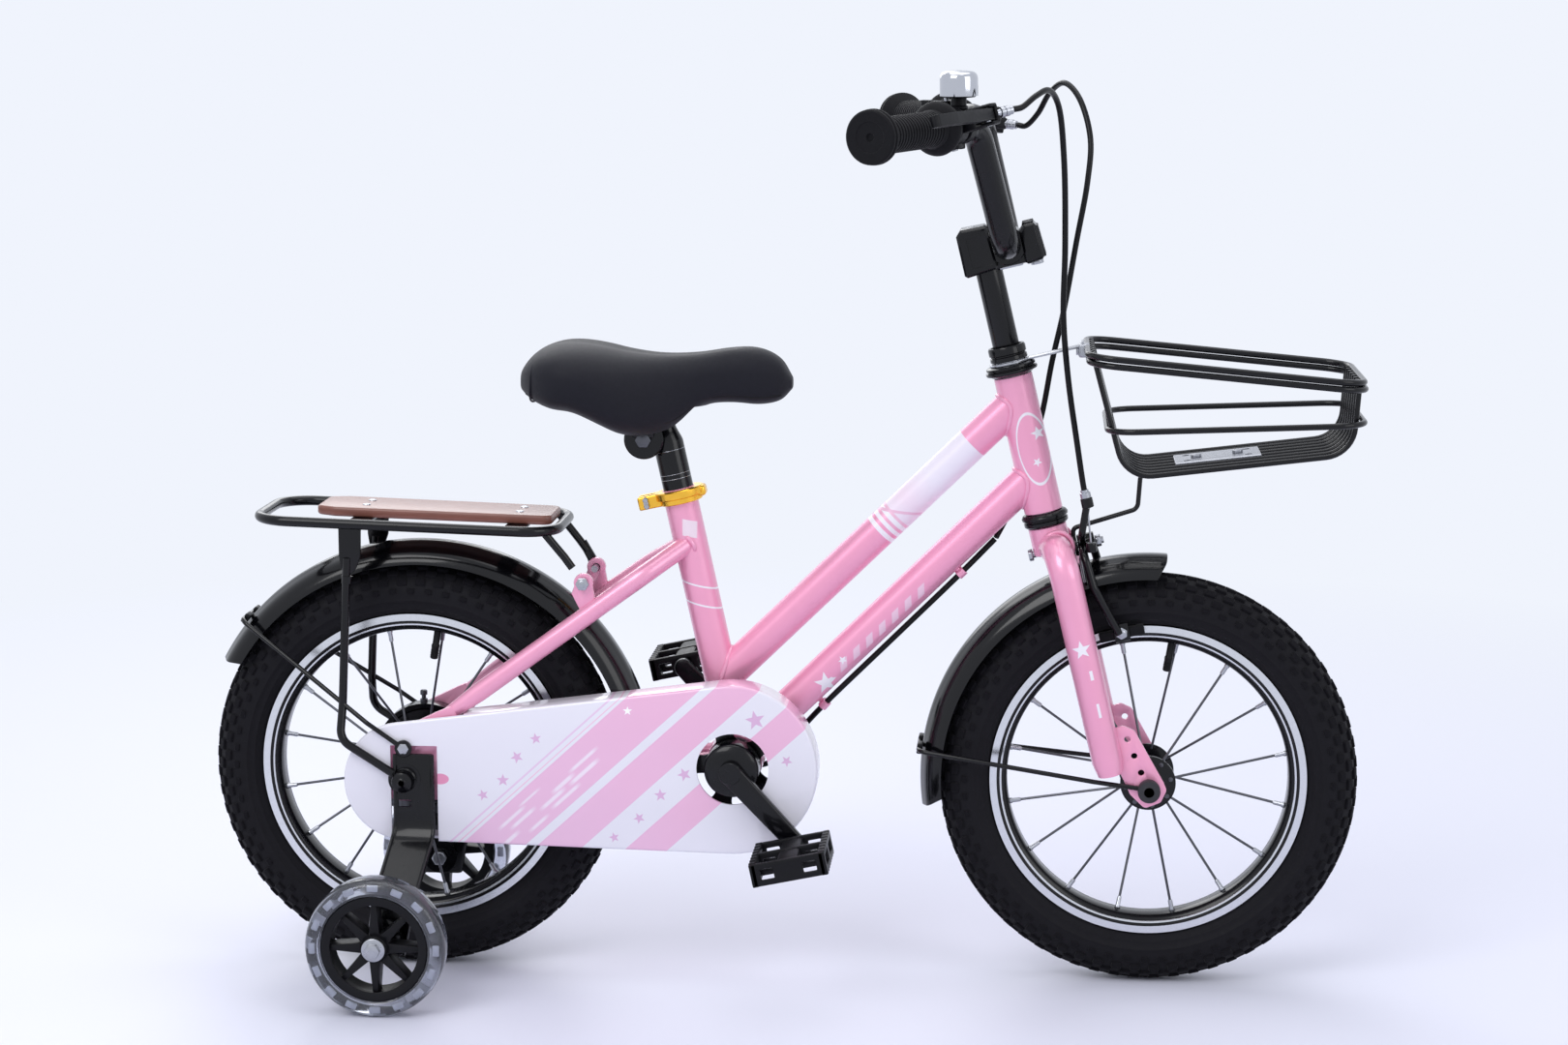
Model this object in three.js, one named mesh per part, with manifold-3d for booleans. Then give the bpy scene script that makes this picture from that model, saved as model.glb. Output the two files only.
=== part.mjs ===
// Child's bicycle with 14 inch wheels, a wire basket, a rear rack and training wheels.
// Millimetres. +X points forward, +Y to the rider's left, +Z up from the ground.
// The origin lies on the ground midway between the two axles.
import * as THREE from 'three';
import { mergeVertices } from 'three/addons/utils/BufferGeometryUtils.js';
import Module from 'manifold-3d';

const wasm = await Module();
wasm.setup();

// Driving dimensions
const wheelbase = 618;
const tyreRadius = 174;
const tyreWidth = 50;
const crankReach = 100;
const crankRise = 13;
const crankAxle = { x: tyreRadius + crankReach, z: tyreRadius + crankRise };
const headTilt = THREE.MathUtils.degToRad(13.4);
const seatTilt = THREE.MathUtils.degToRad(12.4);
const headTubeLength = 116.3;
const seatTubeLength = 229;
const forkRake = 34.9;
const crownRoom = 64.8;
const forkDrop = tyreRadius + crownRoom;
const trackHalf = 152;
const runningGap = 0.3;
const wideGap = 0.5;
const overrun = 4;

// Facet counts
const wheelFacets = 26;
const turnedFacets = 12;
const tubeFacets = 10;
const boreFacets = 8;
const smallFacets = 6;
const stayFacets = 7;
const spokeFacets = 3;
const cableFacets = 5;
const wireFacets = 4;
const trainerFacets = 16;
const saddleFacets = 16;
const holeCurve = 3;
const hexSides = 6;

// Tubes of the frame and the fork
const headTube = { radius: 16, bore: 14.2 };
const mainTube = { radius: 14.3, bore: 12.9 };
const seatTube = { radius: 14.3, bore: 13 };
const shell = { radius: 23, bore: 19, half: 34 };
const stayTube = { radius: 8, bore: 6.8 };
const topTubeDrop = 20.8;
const topTubeFoot = 65;
const downTubeRise = 33;
const steerer = { radius: 12.7, bore: 11.4, proud: 20.7, plug: 6 };
steerer.above = headTubeLength + steerer.proud;
const blade = { radius: 12.7, bore: 11.3, side: 47, offset: 6.9, tipRise: 19.4, crownSide: 2 };
blade.length = forkDrop - blade.tipRise;
const crown = { drop: 30, bend: 28, blindBelow: 62, neckFoot: 34 };

// Rear end
const dropout = { inner: 50, thickness: 5, slot: 10.6, eyeletRise: 27, eyelet: 3.2 };
const stayFoot = { x: 36, side: 49, rise: 54 };
stayFoot.z = tyreRadius + stayFoot.rise;
const stayShoulder = { ahead: 24, side: 36, below: 3 };
stayShoulder.x = tyreRadius + stayShoulder.ahead;
stayShoulder.z = 2 * tyreRadius - stayShoulder.below;
const chainStayFoot = { x: 50, side: 50, rise: 2 };
chainStayFoot.z = tyreRadius + chainStayFoot.rise;

// Steering column
const cup = {
  lowerRadius: 19.5, upperRadius: 21.6, flange: 11.4, insert: 10, upperFlange: 9.4, chamfer: 2, crownStep: 3,
};
const quill = { radius: 11.1, insert: 54.3, wall: 3 };
quill.foot = headTubeLength - quill.insert;
const strapRing = { radius: 17, thickness: 2 };
const locknut = { radius: 15.6, height: 13, chamfer: 2 };
const stemBar = { x: 19, rise: 105.7 };
stemBar.z = headTubeLength + stemBar.rise;
const bar = { radius: 11.1, bore: 9.6, clampHalf: 38 };

// Axles and hubs
const frontAxle = {
  radius: 4.5, plateInner: 41, plateThickness: 3.5, nutRadius: 8.5, cone: 6.5, nut: 9, chamfer: 3,
};
const rearAxle = { radius: 5, nutRadius: 9, cone: 8, nut: 10, chamfer: 2 };
const hub = { spokeRadius: 1.1, flangeRadius: 23, flangeThickness: 3, spokeInset: 4, spokeSpread: 2 };
const tyreDepth = 42;
const rim = { outer: tyreRadius - tyreDepth, bedDepth: 8, depth: 15, half: 15, base: 12, wall: 2.6 };
rim.bed = rim.outer - rim.bedDepth;
rim.inner = rim.outer - rim.depth;
const spokeCount = 16;

// Drive
const chainPitch = 12.7;
const chainringTeeth = 28;
const sprocketTeeth = 14;
const chainLine = 40;
const chainSize = { half: 4, halfWidth: 3.6, grooveHalf: 2.2, grooveDepth: 2.8 };
const toothDisc = { halfThickness: 1.5, tip: 1.4, root: 4.6 };
const crank = {
  length: 80, armInner: 66, armThickness: 9, armRoot: 10.54, armTip: 8.5, spindle: 8.3, spindleInset: 1,
  boss: 19, bossFlange: 21, bossRoom: 4, bossStep: 5, bossLap: 1, axleRoot: 2, axleShort: 12,
};
const crankAngle = THREE.MathUtils.degToRad(-47);
const pedal = {
  length: 62, width: 70, height: 20, inner: 82, axle: 5, barrel: 9, wall: 5, cap: 8,
  tilt: THREE.MathUtils.degToRad(12),
};

// Covers over chain and wheels
const guard = { front: 71.5, rear: 50.5, rearX: -1, rearDrop: 2, outer: 62, depth: 30, wall: 2.2, hole: 30 };
guard.rearZ = tyreRadius - guard.rearDrop;
const fender = { half: 27, crownRise: 12, wall: 1.6, frontRoom: 16, rearRoom: 21.5 };
fender.frontRadius = tyreRadius + fender.frontRoom;
fender.rearRadius = tyreRadius + fender.rearRoom;
const fenderWire = 2;

// Training wheels
const trainer = { radius: 57.5, width: 28, rimRadius: 44, hubX: -7 };
const eyeThickness = 2.4;
const bracket = { thickness: 5, half: 18, centreX: 8, rise: 22, drop: 66 };
bracket.top = tyreRadius + bracket.rise;
bracket.inner = dropout.inner + dropout.thickness + eyeThickness + 2 * runningGap;

const V = (x, y, z) => new THREE.Vector3(x, y, z);
const bike = new THREE.Group();
bike.name = 'bicycle';
bike.position.x = -wheelbase / 2;

// The head tube stands where the fork puts the front axle on the wheelbase
const head = V(
  wheelbase - forkRake * Math.cos(headTilt) - forkDrop * Math.sin(headTilt),
  0,
  tyreRadius - forkRake * Math.sin(headTilt) + forkDrop * Math.cos(headTilt),
);
const steering = new THREE.Group();
steering.name = 'steering';
steering.position.copy(head);
steering.rotation.y = -headTilt;
bike.add(steering);
bike.updateMatrixWorld(true);

// A point given on the steering column's own axes, in the bicycle's axes
function fromColumn(x, y, z) {
  return V(x, y, z).applyAxisAngle(V(0, 1, 0), -headTilt).add(head);
}

const paint = {
  pink: { color: 0xe79abb, roughness: 0.25, metalness: 0.1 },
  white: { color: 0xf4f1f6, roughness: 0.35, metalness: 0 },
  black: { color: 0x111114, roughness: 0.25, metalness: 0.2 },
  rubber: { color: 0x1a1a1b, roughness: 0.85, metalness: 0 },
  plastic: { color: 0x17171a, roughness: 0.5, metalness: 0 },
  steel: { color: 0xc4c7cc, roughness: 0.25, metalness: 0.9 },
  gold: { color: 0xd99a1c, roughness: 0.2, metalness: 0.9 },
  wood: { color: 0x8a5a45, roughness: 0.55, metalness: 0 },
  clear: { color: 0xc9cbd2, roughness: 0.2, metalness: 0 },
};

function add(parent, name, geometry, look) {
  const mesh = new THREE.Mesh(geometry, new THREE.MeshStandardMaterial(paint[look]));
  mesh.name = name;
  parent.add(mesh);
  return mesh;
}

// Solids
function solid(geometry) {
  const bare = geometry.index ? geometry.toNonIndexed() : geometry.clone();
  bare.deleteAttribute('normal');
  bare.deleteAttribute('uv');
  const merged = mergeVertices(bare);
  return new wasm.Manifold(new wasm.Mesh({
    numProp: 3,
    vertProperties: new Float32Array(merged.attributes.position.array),
    triVerts: new Uint32Array(merged.index.array),
  }));
}

function surface(manifold) {
  const mesh = manifold.getMesh();
  const geometry = new THREE.BufferGeometry();
  geometry.setAttribute('position', new THREE.BufferAttribute(new Float32Array(mesh.vertProperties), 3));
  geometry.setIndex(new THREE.BufferAttribute(new Uint32Array(mesh.triVerts), 1));
  geometry.computeVertexNormals();
  return geometry;
}

function join(geometries) {
  return geometries.map(solid).reduce((sum, next) => sum.add(next));
}

function cut(body, geometries) {
  return geometries.map(solid).reduce((rest, next) => rest.subtract(next), body);
}

function mirrored(geometry) {
  const copy = geometry.index ? geometry.toNonIndexed() : geometry.clone();
  copy.deleteAttribute('uv');
  copy.deleteAttribute('normal');
  const p = copy.attributes.position;
  for (let i = 0; i < p.count; i += 3) {
    const [x, y, z] = [p.getX(i), p.getY(i), p.getZ(i)];
    p.setXYZ(i, p.getX(i + 1), -p.getY(i + 1), p.getZ(i + 1));
    p.setXYZ(i + 1, x, -y, z);
    p.setY(i + 2, -p.getY(i + 2));
  }
  return mergeVertices(copy);
}

// side is -1 on the rider's right and +1 on the left; shapes are drawn for the right
function onSide(side, geometry) {
  return side < 0 ? geometry : mirrored(geometry);
}

function rod(a, b, radius, facets = tubeFacets, endRadius = radius) {
  const along = b.clone().sub(a);
  const geometry = new THREE.CylinderGeometry(endRadius, radius, along.length(), facets);
  geometry.rotateY(Math.PI / facets);
  geometry.applyQuaternion(new THREE.Quaternion().setFromUnitVectors(V(0, 1, 0), along.clone().normalize()));
  const middle = a.clone().add(b).multiplyScalar(0.5);
  return geometry.translate(middle.x, middle.y, middle.z);
}

function crossRod(x, z, y0, y1, radius, facets = tubeFacets) {
  return rod(V(x, y0, z), V(x, y1, z), radius, facets);
}

// A faceted bore is cut round its circle, so a round piece inside it keeps the whole gap
function snug(radius, facets) {
  return radius / Math.cos(Math.PI / facets);
}
function bore(a, b, radius, facets = smallFacets) {
  return rod(a, b, snug(radius, facets), facets);
}
function crossBore(x, z, y0, y1, radius, facets = smallFacets) {
  return bore(V(x, y0, z), V(x, y1, z), radius, facets);
}

function box(x0, x1, y0, y1, z0, z1) {
  const geometry = new THREE.BoxGeometry(x1 - x0, y1 - y0, z1 - z0);
  return geometry.translate((x0 + x1) / 2, (y0 + y1) / 2, (z0 + z1) / 2);
}

// Ring about the Y axis from closed pairs of radius and y, with a flat facet at the bottom
function ring(pairs, facets) {
  const loop = pairs.map(([r, y]) => new THREE.Vector2(r, y));
  const area = THREE.ShapeUtils.area(loop);
  if (area < 0) loop.reverse();
  loop.push(loop[0].clone());
  const geometry = new THREE.LatheGeometry(loop, facets, Math.PI / facets, Math.PI * 2);
  return geometry;
}

// Turned piece about the Z axis from closed pairs of radius and z
function turned(pairs, facets = tubeFacets) {
  return ring(pairs.map(([r, z]) => [r, z]), facets).rotateX(Math.PI / 2);
}

function sleeve(outer, inner, z0, z1, facets = tubeFacets) {
  return turned([[inner, z0], [outer, z0], [outer, z1], [inner, z1]], facets);
}

// Route through a list of points, one ring of the section at each
class Route extends THREE.Curve {
  constructor(points) {
    super();
    this.points = points;
  }
  getPoint(t, target = V(0, 0, 0)) {
    const last = this.points.length - 1;
    const at = Math.min(Math.max(t, 0), 1) * last;
    const i = Math.min(Math.floor(at + 1e-9), last - 1);
    return target.copy(this.points[i]).lerp(this.points[i + 1], at - i);
  }
  getPointAt(u, target) {
    return this.getPoint(u, target);
  }
  getTangentAt(u, target = V(0, 0, 0)) {
    const last = this.points.length - 1;
    const i = Math.round(Math.min(Math.max(u, 0), 1) * last);
    const before = this.points[Math.max(i - 1, 0)];
    const here = this.points[i];
    const after = this.points[Math.min(i + 1, last)];
    target.copy(here).sub(before).normalize();
    return target.add(after.clone().sub(here).normalize()).normalize();
  }
}

function roundSection(radius, facets) {
  const corners = [];
  for (let i = 0; i < facets; i += 1) {
    const turn = (i * 2 * Math.PI) / facets;
    corners.push(new THREE.Vector2(radius * Math.cos(turn), radius * Math.sin(turn)));
  }
  return new THREE.Shape(corners);
}

function sweep(points, section) {
  return new THREE.ExtrudeGeometry(section, {
    steps: points.length - 1,
    extrudePath: new Route(points),
    bevelEnabled: false,
  });
}

function tube(points, radius, facets = tubeFacets) {
  return sweep(points, roundSection(radius, facets));
}

// Straight runs joined by rounded corners
function bent(corners, radius, stepsPerBend = 3) {
  const points = [corners[0].clone()];
  for (let i = 1; i < corners.length - 1; i += 1) {
    const back = corners[i - 1].clone().sub(corners[i]);
    const on = corners[i + 1].clone().sub(corners[i]);
    const turn = Math.PI - back.angleTo(on);
    const reach = Math.min(radius * Math.tan(turn / 2), back.length() * 0.48, on.length() * 0.48);
    const from = corners[i].clone().addScaledVector(back.normalize(), reach);
    const to = corners[i].clone().addScaledVector(on.normalize(), reach);
    const bend = new THREE.QuadraticBezierCurve3(from, corners[i].clone(), to);
    for (let k = 0; k <= stepsPerBend; k += 1) points.push(bend.getPoint(k / stepsPerBend));
  }
  points.push(corners[corners.length - 1].clone());
  return points;
}

// A closed loop as two halves that overlap inside each other's ends
function loopWire(corners, cornerRadius, radius, stepsPerBend = 2) {
  const half = corners.length / 2;
  const count = corners.length;
  const mid = (a, b) => a.clone().add(b).multiplyScalar(0.5);
  const start = mid(corners[count - 1], corners[0]);
  const middle = mid(corners[half - 1], corners[half]);
  const lap = (from, to) => to.clone().addScaledVector(to.clone().sub(from).normalize(), radius);
  const first = [start, ...corners.slice(0, half), lap(corners[half - 1], middle)];
  const second = [middle, ...corners.slice(half), lap(corners[count - 1], start)];
  return join([first, second].map((route) => tube(bent(route, cornerRadius, stepsPerBend), radius,
    wireFacets)));
}

// Flat plate in the X-Z plane from y0 to y1
function plate(outline, y0, y1, holes = []) {
  const points = outline.map(([x, z]) => new THREE.Vector2(x, z));
  if (THREE.ShapeUtils.area(points) < 0) points.reverse();
  const shape = new THREE.Shape(points);
  for (const hole of holes) {
    const path = new THREE.Path();
    path.absarc(hole.x, hole.z, snug(hole.radius, 2 * holeCurve), 0, Math.PI * 2, true);
    shape.holes.push(path);
  }
  const geometry = new THREE.ExtrudeGeometry(shape,
    { depth: y1 - y0, bevelEnabled: false, curveSegments: holeCurve });
  return geometry.rotateX(Math.PI / 2).translate(0, y1, 0);
}

function arcPoints(x, z, radius, from, to, steps) {
  const points = [];
  for (let i = 0; i <= steps; i += 1) {
    const turn = from + ((to - from) * i) / steps;
    points.push([x + radius * Math.cos(turn), z + radius * Math.sin(turn)]);
  }
  return points;
}

// Outline round two circles and their outer tangents, anticlockwise
function beltOutline(rearX, rearZ, rearRadius, frontX, frontZ, frontRadius, steps = 8) {
  const along = Math.atan2(frontZ - rearZ, frontX - rearX);
  const span = Math.hypot(frontX - rearX, frontZ - rearZ);
  const open = Math.acos((rearRadius - frontRadius) / span);
  const frontArc = arcPoints(frontX, frontZ, frontRadius, along - open, along + open, steps + 2);
  const rearArc = arcPoints(rearX, rearZ, rearRadius, along + open, along + 2 * Math.PI - open, steps);
  return [...frontArc, ...rearArc];
}

function toothedOutline(teeth, tip, root) {
  const points = [];
  for (let i = 0; i < teeth * 2; i += 1) {
    const radius = i % 2 ? tip : root;
    const turn = (i * Math.PI) / teeth;
    points.push([radius * Math.cos(turn), radius * Math.sin(turn)]);
  }
  return points;
}

// Frame: welded tubes, hollow, with the head tube, crank shell and dropouts
const headTop = fromColumn(0, 0, headTubeLength);
const crankPoint = V(crankAxle.x, 0, crankAxle.z);
const seatUp = V(-Math.sin(seatTilt), 0, Math.cos(seatTilt));
const seatTop = crankPoint.clone().addScaledVector(seatUp, seatTubeLength);
const topTubeEnds = [crankPoint.clone().addScaledVector(seatUp, topTubeFoot),
  fromColumn(0, 0, headTubeLength - topTubeDrop)];
const downTubeEnds = [crankPoint.clone(), fromColumn(0, 0, downTubeRise)];
const seatStayRise = 186;
const wishboneHalf = 6;
const rearFenderCentre = { x: 7.4, drop: 1.7 };
rearFenderCentre.z = tyreRadius - rearFenderCentre.drop;
const bridge = { turn: THREE.MathUtils.degToRad(43.66), room: 12.65, radius: 5 };
bridge.x = rearFenderCentre.x + (fender.rearRadius + bridge.room) * Math.cos(bridge.turn);
bridge.z = rearFenderCentre.z + (fender.rearRadius + bridge.room) * Math.sin(bridge.turn);
const rackLug = {
  back: 9, rise: 23, side: 38, radius: 8, halfWidth: 3, hole: 3, foot: 26, footBack: 4, footLean: 3,
  footFront: 6,
};
rackLug.x = bridge.x - rackLug.back;
rackLug.z = bridge.z + rackLug.rise;

function seatStayRoute(side) {
  const joint = crankPoint.clone().addScaledVector(seatUp, seatStayRise);
  return bent([
    V(joint.x, side * wishboneHalf, joint.z),
    V(stayShoulder.x, side * stayShoulder.side, stayShoulder.z),
    V(stayFoot.x, side * stayFoot.side, stayFoot.z),
  ], stayShoulder.side, 2);
}

const chainStayBend = {
  root: { back: 16, side: 14, sag: 3 }, near: { back: 60, side: 27, sag: 5 },
  far: { back: 109, side: 38, sag: 7 },
};

function chainStayRoute(side) {
  return bent([
    ...Object.values(chainStayBend).map((at) => V(crankAxle.x - at.back, side * at.side,
    crankAxle.z - at.sag)),
    V(chainStayFoot.x, side * chainStayFoot.side, chainStayFoot.z),
  ], stayShoulder.side, 2);
}

const dropoutShape = {
  rear: -17, front: 20, bottom: -20, top: 38, noseX: 58, noseHalf: 11, hornX: 46, hornTop: 62, corner: 6,
  hornDepth: 14,
};

function dropoutPlate(side) {
  const d = dropoutShape;
  const z = tyreRadius;
  const outline = [
    [d.rear, z - dropout.slot], [d.rear + d.corner, z + d.bottom], [d.front, z + d.bottom],
    [d.noseX, z - d.noseHalf], [d.noseX, z + d.noseHalf], [d.front + d.corner, z + d.noseHalf + d.corner],
    [d.hornX, z + d.hornTop - d.hornDepth], [d.hornX - d.corner, z + d.hornTop],
    [d.rear + d.corner, z + d.top],
    [d.rear, z + d.top - d.corner],
  ];
  const inner = side * dropout.inner;
  const outer = side * (dropout.inner + dropout.thickness);
  return plate(outline, Math.min(inner, outer), Math.max(inner, outer), [
    { x: 0, z: z + dropout.eyeletRise, radius: dropout.eyelet },
  ]);
}

function dropoutSlot(side) {
  const inner = side * (dropout.inner - overrun);
  const outer = side * (dropout.inner + dropout.thickness + overrun);
  const half = dropout.slot / 2;
  const y0 = Math.min(inner, outer);
  const y1 = Math.max(inner, outer);
  return [
    crossBore(0, tyreRadius, y0, y1, half),
    box(dropoutShape.rear - overrun, 0, y0, y1, tyreRadius - half, tyreRadius + half),
  ];
}

function lugTab(side) {
  const y0 = side * rackLug.side - rackLug.halfWidth;
  const y1 = side * rackLug.side + rackLug.halfWidth;
  const l = rackLug;
  const outline = [
    ...arcPoints(l.x, l.z, l.radius, 0, Math.PI, smallFacets),
    [l.x - l.radius, l.z - l.foot - l.footBack], [l.x + l.radius + l.footLean, l.z - l.foot + l.footFront],
  ];
  return plate(outline, y0, y1, [{ x: l.x, z: l.z, radius: l.hole }]);
}

function makeFrame() {
  const sides = [-1, 1];
  const outer = [
    rod(fromColumn(0, 0, 0), headTop, headTube.radius, turnedFacets),
    rod(...topTubeEnds, mainTube.radius),
    rod(...downTubeEnds, mainTube.radius),
    rod(crankPoint, seatTop, seatTube.radius),
    crossRod(crankAxle.x, crankAxle.z, -shell.half, shell.half, shell.radius, turnedFacets),
    ...sides.map((side) => tube(seatStayRoute(side), stayTube.radius, stayFacets)),
    ...sides.map((side) => tube(chainStayRoute(side), stayTube.radius, stayFacets)),
    crossRod(bridge.x, bridge.z, -stayShoulder.side, stayShoulder.side, bridge.radius, smallFacets),
    ...sides.map(dropoutPlate),
    ...sides.map(lugTab),
  ];
  const seatFoot = crankPoint.clone().addScaledVector(seatUp, shell.radius / 2);
  const seatMouth = seatTop.clone().addScaledVector(seatUp, overrun);
  const headMouth = fromColumn(0, 0, headTubeLength + overrun);
  const cuts = [
    bore(fromColumn(0, 0, -overrun), headMouth, headTube.bore, turnedFacets),
    rod(...topTubeEnds, mainTube.bore, boreFacets),
    rod(...downTubeEnds, mainTube.bore, boreFacets),
    bore(seatFoot, seatMouth, seatTube.bore, tubeFacets),
    crossBore(crankAxle.x, crankAxle.z, -shell.half - overrun, shell.half + overrun, shell.bore,
      turnedFacets),
    ...sides.flatMap(dropoutSlot),
  ];
  return surface(cut(join(outer), cuts));
}
add(bike, 'frame', makeFrame(), 'pink');

// Headset, bottom bracket and seat clamp
const steererFit = snug(steerer.radius + runningGap, turnedFacets);
const lowerCup = turned([
  [steererFit, -cup.flange - runningGap], [cup.lowerRadius - cup.chamfer, -cup.flange - runningGap],
  [cup.lowerRadius, -cup.flange + cup.chamfer], [cup.lowerRadius, -runningGap],
  [headTube.bore - runningGap, -runningGap], [headTube.bore - runningGap, cup.insert],
  [steererFit, cup.insert],
], turnedFacets);
add(steering, 'headset_lower_cup', lowerCup, 'black');

const upperCupTop = headTubeLength + runningGap + cup.upperFlange;
const upperCup = turned([
  [steererFit, headTubeLength - cup.insert],
  [headTube.bore - runningGap, headTubeLength - cup.insert],
  [headTube.bore - runningGap, headTubeLength + runningGap], [cup.upperRadius, headTubeLength + runningGap],
  [cup.upperRadius, headTubeLength + cup.upperFlange / 2], [cup.lowerRadius - cup.crownStep, upperCupTop],
  [steererFit, upperCupTop],
], turnedFacets);
add(steering, 'headset_upper_cup', upperCup, 'black');

const quillFit = snug(quill.radius + runningGap, turnedFacets);
const nutBase = upperCupTop + strapRing.thickness + 2 * runningGap;
const nutTop = nutBase + locknut.height;
const nutLip = steerer.above + runningGap;
const locknutShape = turned([
  [steererFit, nutBase], [locknut.radius, nutBase], [locknut.radius, nutTop - locknut.chamfer],
  [locknut.radius - locknut.chamfer, nutTop], [quillFit, nutTop], [quillFit, nutLip],
  [steererFit, nutLip],
], turnedFacets);
add(steering, 'headset_locknut', locknutShape, 'black');

const bracketBearing = { lip: 3, lipRadius: 22 };
const bearingEnd = shell.half + runningGap;
const spindleFit = snug(crank.spindle + runningGap, tubeFacets);
const bearingSleeve = ring([
  [spindleFit, -bearingEnd - bracketBearing.lip],
  [bracketBearing.lipRadius, -bearingEnd - bracketBearing.lip], [bracketBearing.lipRadius, -bearingEnd],
  [shell.bore - runningGap, -bearingEnd], [shell.bore - runningGap, bearingEnd],
  [bracketBearing.lipRadius, bearingEnd], [bracketBearing.lipRadius, bearingEnd + bracketBearing.lip],
  [spindleFit, bearingEnd + bracketBearing.lip],
], tubeFacets);
add(bike, 'bottom_bracket', bearingSleeve.translate(crankAxle.x, 0, crankAxle.z), 'steel');

const collar = {
  radius: 21, height: 12, below: 9, lugReach: 35, lugHalf: 9, slit: 3, boltRadius: 3, boltProud: 4, step: 1,
  lap: 2,
};
function makeCollar() {
  const ringPart = sleeve(collar.radius, seatTube.radius, -collar.below, collar.height - collar.below,
    turnedFacets);
  const lug = box(-collar.lugReach, -seatTube.radius - collar.lap, -collar.lugHalf, collar.lugHalf,
    -collar.below + collar.step, collar.height - collar.below - collar.step);
  const slit = box(-collar.lugReach - overrun, -seatTube.radius + collar.step, -collar.slit / 2,
    collar.slit / 2,
    -collar.below - overrun, collar.height + overrun);
  const boltX = -(collar.lugReach + collar.radius) / 2;
  const boltZ = collar.height / 2 - collar.below;
  const boltHalf = collar.lugHalf + collar.boltProud;
  const bolt = crossRod(boltX, boltZ, -boltHalf, boltHalf, collar.boltRadius, boreFacets);
  const mouth = bore(V(0, 0, -collar.below - overrun), V(0, 0, collar.height), seatTube.radius + runningGap,
    turnedFacets);
  return surface(cut(join([ringPart, lug]), [slit, mouth]).add(solid(bolt)));
}
const collarMesh = add(bike, 'seat_clamp', makeCollar(), 'gold');
collarMesh.position.copy(seatTop);
collarMesh.rotation.y = -seatTilt;

// Seat post and saddle
const post = {
  radius: 12.7, inside: 95, above: 43, neckRadius: 9.3, neckTop: 70, taper: 10, wall: 1.5, lap: 1,
};
const postHead = { up: 50.22, back: 17.45 };
const tiltPoint = seatTop.clone().addScaledVector(seatUp, postHead.up)
  .addScaledVector(V(-Math.cos(seatTilt), 0, -Math.sin(seatTilt)), postHead.back);
const postEar = { radius: 15, half: 7 };
const saddleClamp = {
  radius: 16.5, inner: 7.3, outer: 16, railSide: 15, railRadius: 3.4, railRise: 25, railBack: 31,
  railAhead: 53,
  cheek: 3.5, endRoom: 6,
};
saddleClamp.railZ = tiltPoint.z + saddleClamp.railRise;
saddleClamp.railRear = tiltPoint.x - saddleClamp.railBack;
saddleClamp.railFront = tiltPoint.x + saddleClamp.railAhead;
const clampBolt = 3;
function makePost() {
  const at = (s) => seatTop.clone().addScaledVector(seatUp, s);
  const body = join([
    rod(at(-post.inside), at(post.above), post.radius),
    rod(at(post.above), at(post.above + post.taper), post.radius, tubeFacets, post.neckRadius),
    rod(at(post.above + post.taper - post.lap), at(post.neckTop), post.neckRadius),
    crossRod(tiltPoint.x, tiltPoint.z, -postEar.half, postEar.half, postEar.radius),
  ]);
  const bores = [
    rod(at(-post.inside - overrun), at(post.above - overrun), post.radius - post.wall, boreFacets),
    crossBore(tiltPoint.x, tiltPoint.z, -postEar.half - overrun, postEar.half + overrun,
      clampBolt + runningGap),
    crossRod(tiltPoint.x, tiltPoint.z, -post.radius - overrun, -postEar.half, saddleClamp.radius + wideGap),
    crossRod(tiltPoint.x, tiltPoint.z, postEar.half, post.radius + overrun, saddleClamp.radius + wideGap),
  ];
  return surface(cut(body, bores));
}
add(bike, 'seat_post', makePost(), 'black');

function makeSaddleClamp() {
  const c = saddleClamp;
  const parts = [crossRod(tiltPoint.x, tiltPoint.z, -c.outer, c.outer, clampBolt, smallFacets)];
  for (const side of [-1, 1]) {
    const y0 = Math.min(side * c.inner, side * c.outer);
    const y1 = Math.max(side * c.inner, side * c.outer);
    parts.push(crossRod(tiltPoint.x, tiltPoint.z, y0, y1, c.radius));
    const railY = side * c.railSide;
    parts.push(box(tiltPoint.x - c.radius / 2, tiltPoint.x + c.radius / 2, railY - c.cheek, railY + c.cheek,
      tiltPoint.z, c.railZ));
    parts.push(rod(V(c.railRear, railY, c.railZ), V(c.railFront, railY, c.railZ), c.railRadius, boreFacets));
  }
  return surface(join(parts));
}
add(bike, 'saddle_clamp', makeSaddleClamp(), 'black');

// Saddle cushion: rows of half width, top, side height and underside along its length
const saddle = { back: 104, length: 227, halfWidth: 72, rise: 81, height: 77 };
saddle.rear = tiltPoint.x - saddle.back;
saddle.front = saddle.rear + saddle.length;
saddle.crownZ = tiltPoint.z + saddle.rise;
const saddleShares = [
  { at: 0, half: 0.3, top: 0.62, low: 0.4 },
  { at: 0.04, half: 0.66, top: 0.82, low: 0.31 },
  { at: 0.12, half: 0.92, top: 0.985, low: 0.33 },
  { at: 0.22, half: 1, top: 1, low: 0.2 },
  { at: 0.34, half: 0.93, top: 0.95, low: 0.03 },
  { at: 0.46, half: 0.72, top: 0.885, low: 0 },
  { at: 0.57, half: 0.52, top: 0.865, low: 0.05 },
  { at: 0.66, half: 0.41, top: 0.89, low: 0.33 },
  { at: 0.78, half: 0.37, top: 0.95, low: 0.36 },
  { at: 0.88, half: 0.35, top: 0.95, low: 0.37 },
  { at: 0.96, half: 0.27, top: 0.83, low: 0.42 },
  { at: 1, half: 0.12, top: 0.66, low: 0.5 },
];
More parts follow.
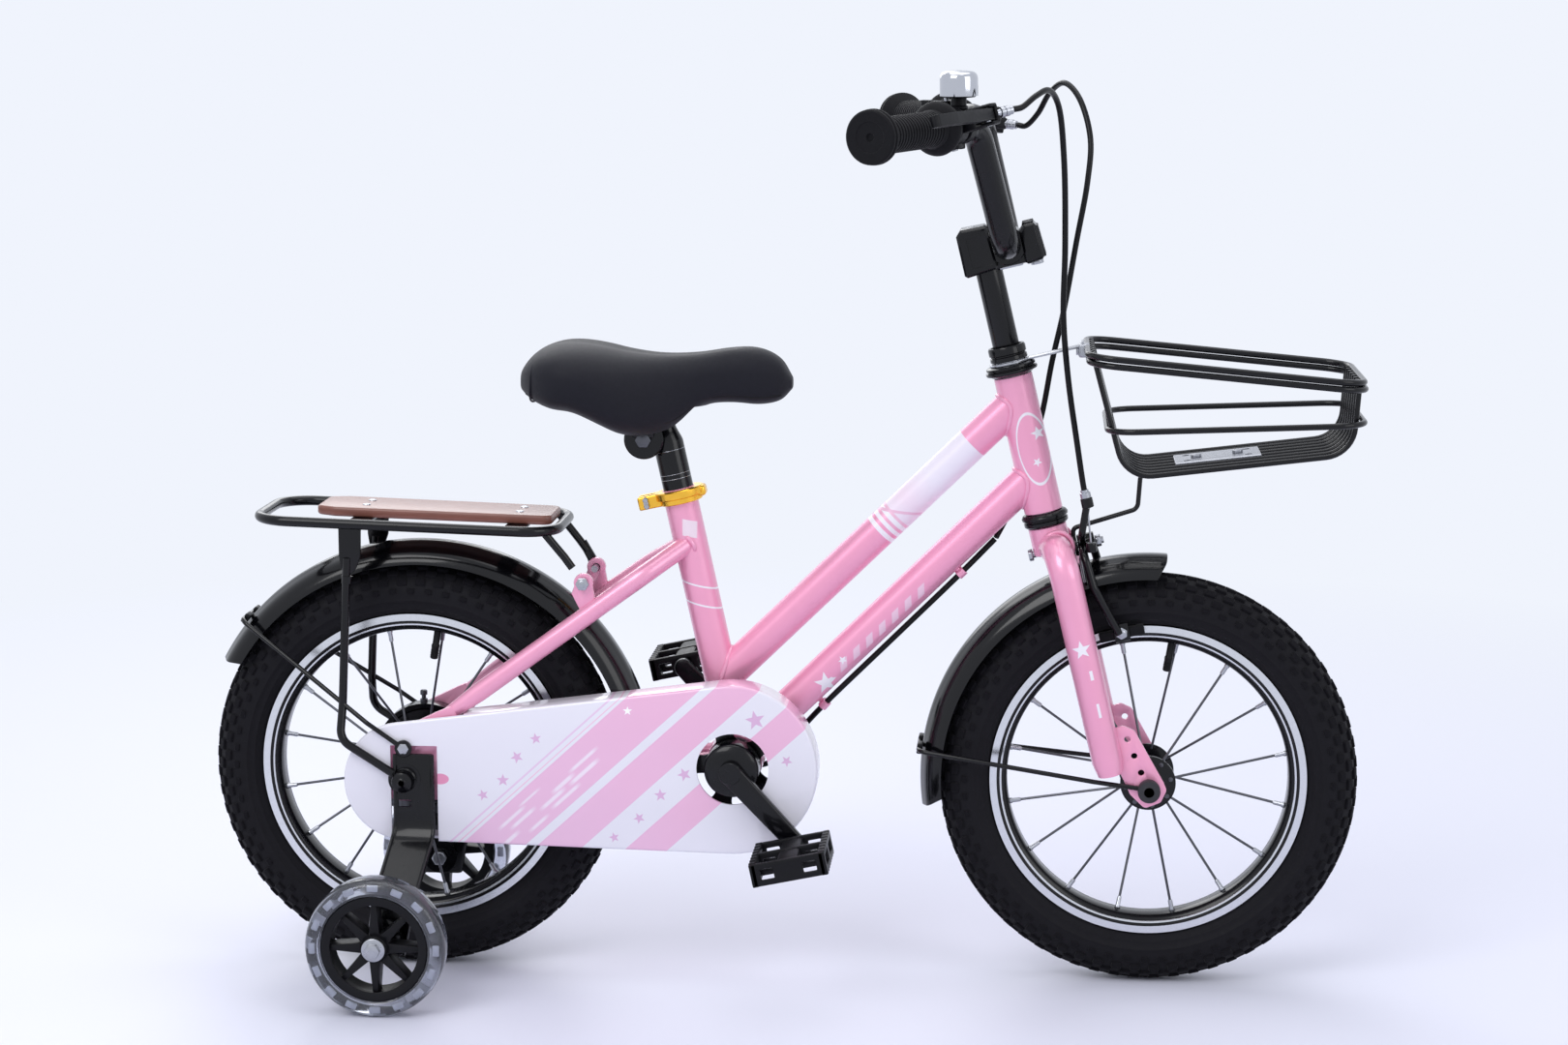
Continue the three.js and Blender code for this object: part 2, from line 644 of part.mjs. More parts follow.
const saddleCavity = {
  rear: saddleClamp.railRear - saddleClamp.endRoom, front: saddleClamp.railFront + saddleClamp.endRoom,
  half: 25,
  top: saddleClamp.railZ + saddleClamp.railRadius + runningGap,
};
function makeSaddle() {
  const sides = saddleFacets;
  const base = saddle.crownZ - saddle.height;
  const positions = [];
  const index = [];
  for (const row of saddleShares) {
    const x = saddle.rear + row.at * (saddle.front - saddle.rear);
    const top = base + row.top * saddle.height;
    const low = base + row.low * saddle.height;
    const half = row.half * saddle.halfWidth;
    for (let i = 0; i < sides; i += 1) {
      const turn = (2 * Math.PI * i) / sides;
      const c = Math.cos(turn);
      const s = Math.sin(turn);
      const y = half * Math.sign(c) * Math.abs(c) ** 0.75;
      const z = (top + low) / 2 + ((top - low) / 2) * Math.sign(s) * Math.abs(s) ** 0.75;
      positions.push(x, y, z);
    }
  }
  const last = (saddleShares.length - 1) * sides;
  for (let r = 0; r < saddleShares.length - 1; r += 1) {
    for (let i = 0; i < sides; i += 1) {
      const a = r * sides + i;
      const b = r * sides + ((i + 1) % sides);
      index.push(a, b, a + sides, b, b + sides, a + sides);
    }
  }
  for (let i = 1; i < sides - 1; i += 1) {
    index.push(0, i + 1, i, last, last + i, last + i + 1);
  }
  const geometry = new THREE.BufferGeometry();
  geometry.setAttribute('position', new THREE.BufferAttribute(new Float32Array(positions), 3));
  geometry.setIndex(index);
  const s = saddleCavity;
  const room = box(s.rear, s.front, -s.half, s.half, base - overrun, s.top);
  return surface(cut(solid(geometry), [room]));
}
add(bike, 'saddle', makeSaddle(), 'rubber');

// Wheels
const tyre = {
  wall: 4, bead: 9, bulge: 25, shoulder: 9, shoulderStep: 5, treadStep: 15, airDepth: 22, airStep: 6,
};
function tyreSection(half, inner, outer, seat) {
  const t = tyre;
  const right = [
    [inner, -seat], [inner + t.bead, -seat], [outer - t.bulge, -half],
    [outer - t.shoulder, -half + t.shoulderStep],
    [outer, -half + t.treadStep],
  ];
  const left = right.slice().reverse().map(([r, y]) => [r, -y]);
  const inside = [
    [inner, seat - t.wall], [outer - t.airDepth, half - t.airStep], [outer - t.airDepth, -half + t.airStep],
    [inner, -seat + t.wall],
  ];
  return [...right, ...left, ...inside];
}

function makeTyre() {
  const seat = rim.half - rim.wall - runningGap;
  const flat = 1 / Math.cos(Math.PI / wheelFacets);
  const pairs = tyreSection(tyreWidth / 2, rim.bed + wideGap, tyreRadius, seat);
  return ring(pairs.map(([r, y]) => [r * flat, y]), wheelFacets);
}

const valve = { turn: THREE.MathUtils.degToRad(81), length: 26, radius: 3.6, lap: 3 };
function makeRim() {
  const r = rim;
  const inner = snug(r.inner, wheelFacets);
  const hoop = ring([
    [inner, -r.base], [r.outer, -r.half], [r.outer, -r.half + r.wall], [r.bed, -r.half + r.wall],
    [r.bed, r.half - r.wall], [r.outer, r.half - r.wall], [r.outer, r.half], [inner, r.base],
  ], wheelFacets);
  const way = V(Math.cos(valve.turn), 0, Math.sin(valve.turn));
  const stemOuter = way.clone().multiplyScalar(r.inner + valve.lap);
  const stemInner = way.clone().multiplyScalar(r.inner - valve.length);
  return surface(join([hoop, rod(stemInner, stemOuter, valve.radius, smallFacets)]));
}

function spokes(flangeSide, flangeRadius) {
  const list = [];
  for (let i = 0; i < spokeCount; i += 1) {
    const turn = ((i + 0.5) * 2 * Math.PI) / spokeCount;
    const side = i % 2 ? flangeSide : -flangeSide;
    const rootRadius = flangeRadius - hub.spokeInset;
    const tip = rim.inner - runningGap;
    const from = V(rootRadius * Math.cos(turn), side, rootRadius * Math.sin(turn));
    const to = V(tip * Math.cos(turn), Math.sign(side) * hub.spokeSpread, tip * Math.sin(turn));
    list.push(rod(from, to, hub.spokeRadius, spokeFacets));
  }
  return list;
}

const frontHub = { half: 35.6, body: 11, flange: 22, step: 1, shoulder: 2 };
frontHub.bore = snug(frontAxle.radius + runningGap, boreFacets);
function makeFrontHub() {
  const h = frontHub;
  const f = hub.flangeThickness;
  const shellPart = ring([
    [h.bore, -h.half], [h.body - h.step, -h.half], [h.body, -h.flange - f / 2],
    [hub.flangeRadius, -h.flange - f / 2], [hub.flangeRadius, -h.flange + f / 2],
    [h.body, -h.flange + f / 2 + h.shoulder], [h.body, h.flange - f / 2 - h.shoulder],
    [hub.flangeRadius, h.flange - f / 2], [hub.flangeRadius, h.flange + f / 2], [h.body, h.flange + f / 2],
    [h.body - h.step, h.half], [h.bore, h.half],
  ], boreFacets);
  return surface(join([shellPart, ...spokes(h.flange, hub.flangeRadius)]));
}

const rearHub = {
  right: 46, left: 45, thread: 11.7, threadDepth: 15.5, body: 15, flange: 22.5, flangeRadius: 25, drum: 39,
  drumFrom: 31, drumWall: 4, drumFloor: 3,
};
rearHub.bore = snug(rearAxle.radius + runningGap, tubeFacets);
function makeRearHub() {
  const h = rearHub;
  const f = hub.flangeThickness;
  const shellPart = ring([
    [h.bore, -h.right], [h.thread, -h.right], [h.thread, -h.right + h.threadDepth],
    [h.body, -h.right + h.threadDepth],
    [h.body, -h.flange - f / 2], [h.flangeRadius, -h.flange - f / 2], [h.flangeRadius, -h.flange + f / 2],
    [h.body, -h.flange + f / 2], [h.body, h.flange - f / 2], [h.flangeRadius, h.flange - f / 2],
    [h.flangeRadius, h.flange + f / 2], [h.body, h.flange + f / 2], [h.body, h.drumFrom],
    [h.drum, h.drumFrom], [h.drum, h.left], [h.drum - h.drumWall, h.left],
    [h.drum - h.drumWall, h.drumFrom + h.drumFloor],
    [h.body, h.drumFrom + h.drumFloor], [h.body, h.left], [h.bore, h.left],
  ], tubeFacets);
  return surface(join([shellPart, ...spokes(h.flange, h.flangeRadius)]));
}

const wheelAt = { front: V(wheelbase, 0, tyreRadius), rear: V(0, 0, tyreRadius) };
for (const end of ['front', 'rear']) {
  const wheel = new THREE.Group();
  wheel.position.copy(wheelAt[end]);
  bike.add(wheel);
  add(wheel, `${end}_tyre`, makeTyre(), 'rubber');
  add(wheel, `${end}_rim`, makeRim(), 'steel');
  add(wheel, `${end}_hub`, end === 'front' ? makeFrontHub() : makeRearHub(), 'black');
}

// Axles with their cones and nuts
const frontOuter = frontAxle.plateInner + frontAxle.plateThickness + eyeThickness + 2 * runningGap;
function makeFrontAxle() {
  const a = frontAxle;
  const capEnd = frontOuter + a.nut;
  const profile = [
    [a.radius, 0], [a.radius, frontHub.half + runningGap], [a.cone, frontHub.half + runningGap],
    [a.cone, a.plateInner - runningGap], [a.radius, a.plateInner - runningGap], [a.radius, frontOuter],
    [a.nutRadius, frontOuter], [a.nutRadius, capEnd - a.chamfer], [a.nutRadius - a.chamfer, capEnd],
    [0, capEnd],
  ];
  const other = profile.slice(1).reverse().map(([r, y]) => [r, -y]);
  return ring([...other, ...profile], smallFacets);
}
add(bike, 'front_axle', makeFrontAxle().translate(wheelbase, 0, tyreRadius), 'steel');

const rearOuter = bracket.inner + bracket.thickness + runningGap;
function makeRearAxle() {
  const a = rearAxle;
  const plateInner = dropout.inner - runningGap;
  const end = rearOuter + a.nut;
  const right = [
    [0, -end], [a.nutRadius - a.chamfer, -end], [a.nutRadius, -end + a.chamfer], [a.nutRadius, -rearOuter],
    [a.radius, -rearOuter], [a.radius, -plateInner], [a.cone, -plateInner],
    [a.cone, -rearHub.right - runningGap],
    [a.radius, -rearHub.right - runningGap],
  ];
  const left = [
    [a.radius, rearOuter], [a.nutRadius, rearOuter], [a.nutRadius, end - a.chamfer],
    [a.nutRadius - a.chamfer, end], [0, end],
  ];
  return ring([...right, ...left], smallFacets);
}
add(bike, 'rear_axle', makeRearAxle().translate(0, 0, tyreRadius), 'steel');

// Band brake on the left of the rear hub
const brakeCover = {
  radius: 44, inner: 39.5, from: 30.5, wallFrom: 46, to: 49.7, chamfer: 2, bend: 3, pinRoot: 1,
};
const brakeArm = {
  x: 8, z: -36, reach: 40, fall: 4, radius: 7, tip: 4.9, from: 50, thickness: 3, pin: 3, pinProud: 2,
};
function makeBrakeCover() {
  const b = brakeCover;
  const axleFit = snug(rearAxle.radius + runningGap, turnedFacets);
  const innerFit = snug(b.inner, turnedFacets);
  const cupShape = ring([
    [innerFit, b.from], [b.radius - b.chamfer, b.from], [b.radius, b.from + b.bend],
    [b.radius, b.to - b.bend], [b.radius - b.bend, b.to],
    [axleFit, b.to], [axleFit, b.wallFrom], [innerFit, b.wallFrom],
  ], turnedFacets);
  const a = brakeArm;
  const pin = crossRod(a.x, a.z, b.wallFrom + b.pinRoot, a.from + a.thickness + a.pinProud, a.pin,
    smallFacets);
  return surface(join([cupShape, pin]));
}
add(bike, 'band_brake_cover', makeBrakeCover().translate(0, 0, tyreRadius), 'black');

function makeBrakeArm() {
  const a = brakeArm;
  const outline = beltOutline(a.x, a.z, a.radius, a.x + a.reach, a.z - a.fall, a.tip);
  return plate(outline, a.from, a.from + a.thickness, [{ x: a.x, z: a.z, radius: a.pin + runningGap }]);
}
add(bike, 'band_brake_arm', makeBrakeArm().translate(0, 0, tyreRadius), 'steel');

// Chain drive
const chainringRadius = (chainringTeeth * chainPitch) / (2 * Math.PI);
const sprocketRadius = (sprocketTeeth * chainPitch) / (2 * Math.PI);
function driveBelt(offset, y0, y1) {
  return plate(beltOutline(0, tyreRadius, sprocketRadius + offset, crankAxle.x, crankAxle.z,
    chainringRadius + offset, smallFacets), y0, y1);
}
function makeChain() {
  const c = chainSize;
  const outer = driveBelt(c.half, -chainLine - c.halfWidth, -chainLine + c.halfWidth);
  const inner = driveBelt(-c.half, -chainLine - c.halfWidth - overrun, -chainLine + c.halfWidth + overrun);
  const groove = driveBelt(c.grooveDepth, -chainLine - c.grooveHalf, -chainLine + c.grooveHalf);
  return surface(cut(solid(outer), [inner, groove]));
}
add(bike, 'chain', makeChain(), 'steel');

function toothedDisc(teeth, pitchRadius, boreRadius, windows) {
  const t = toothDisc;
  const outline = toothedOutline(teeth, pitchRadius + t.tip, pitchRadius - t.root);
  const holes = [{ x: 0, z: 0, radius: boreRadius }];
  for (let i = 0; i < windows.count; i += 1) {
    const turn = (i * 2 * Math.PI) / windows.count;
    holes.push({ x: windows.at * Math.cos(turn), z: windows.at * Math.sin(turn), radius: windows.radius });
  }
  return plate(outline, -chainLine - t.halfThickness, -chainLine + t.halfThickness, holes);
}
const chainringWindows = { count: 5, at: 33, radius: 12 };
const chainring = toothedDisc(chainringTeeth, chainringRadius, crank.spindle + runningGap, chainringWindows);
add(bike, 'chainring', chainring.translate(crankAxle.x, 0, crankAxle.z), 'steel');

const freewheel = { radius: 19.5, halfWidth: 5 };
function makeSprocket() {
  const disc = toothedDisc(sprocketTeeth, sprocketRadius, rearHub.thread + runningGap, { count: 0 });
  const halfWidth = freewheel.halfWidth;
  const body = crossRod(0, 0, -chainLine - halfWidth, -chainLine + halfWidth, freewheel.radius);
  const fit = crossBore(0, 0, -chainLine - halfWidth - overrun, -chainLine + halfWidth + overrun,
    rearHub.thread + runningGap, tubeFacets);
  return surface(cut(join([disc, body]), [fit]));
}
add(bike, 'rear_sprocket', makeSprocket().translate(0, 0, tyreRadius), 'steel');

function makeCrank() {
  const c = crank;
  const armOuter = c.armInner + c.armThickness;
  const spindleEnd = armOuter - c.spindleInset;
  const parts = [rod(V(0, -spindleEnd, 0), V(0, spindleEnd, 0), c.spindle)];
  for (const side of [-1, 1]) {
    const angle = side < 0 ? crankAngle : crankAngle + Math.PI;
    const endX = c.length * Math.cos(angle);
    const endZ = c.length * Math.sin(angle);
    const start = arcPoints(0, 0, c.armRoot, angle + Math.PI / 2, angle + 1.5 * Math.PI, 6);
    const end = arcPoints(endX, endZ, c.armTip, angle - Math.PI / 2, angle + Math.PI / 2, 6);
    const y0 = side < 0 ? -armOuter : c.armInner;
    parts.push(plate([...start, ...end], y0, y0 + c.armThickness));
    const axleEnd = pedal.inner + pedal.width - c.axleShort;
    parts.push(crossRod(endX, endZ, side * (c.armInner + c.axleRoot), side * axleEnd, pedal.axle,
      smallFacets));
  }
  const bossBore = c.spindle - c.bossLap;
  parts.push(ring([
    [bossBore, -c.armInner - c.bossLap], [c.boss, -c.armInner - c.bossLap],
    [c.bossFlange, -c.armInner + c.bossStep], [c.bossFlange, -chainLine - c.bossRoom],
    [bossBore, -chainLine - c.bossRoom],
  ], tubeFacets));
  return surface(join(parts));
}
add(bike, 'crank', makeCrank().translate(crankAxle.x, 0, crankAxle.z), 'black');

function pedalCentre(side) {
  const angle = side < 0 ? crankAngle : crankAngle + Math.PI;
  return V(crankAxle.x + crank.length * Math.cos(angle), 0, crankAxle.z + crank.length * Math.sin(angle));
}

function makePedal(side) {
  const p = pedal;
  const y0 = -p.inner - p.width;
  const y1 = -p.inner;
  const middle = (y0 + y1) / 2;
  const wall = p.wall;
  const body = [box(-p.length / 2, p.length / 2, y0, y1, -p.height / 2, p.height / 2)];
  const windows = [];
  const hubHalf = p.barrel;
  for (const across of [-1, 1]) {
    const x0 = across < 0 ? -p.length / 2 + wall : hubHalf;
    const x1 = across < 0 ? -hubHalf : p.length / 2 - wall;
    windows.push(box(x0, x1, y0 + wall, middle - wall / 2, -p.height, p.height));
    windows.push(box(x0, x1, middle + wall / 2, y1 - wall, -p.height, p.height));
  }
  const axleBore = crossBore(0, 0, y0 + p.cap, y1 + overrun, p.axle + runningGap);
  const shape = surface(cut(join(body), [...windows, axleBore]));
  shape.rotateY(-p.tilt);
  return onSide(side, shape);
}
for (const side of [-1, 1]) {
  const name = side < 0 ? 'pedal_right' : 'pedal_left';
  const mesh = add(bike, name, makePedal(side), 'plastic');
  mesh.position.copy(pedalCentre(side));
}

// Chain guard: a shell open towards the wheel
const guardWindow = { rear: -22, front: 34, below: 62, above: 40 };
const guardPass = { rear: -56, front: 50, bottom: 10, top: 66 };
const guardBoss = { x: 112, rise: 4, radius: 4.5, lap: 1, room: 1.2, stayDropShare: 0.45 };
const guardHole = { x: 1, z: 1 };
const stayRoom = 1.5;
function guardOutline(inset) {
  return beltOutline(guard.rearX, guard.rearZ, guard.rear - inset, crankAxle.x, crankAxle.z,
    guard.front - inset, 12);
}
function makeGuard() {
  const g = guard;
  const full = plate(guardOutline(0), -g.outer, -g.outer + g.depth);
  const hollow = plate(guardOutline(g.wall), -g.outer + g.wall, -g.outer + g.depth + overrun);
  const hole = crossRod(crankAxle.x + guardHole.x, crankAxle.z + guardHole.z, -g.outer - overrun,
    -g.outer + g.wall + overrun, g.hole, turnedFacets);
  const w = guardWindow;
  const window = box(w.rear, w.front, -g.outer - overrun, -dropout.inner, tyreRadius - w.below,
    tyreRadius + w.above);
  const stays = [seatStayRoute(-1), chainStayRoute(-1)]
    .map((route) => tube(route, stayTube.radius + stayRoom, smallFacets));
  const pass = guardPass;
  const rimPass = box(pass.rear, pass.front, -g.outer + g.wall, -g.outer + g.depth + overrun,
    tyreRadius + pass.bottom, tyreRadius + pass.top);
  const shellBody = cut(solid(full), [hollow, hole, window, rimPass, ...stays]);
  const spread = chainStayFoot.side - chainStayBend.far.side;
  const stayOuter = chainStayFoot.side - spread * (1 - guardBoss.stayDropShare) + stayTube.radius;
  const boss = crossRod(guardBoss.x, tyreRadius + guardBoss.rise, -g.outer + g.wall - guardBoss.lap,
    -stayOuter - guardBoss.room, guardBoss.radius, smallFacets);
  return surface(shellBody.add(solid(boss)));
}
add(bike, 'chain_guard', makeGuard(), 'white');

// Fenders: a crowned strip swept round the wheel, with the fixings riveted to it
function fenderSection() {
  const f = fender;
  const outer = [];
  const inner = [];
  const steps = 4;
  for (let i = 0; i <= steps; i += 1) {
    const share = (2 * i) / steps - 1;
    const rise = -f.crownRise * share ** 2;
    outer.push([share * f.half, rise]);
    inner.push([share * (f.half - f.wall), rise - f.wall]);
  }
  return new THREE.Shape([...outer, ...inner.reverse()].map(([x, y]) => new THREE.Vector2(x, y)));
}
function fenderStrip(x, z, radius, fromDegrees, toDegrees, steps) {
  const from = THREE.MathUtils.degToRad(fromDegrees);
  const to = THREE.MathUtils.degToRad(toDegrees);
  const route = arcPoints(x, z, radius, from, to, steps).map(([px, pz]) => V(px, 0, pz));
  return sweep(route, fenderSection());
}

const frontFenderSpan = { from: 86, to: 188 };
const rearFenderSpan = { from: 17, to: 152 };
const neckRadius = 16;
const brakeBolt = { z: -34, radius: 3, head: 5, headDepth: 4, nutDepth: 7 };
const fenderTab = { from: neckRadius + runningGap, thickness: 1.6, half: 8, above: 7, lap: 4 };
const strut = {
  radius: 2, eye: 9, eyeX: fenderTab.from + fenderTab.thickness + runningGap, thickness: 3,
  rise: 7.4, kneeX: 24.3, kneeZ: -14.2, climb: 17, hook: 12, hookRun: 2, floorRun: 96, bend: 7,
};
const caliper = {
  first: strut.eyeX + strut.thickness + runningGap, thickness: 7, boss: 8.5, arm: 3.5, side: 36, padX: 41,
  padInset: 2.2, rootSide: 4, elbow: 6, elbowDrop: 4, knee: 32, lean: 2, bend: 12,
};
caliper.padZ = -forkDrop + rim.outer - caliper.padInset;
caliper.second = caliper.first + caliper.thickness + runningGap;
brakeBolt.front = caliper.second + caliper.thickness + runningGap + brakeBolt.nutDepth;

function makeFrontFender() {
  const strip = fenderStrip(wheelbase, tyreRadius, fender.frontRadius, frontFenderSpan.from,
    frontFenderSpan.to, 12);
  const t = fenderTab;
  const top = brakeBolt.z + t.above;
  const low = -forkDrop + fender.frontRadius - t.lap;
  const tab = box(t.from, t.from + t.thickness, -t.half, t.half, low, top);
  const hole = bore(V(t.from - overrun, 0, brakeBolt.z), V(t.from + overrun, 0, brakeBolt.z),
    brakeBolt.radius + runningGap);
  const place = (geometry) => geometry.applyMatrix4(steering.matrix);
  return surface(cut(join([strip, place(tab)]), [place(hole)]));
}
steering.updateMatrix();
add(bike, 'front_fender', makeFrontFender(), 'black');

const fenderStub = { radius: 4, sunk: 3 };
function makeRearFender() {
  const strip = fenderStrip(rearFenderCentre.x, rearFenderCentre.z, fender.rearRadius, rearFenderSpan.from,
    rearFenderSpan.to, 16);
  const centre = V(rearFenderCentre.x, 0, rearFenderCentre.z);
  const out = V(bridge.x, 0, bridge.z).sub(centre);
  const stubTop = out.length() - bridge.radius - runningGap;
  out.normalize();
  const stub = rod(centre.clone().addScaledVector(out, fender.rearRadius - fenderStub.sunk),
    centre.clone().addScaledVector(out, stubTop), fenderStub.radius, smallFacets);
  return surface(join([strip, stub]));
}
add(bike, 'rear_fender', makeRearFender(), 'black');

const stayEye = {
  clear: 1, wall: 4, trim: 1.6, frontKnee: 10, rearKnee: 5, frontTurn: 172.6, rearTurn: 139.5,
};
// Wire stay: both ends bolt on at the sides, and its middle crosses outside the fender
function fenderStay(centre, radius, degrees, foot, eyeBore, pinHole) {
  const turn = THREE.MathUtils.degToRad(degrees);
  const reach = radius + fenderWire + runningGap;
  const crossX = centre.x + reach * Math.cos(turn);
  const crossZ = centre.z + reach * Math.sin(turn);
  const side = fender.half + fenderWire + stayEye.clear;
  const flat = eyeThickness / 2;
  const wireSide = foot.side - flat + fenderWire;
  const kneeShare = foot.knee / Math.abs(crossX - foot.x);
  const kneeZ = foot.z + (crossZ - foot.z) * kneeShare;
  const kneeX = foot.x - foot.knee;
  const corners = [
    V(foot.x, -wireSide, foot.z), V(kneeX, -wireSide, kneeZ), V(crossX, -side, crossZ),
    V(crossX, side, crossZ),
    V(kneeX, wireSide, kneeZ), V(foot.x, wireSide, foot.z),
  ];
  const wire = tube(bent(corners, fenderWire * 3, 1), fenderWire, wireFacets);
  const eyeRadius = eyeBore + stayEye.wall;
  const parts = [wire];
  const trims = [];
  for (const at of [-1, 1]) {
    const inner = at * (foot.side - flat);
    const outer = at * (foot.side + flat);
    parts.push(crossRod(foot.x, foot.z, inner, outer, eyeRadius, smallFacets));
    trims.push(crossRod(foot.x, foot.z, outer, outer + at * overrun, eyeRadius + stayEye.trim, smallFacets));
    trims.push(crossRod(foot.x, foot.z, inner - at * overrun, inner, eyeRadius + stayEye.trim, smallFacets));
  }
  const trimmed = cut(join(parts), trims);
  const ends = [-1, 1].map((at) => (pinHole
    ? crossRod(foot.x, foot.z, at * dropout.inner, at * (foot.side + flat), pinHole - runningGap, smallFacets)
    : crossBore(foot.x, foot.z, at * (foot.side - overrun), at * (foot.side + overrun), eyeBore)));
  return surface(pinHole ? trimmed.add(join(ends)) : cut(trimmed, ends));
}
const frontEyeSide = frontAxle.plateInner + frontAxle.plateThickness + runningGap + eyeThickness / 2;
const frontFoot = { x: wheelbase, z: tyreRadius, side: frontEyeSide, knee: forkRake + stayEye.frontKnee };
add(bike, 'front_fender_stay', fenderStay(V(wheelbase, 0, tyreRadius), fender.frontRadius, stayEye.frontTurn,
  frontFoot, frontAxle.radius + runningGap, 0), 'black');
const rearEyeSide = dropout.inner + dropout.thickness + runningGap + eyeThickness / 2;
const rearFoot = {
  x: 0, z: tyreRadius + dropout.eyeletRise, side: rearEyeSide, knee: stayEye.rearKnee - dropoutShape.rear,
};
add(bike, 'rear_fender_stay', fenderStay(V(rearFenderCentre.x, 0, rearFenderCentre.z), fender.rearRadius,
  stayEye.rearTurn, rearFoot, dropout.eyelet, dropout.eyelet), 'black');

// Rear rack
const rack = {
  length: 252, back: 22, rise: 39, half: 56, tilt: 4, radius: 4.3, corner: 30, rod: 3, legSide: 56.4,
};
rack.front = rackLug.x - rack.back;
rack.rear = rack.front - rack.length;
rack.z = 2 * tyreRadius + rack.rise;
const rackLeg = {
  ahead: 82, width: 19, thickness: 3, drop: 37, lean: 3, lap: 8, bendRise: 40, footX: -53, eyeRadius: 9,
  bend: 26,
};
rackLeg.x = rack.rear + rackLeg.ahead;
rackLeg.bottom = rack.z - rackLeg.drop;
const rackBar = { half: 9, thickness: 3, rearAhead: 87, frontBack: 35 };
rackBar.xs = [rack.rear + rackBar.rearAhead, rack.front - rackBar.frontBack];
const rackStrut = { half: 7, footDrop: 2, footRise: 6, headBack: 2, headFront: 16, headRise: 3 };
const rackTrim = { rear: 22, outerRear: 30, front: 16, below: 16, above: 25, depth: 12 };
function rackZ(x) {
  return rack.z + rack.tilt * (1 - (2 * (x - rack.rear)) / (rack.front - rack.rear));
}
function makeRack() {
  const r = rack;
  const loop = loopWire([
    V(r.front, -r.half, rackZ(r.front)), V(r.rear, -r.half, rackZ(r.rear)),
    V(r.rear, r.half, rackZ(r.rear)), V(r.front, r.half, rackZ(r.front)),
  ], r.corner, r.radius);
  const parts = [];
  for (const x of rackBar.xs) {
    const z = rackZ(x);
    const flat = rackBar.thickness / 2;
    parts.push(box(x - rackBar.half, x + rackBar.half, -r.half, r.half, z - flat, z + flat));
  }
  for (const side of [-1, 1]) {
    const y0 = side * r.half - rackLeg.thickness / 2;
    const y1 = side * r.half + rackLeg.thickness / 2;
    const legX = rackLeg.x;
    parts.push(box(legX - rackLeg.width / 2, legX + rackLeg.width / 2, y0, y1, rackLeg.bottom, rackZ(legX)));
    const footSide = dropout.inner + dropout.thickness + runningGap + eyeThickness / 2;
    const legRoute = bent([
      V(legX - rackLeg.lean, side * r.legSide, rackLeg.bottom + rackLeg.lap),
      V(rackLeg.footX, side * r.legSide, tyreRadius + rackLeg.bendRise), V(0, side * r.legSide, tyreRadius),
    ], rackLeg.bend, 2);
    parts.push(tube(legRoute, r.rod, cableFacets));
    parts.push(crossRod(0, tyreRadius, side * footSide - eyeThickness / 2, side * footSide + eyeThickness / 2,
      rackLeg.eyeRadius, boreFacets));
    const strutY0 = side * rackLug.side + (side < 0 ? -1 : 1) * (rackLug.halfWidth + runningGap);
    const strutY1 = strutY0 + side * rackLeg.thickness;
    const t = rackStrut;
    const headZ = rackZ(r.front) + t.headRise;
    const strutOutline = [
      [rackLug.x - t.half, rackLug.z], [rackLug.x + t.half, rackLug.z - t.footDrop],
      [rackLug.x + t.half, rackLug.z + t.footRise], [r.front - t.headBack, headZ],
      [r.front - t.headFront, headZ],
    ];
    parts.push(plate(strutOutline, Math.min(strutY0, strutY1), Math.max(strutY0, strutY1)));
    const pinFar = side * (rackLug.side - rackLug.halfWidth);
    parts.push(crossRod(rackLug.x, rackLug.z, pinFar, strutY1, rackLug.hole - runningGap, smallFacets));
  }
  const trims = [];
  for (const side of [-1, 1]) {
    const inner = side * (dropout.inner + dropout.thickness);
    trims.push(crossBore(0, tyreRadius, side * dropout.inner, side * (bracket.inner + overrun),
      rearAxle.radius + runningGap));
    const t = rackTrim;
    const clear = inner + side * runningGap;
    const away = inner - side * t.depth;
    trims.push(box(-t.rear, t.front, Math.min(clear, away), Math.max(clear, away), tyreRadius - t.below,
      tyreRadius + t.above));
    const outside = side * (bracket.inner - runningGap);
    const beyond = outside + side * t.depth;
    trims.push(box(-t.outerRear, t.front, Math.min(outside, beyond), Math.max(outside, beyond),
      tyreRadius - t.below, tyreRadius + t.above));
  }
  let body = parts.map(solid).reduce((sum, next) => sum.add(next), loop);
  body = cut(body, trims);
  return surface(body);
}
add(bike, 'rear_rack', makeRack(), 'black');

const board = { back: 11, length: 182, half: 29, thickness: 8, corner: 10 };
board.front = rack.front - board.back;
board.rear = board.front - board.length;
function makeBoard() {
  const b = board;
  const base = rackBar.thickness / 2 + runningGap;
  const slope = (rackZ(b.front) - rackZ(b.rear)) / (b.front - b.rear);
  const shape = new THREE.Shape();
  const length = b.front - b.rear;
  shape.moveTo(b.corner, -b.half);
  shape.lineTo(length - b.corner, -b.half);
  shape.absarc(length - b.corner, -b.half + b.corner, b.corner, -Math.PI / 2, 0);
  shape.absarc(length - b.corner, b.half - b.corner, b.corner, 0, Math.PI / 2);
  shape.absarc(b.corner, b.half - b.corner, b.corner, Math.PI / 2, Math.PI);
  shape.absarc(b.corner, -b.half + b.corner, b.corner, Math.PI, 1.5 * Math.PI);
  const geometry = new THREE.ExtrudeGeometry(shape,
    { depth: b.thickness, bevelEnabled: false, curveSegments: 3 });
  geometry.rotateY(-Math.atan(slope));
  return geometry.translate(b.rear, 0, rackZ(b.rear) + base);
}
add(bike, 'rack_board', makeBoard(), 'wood');

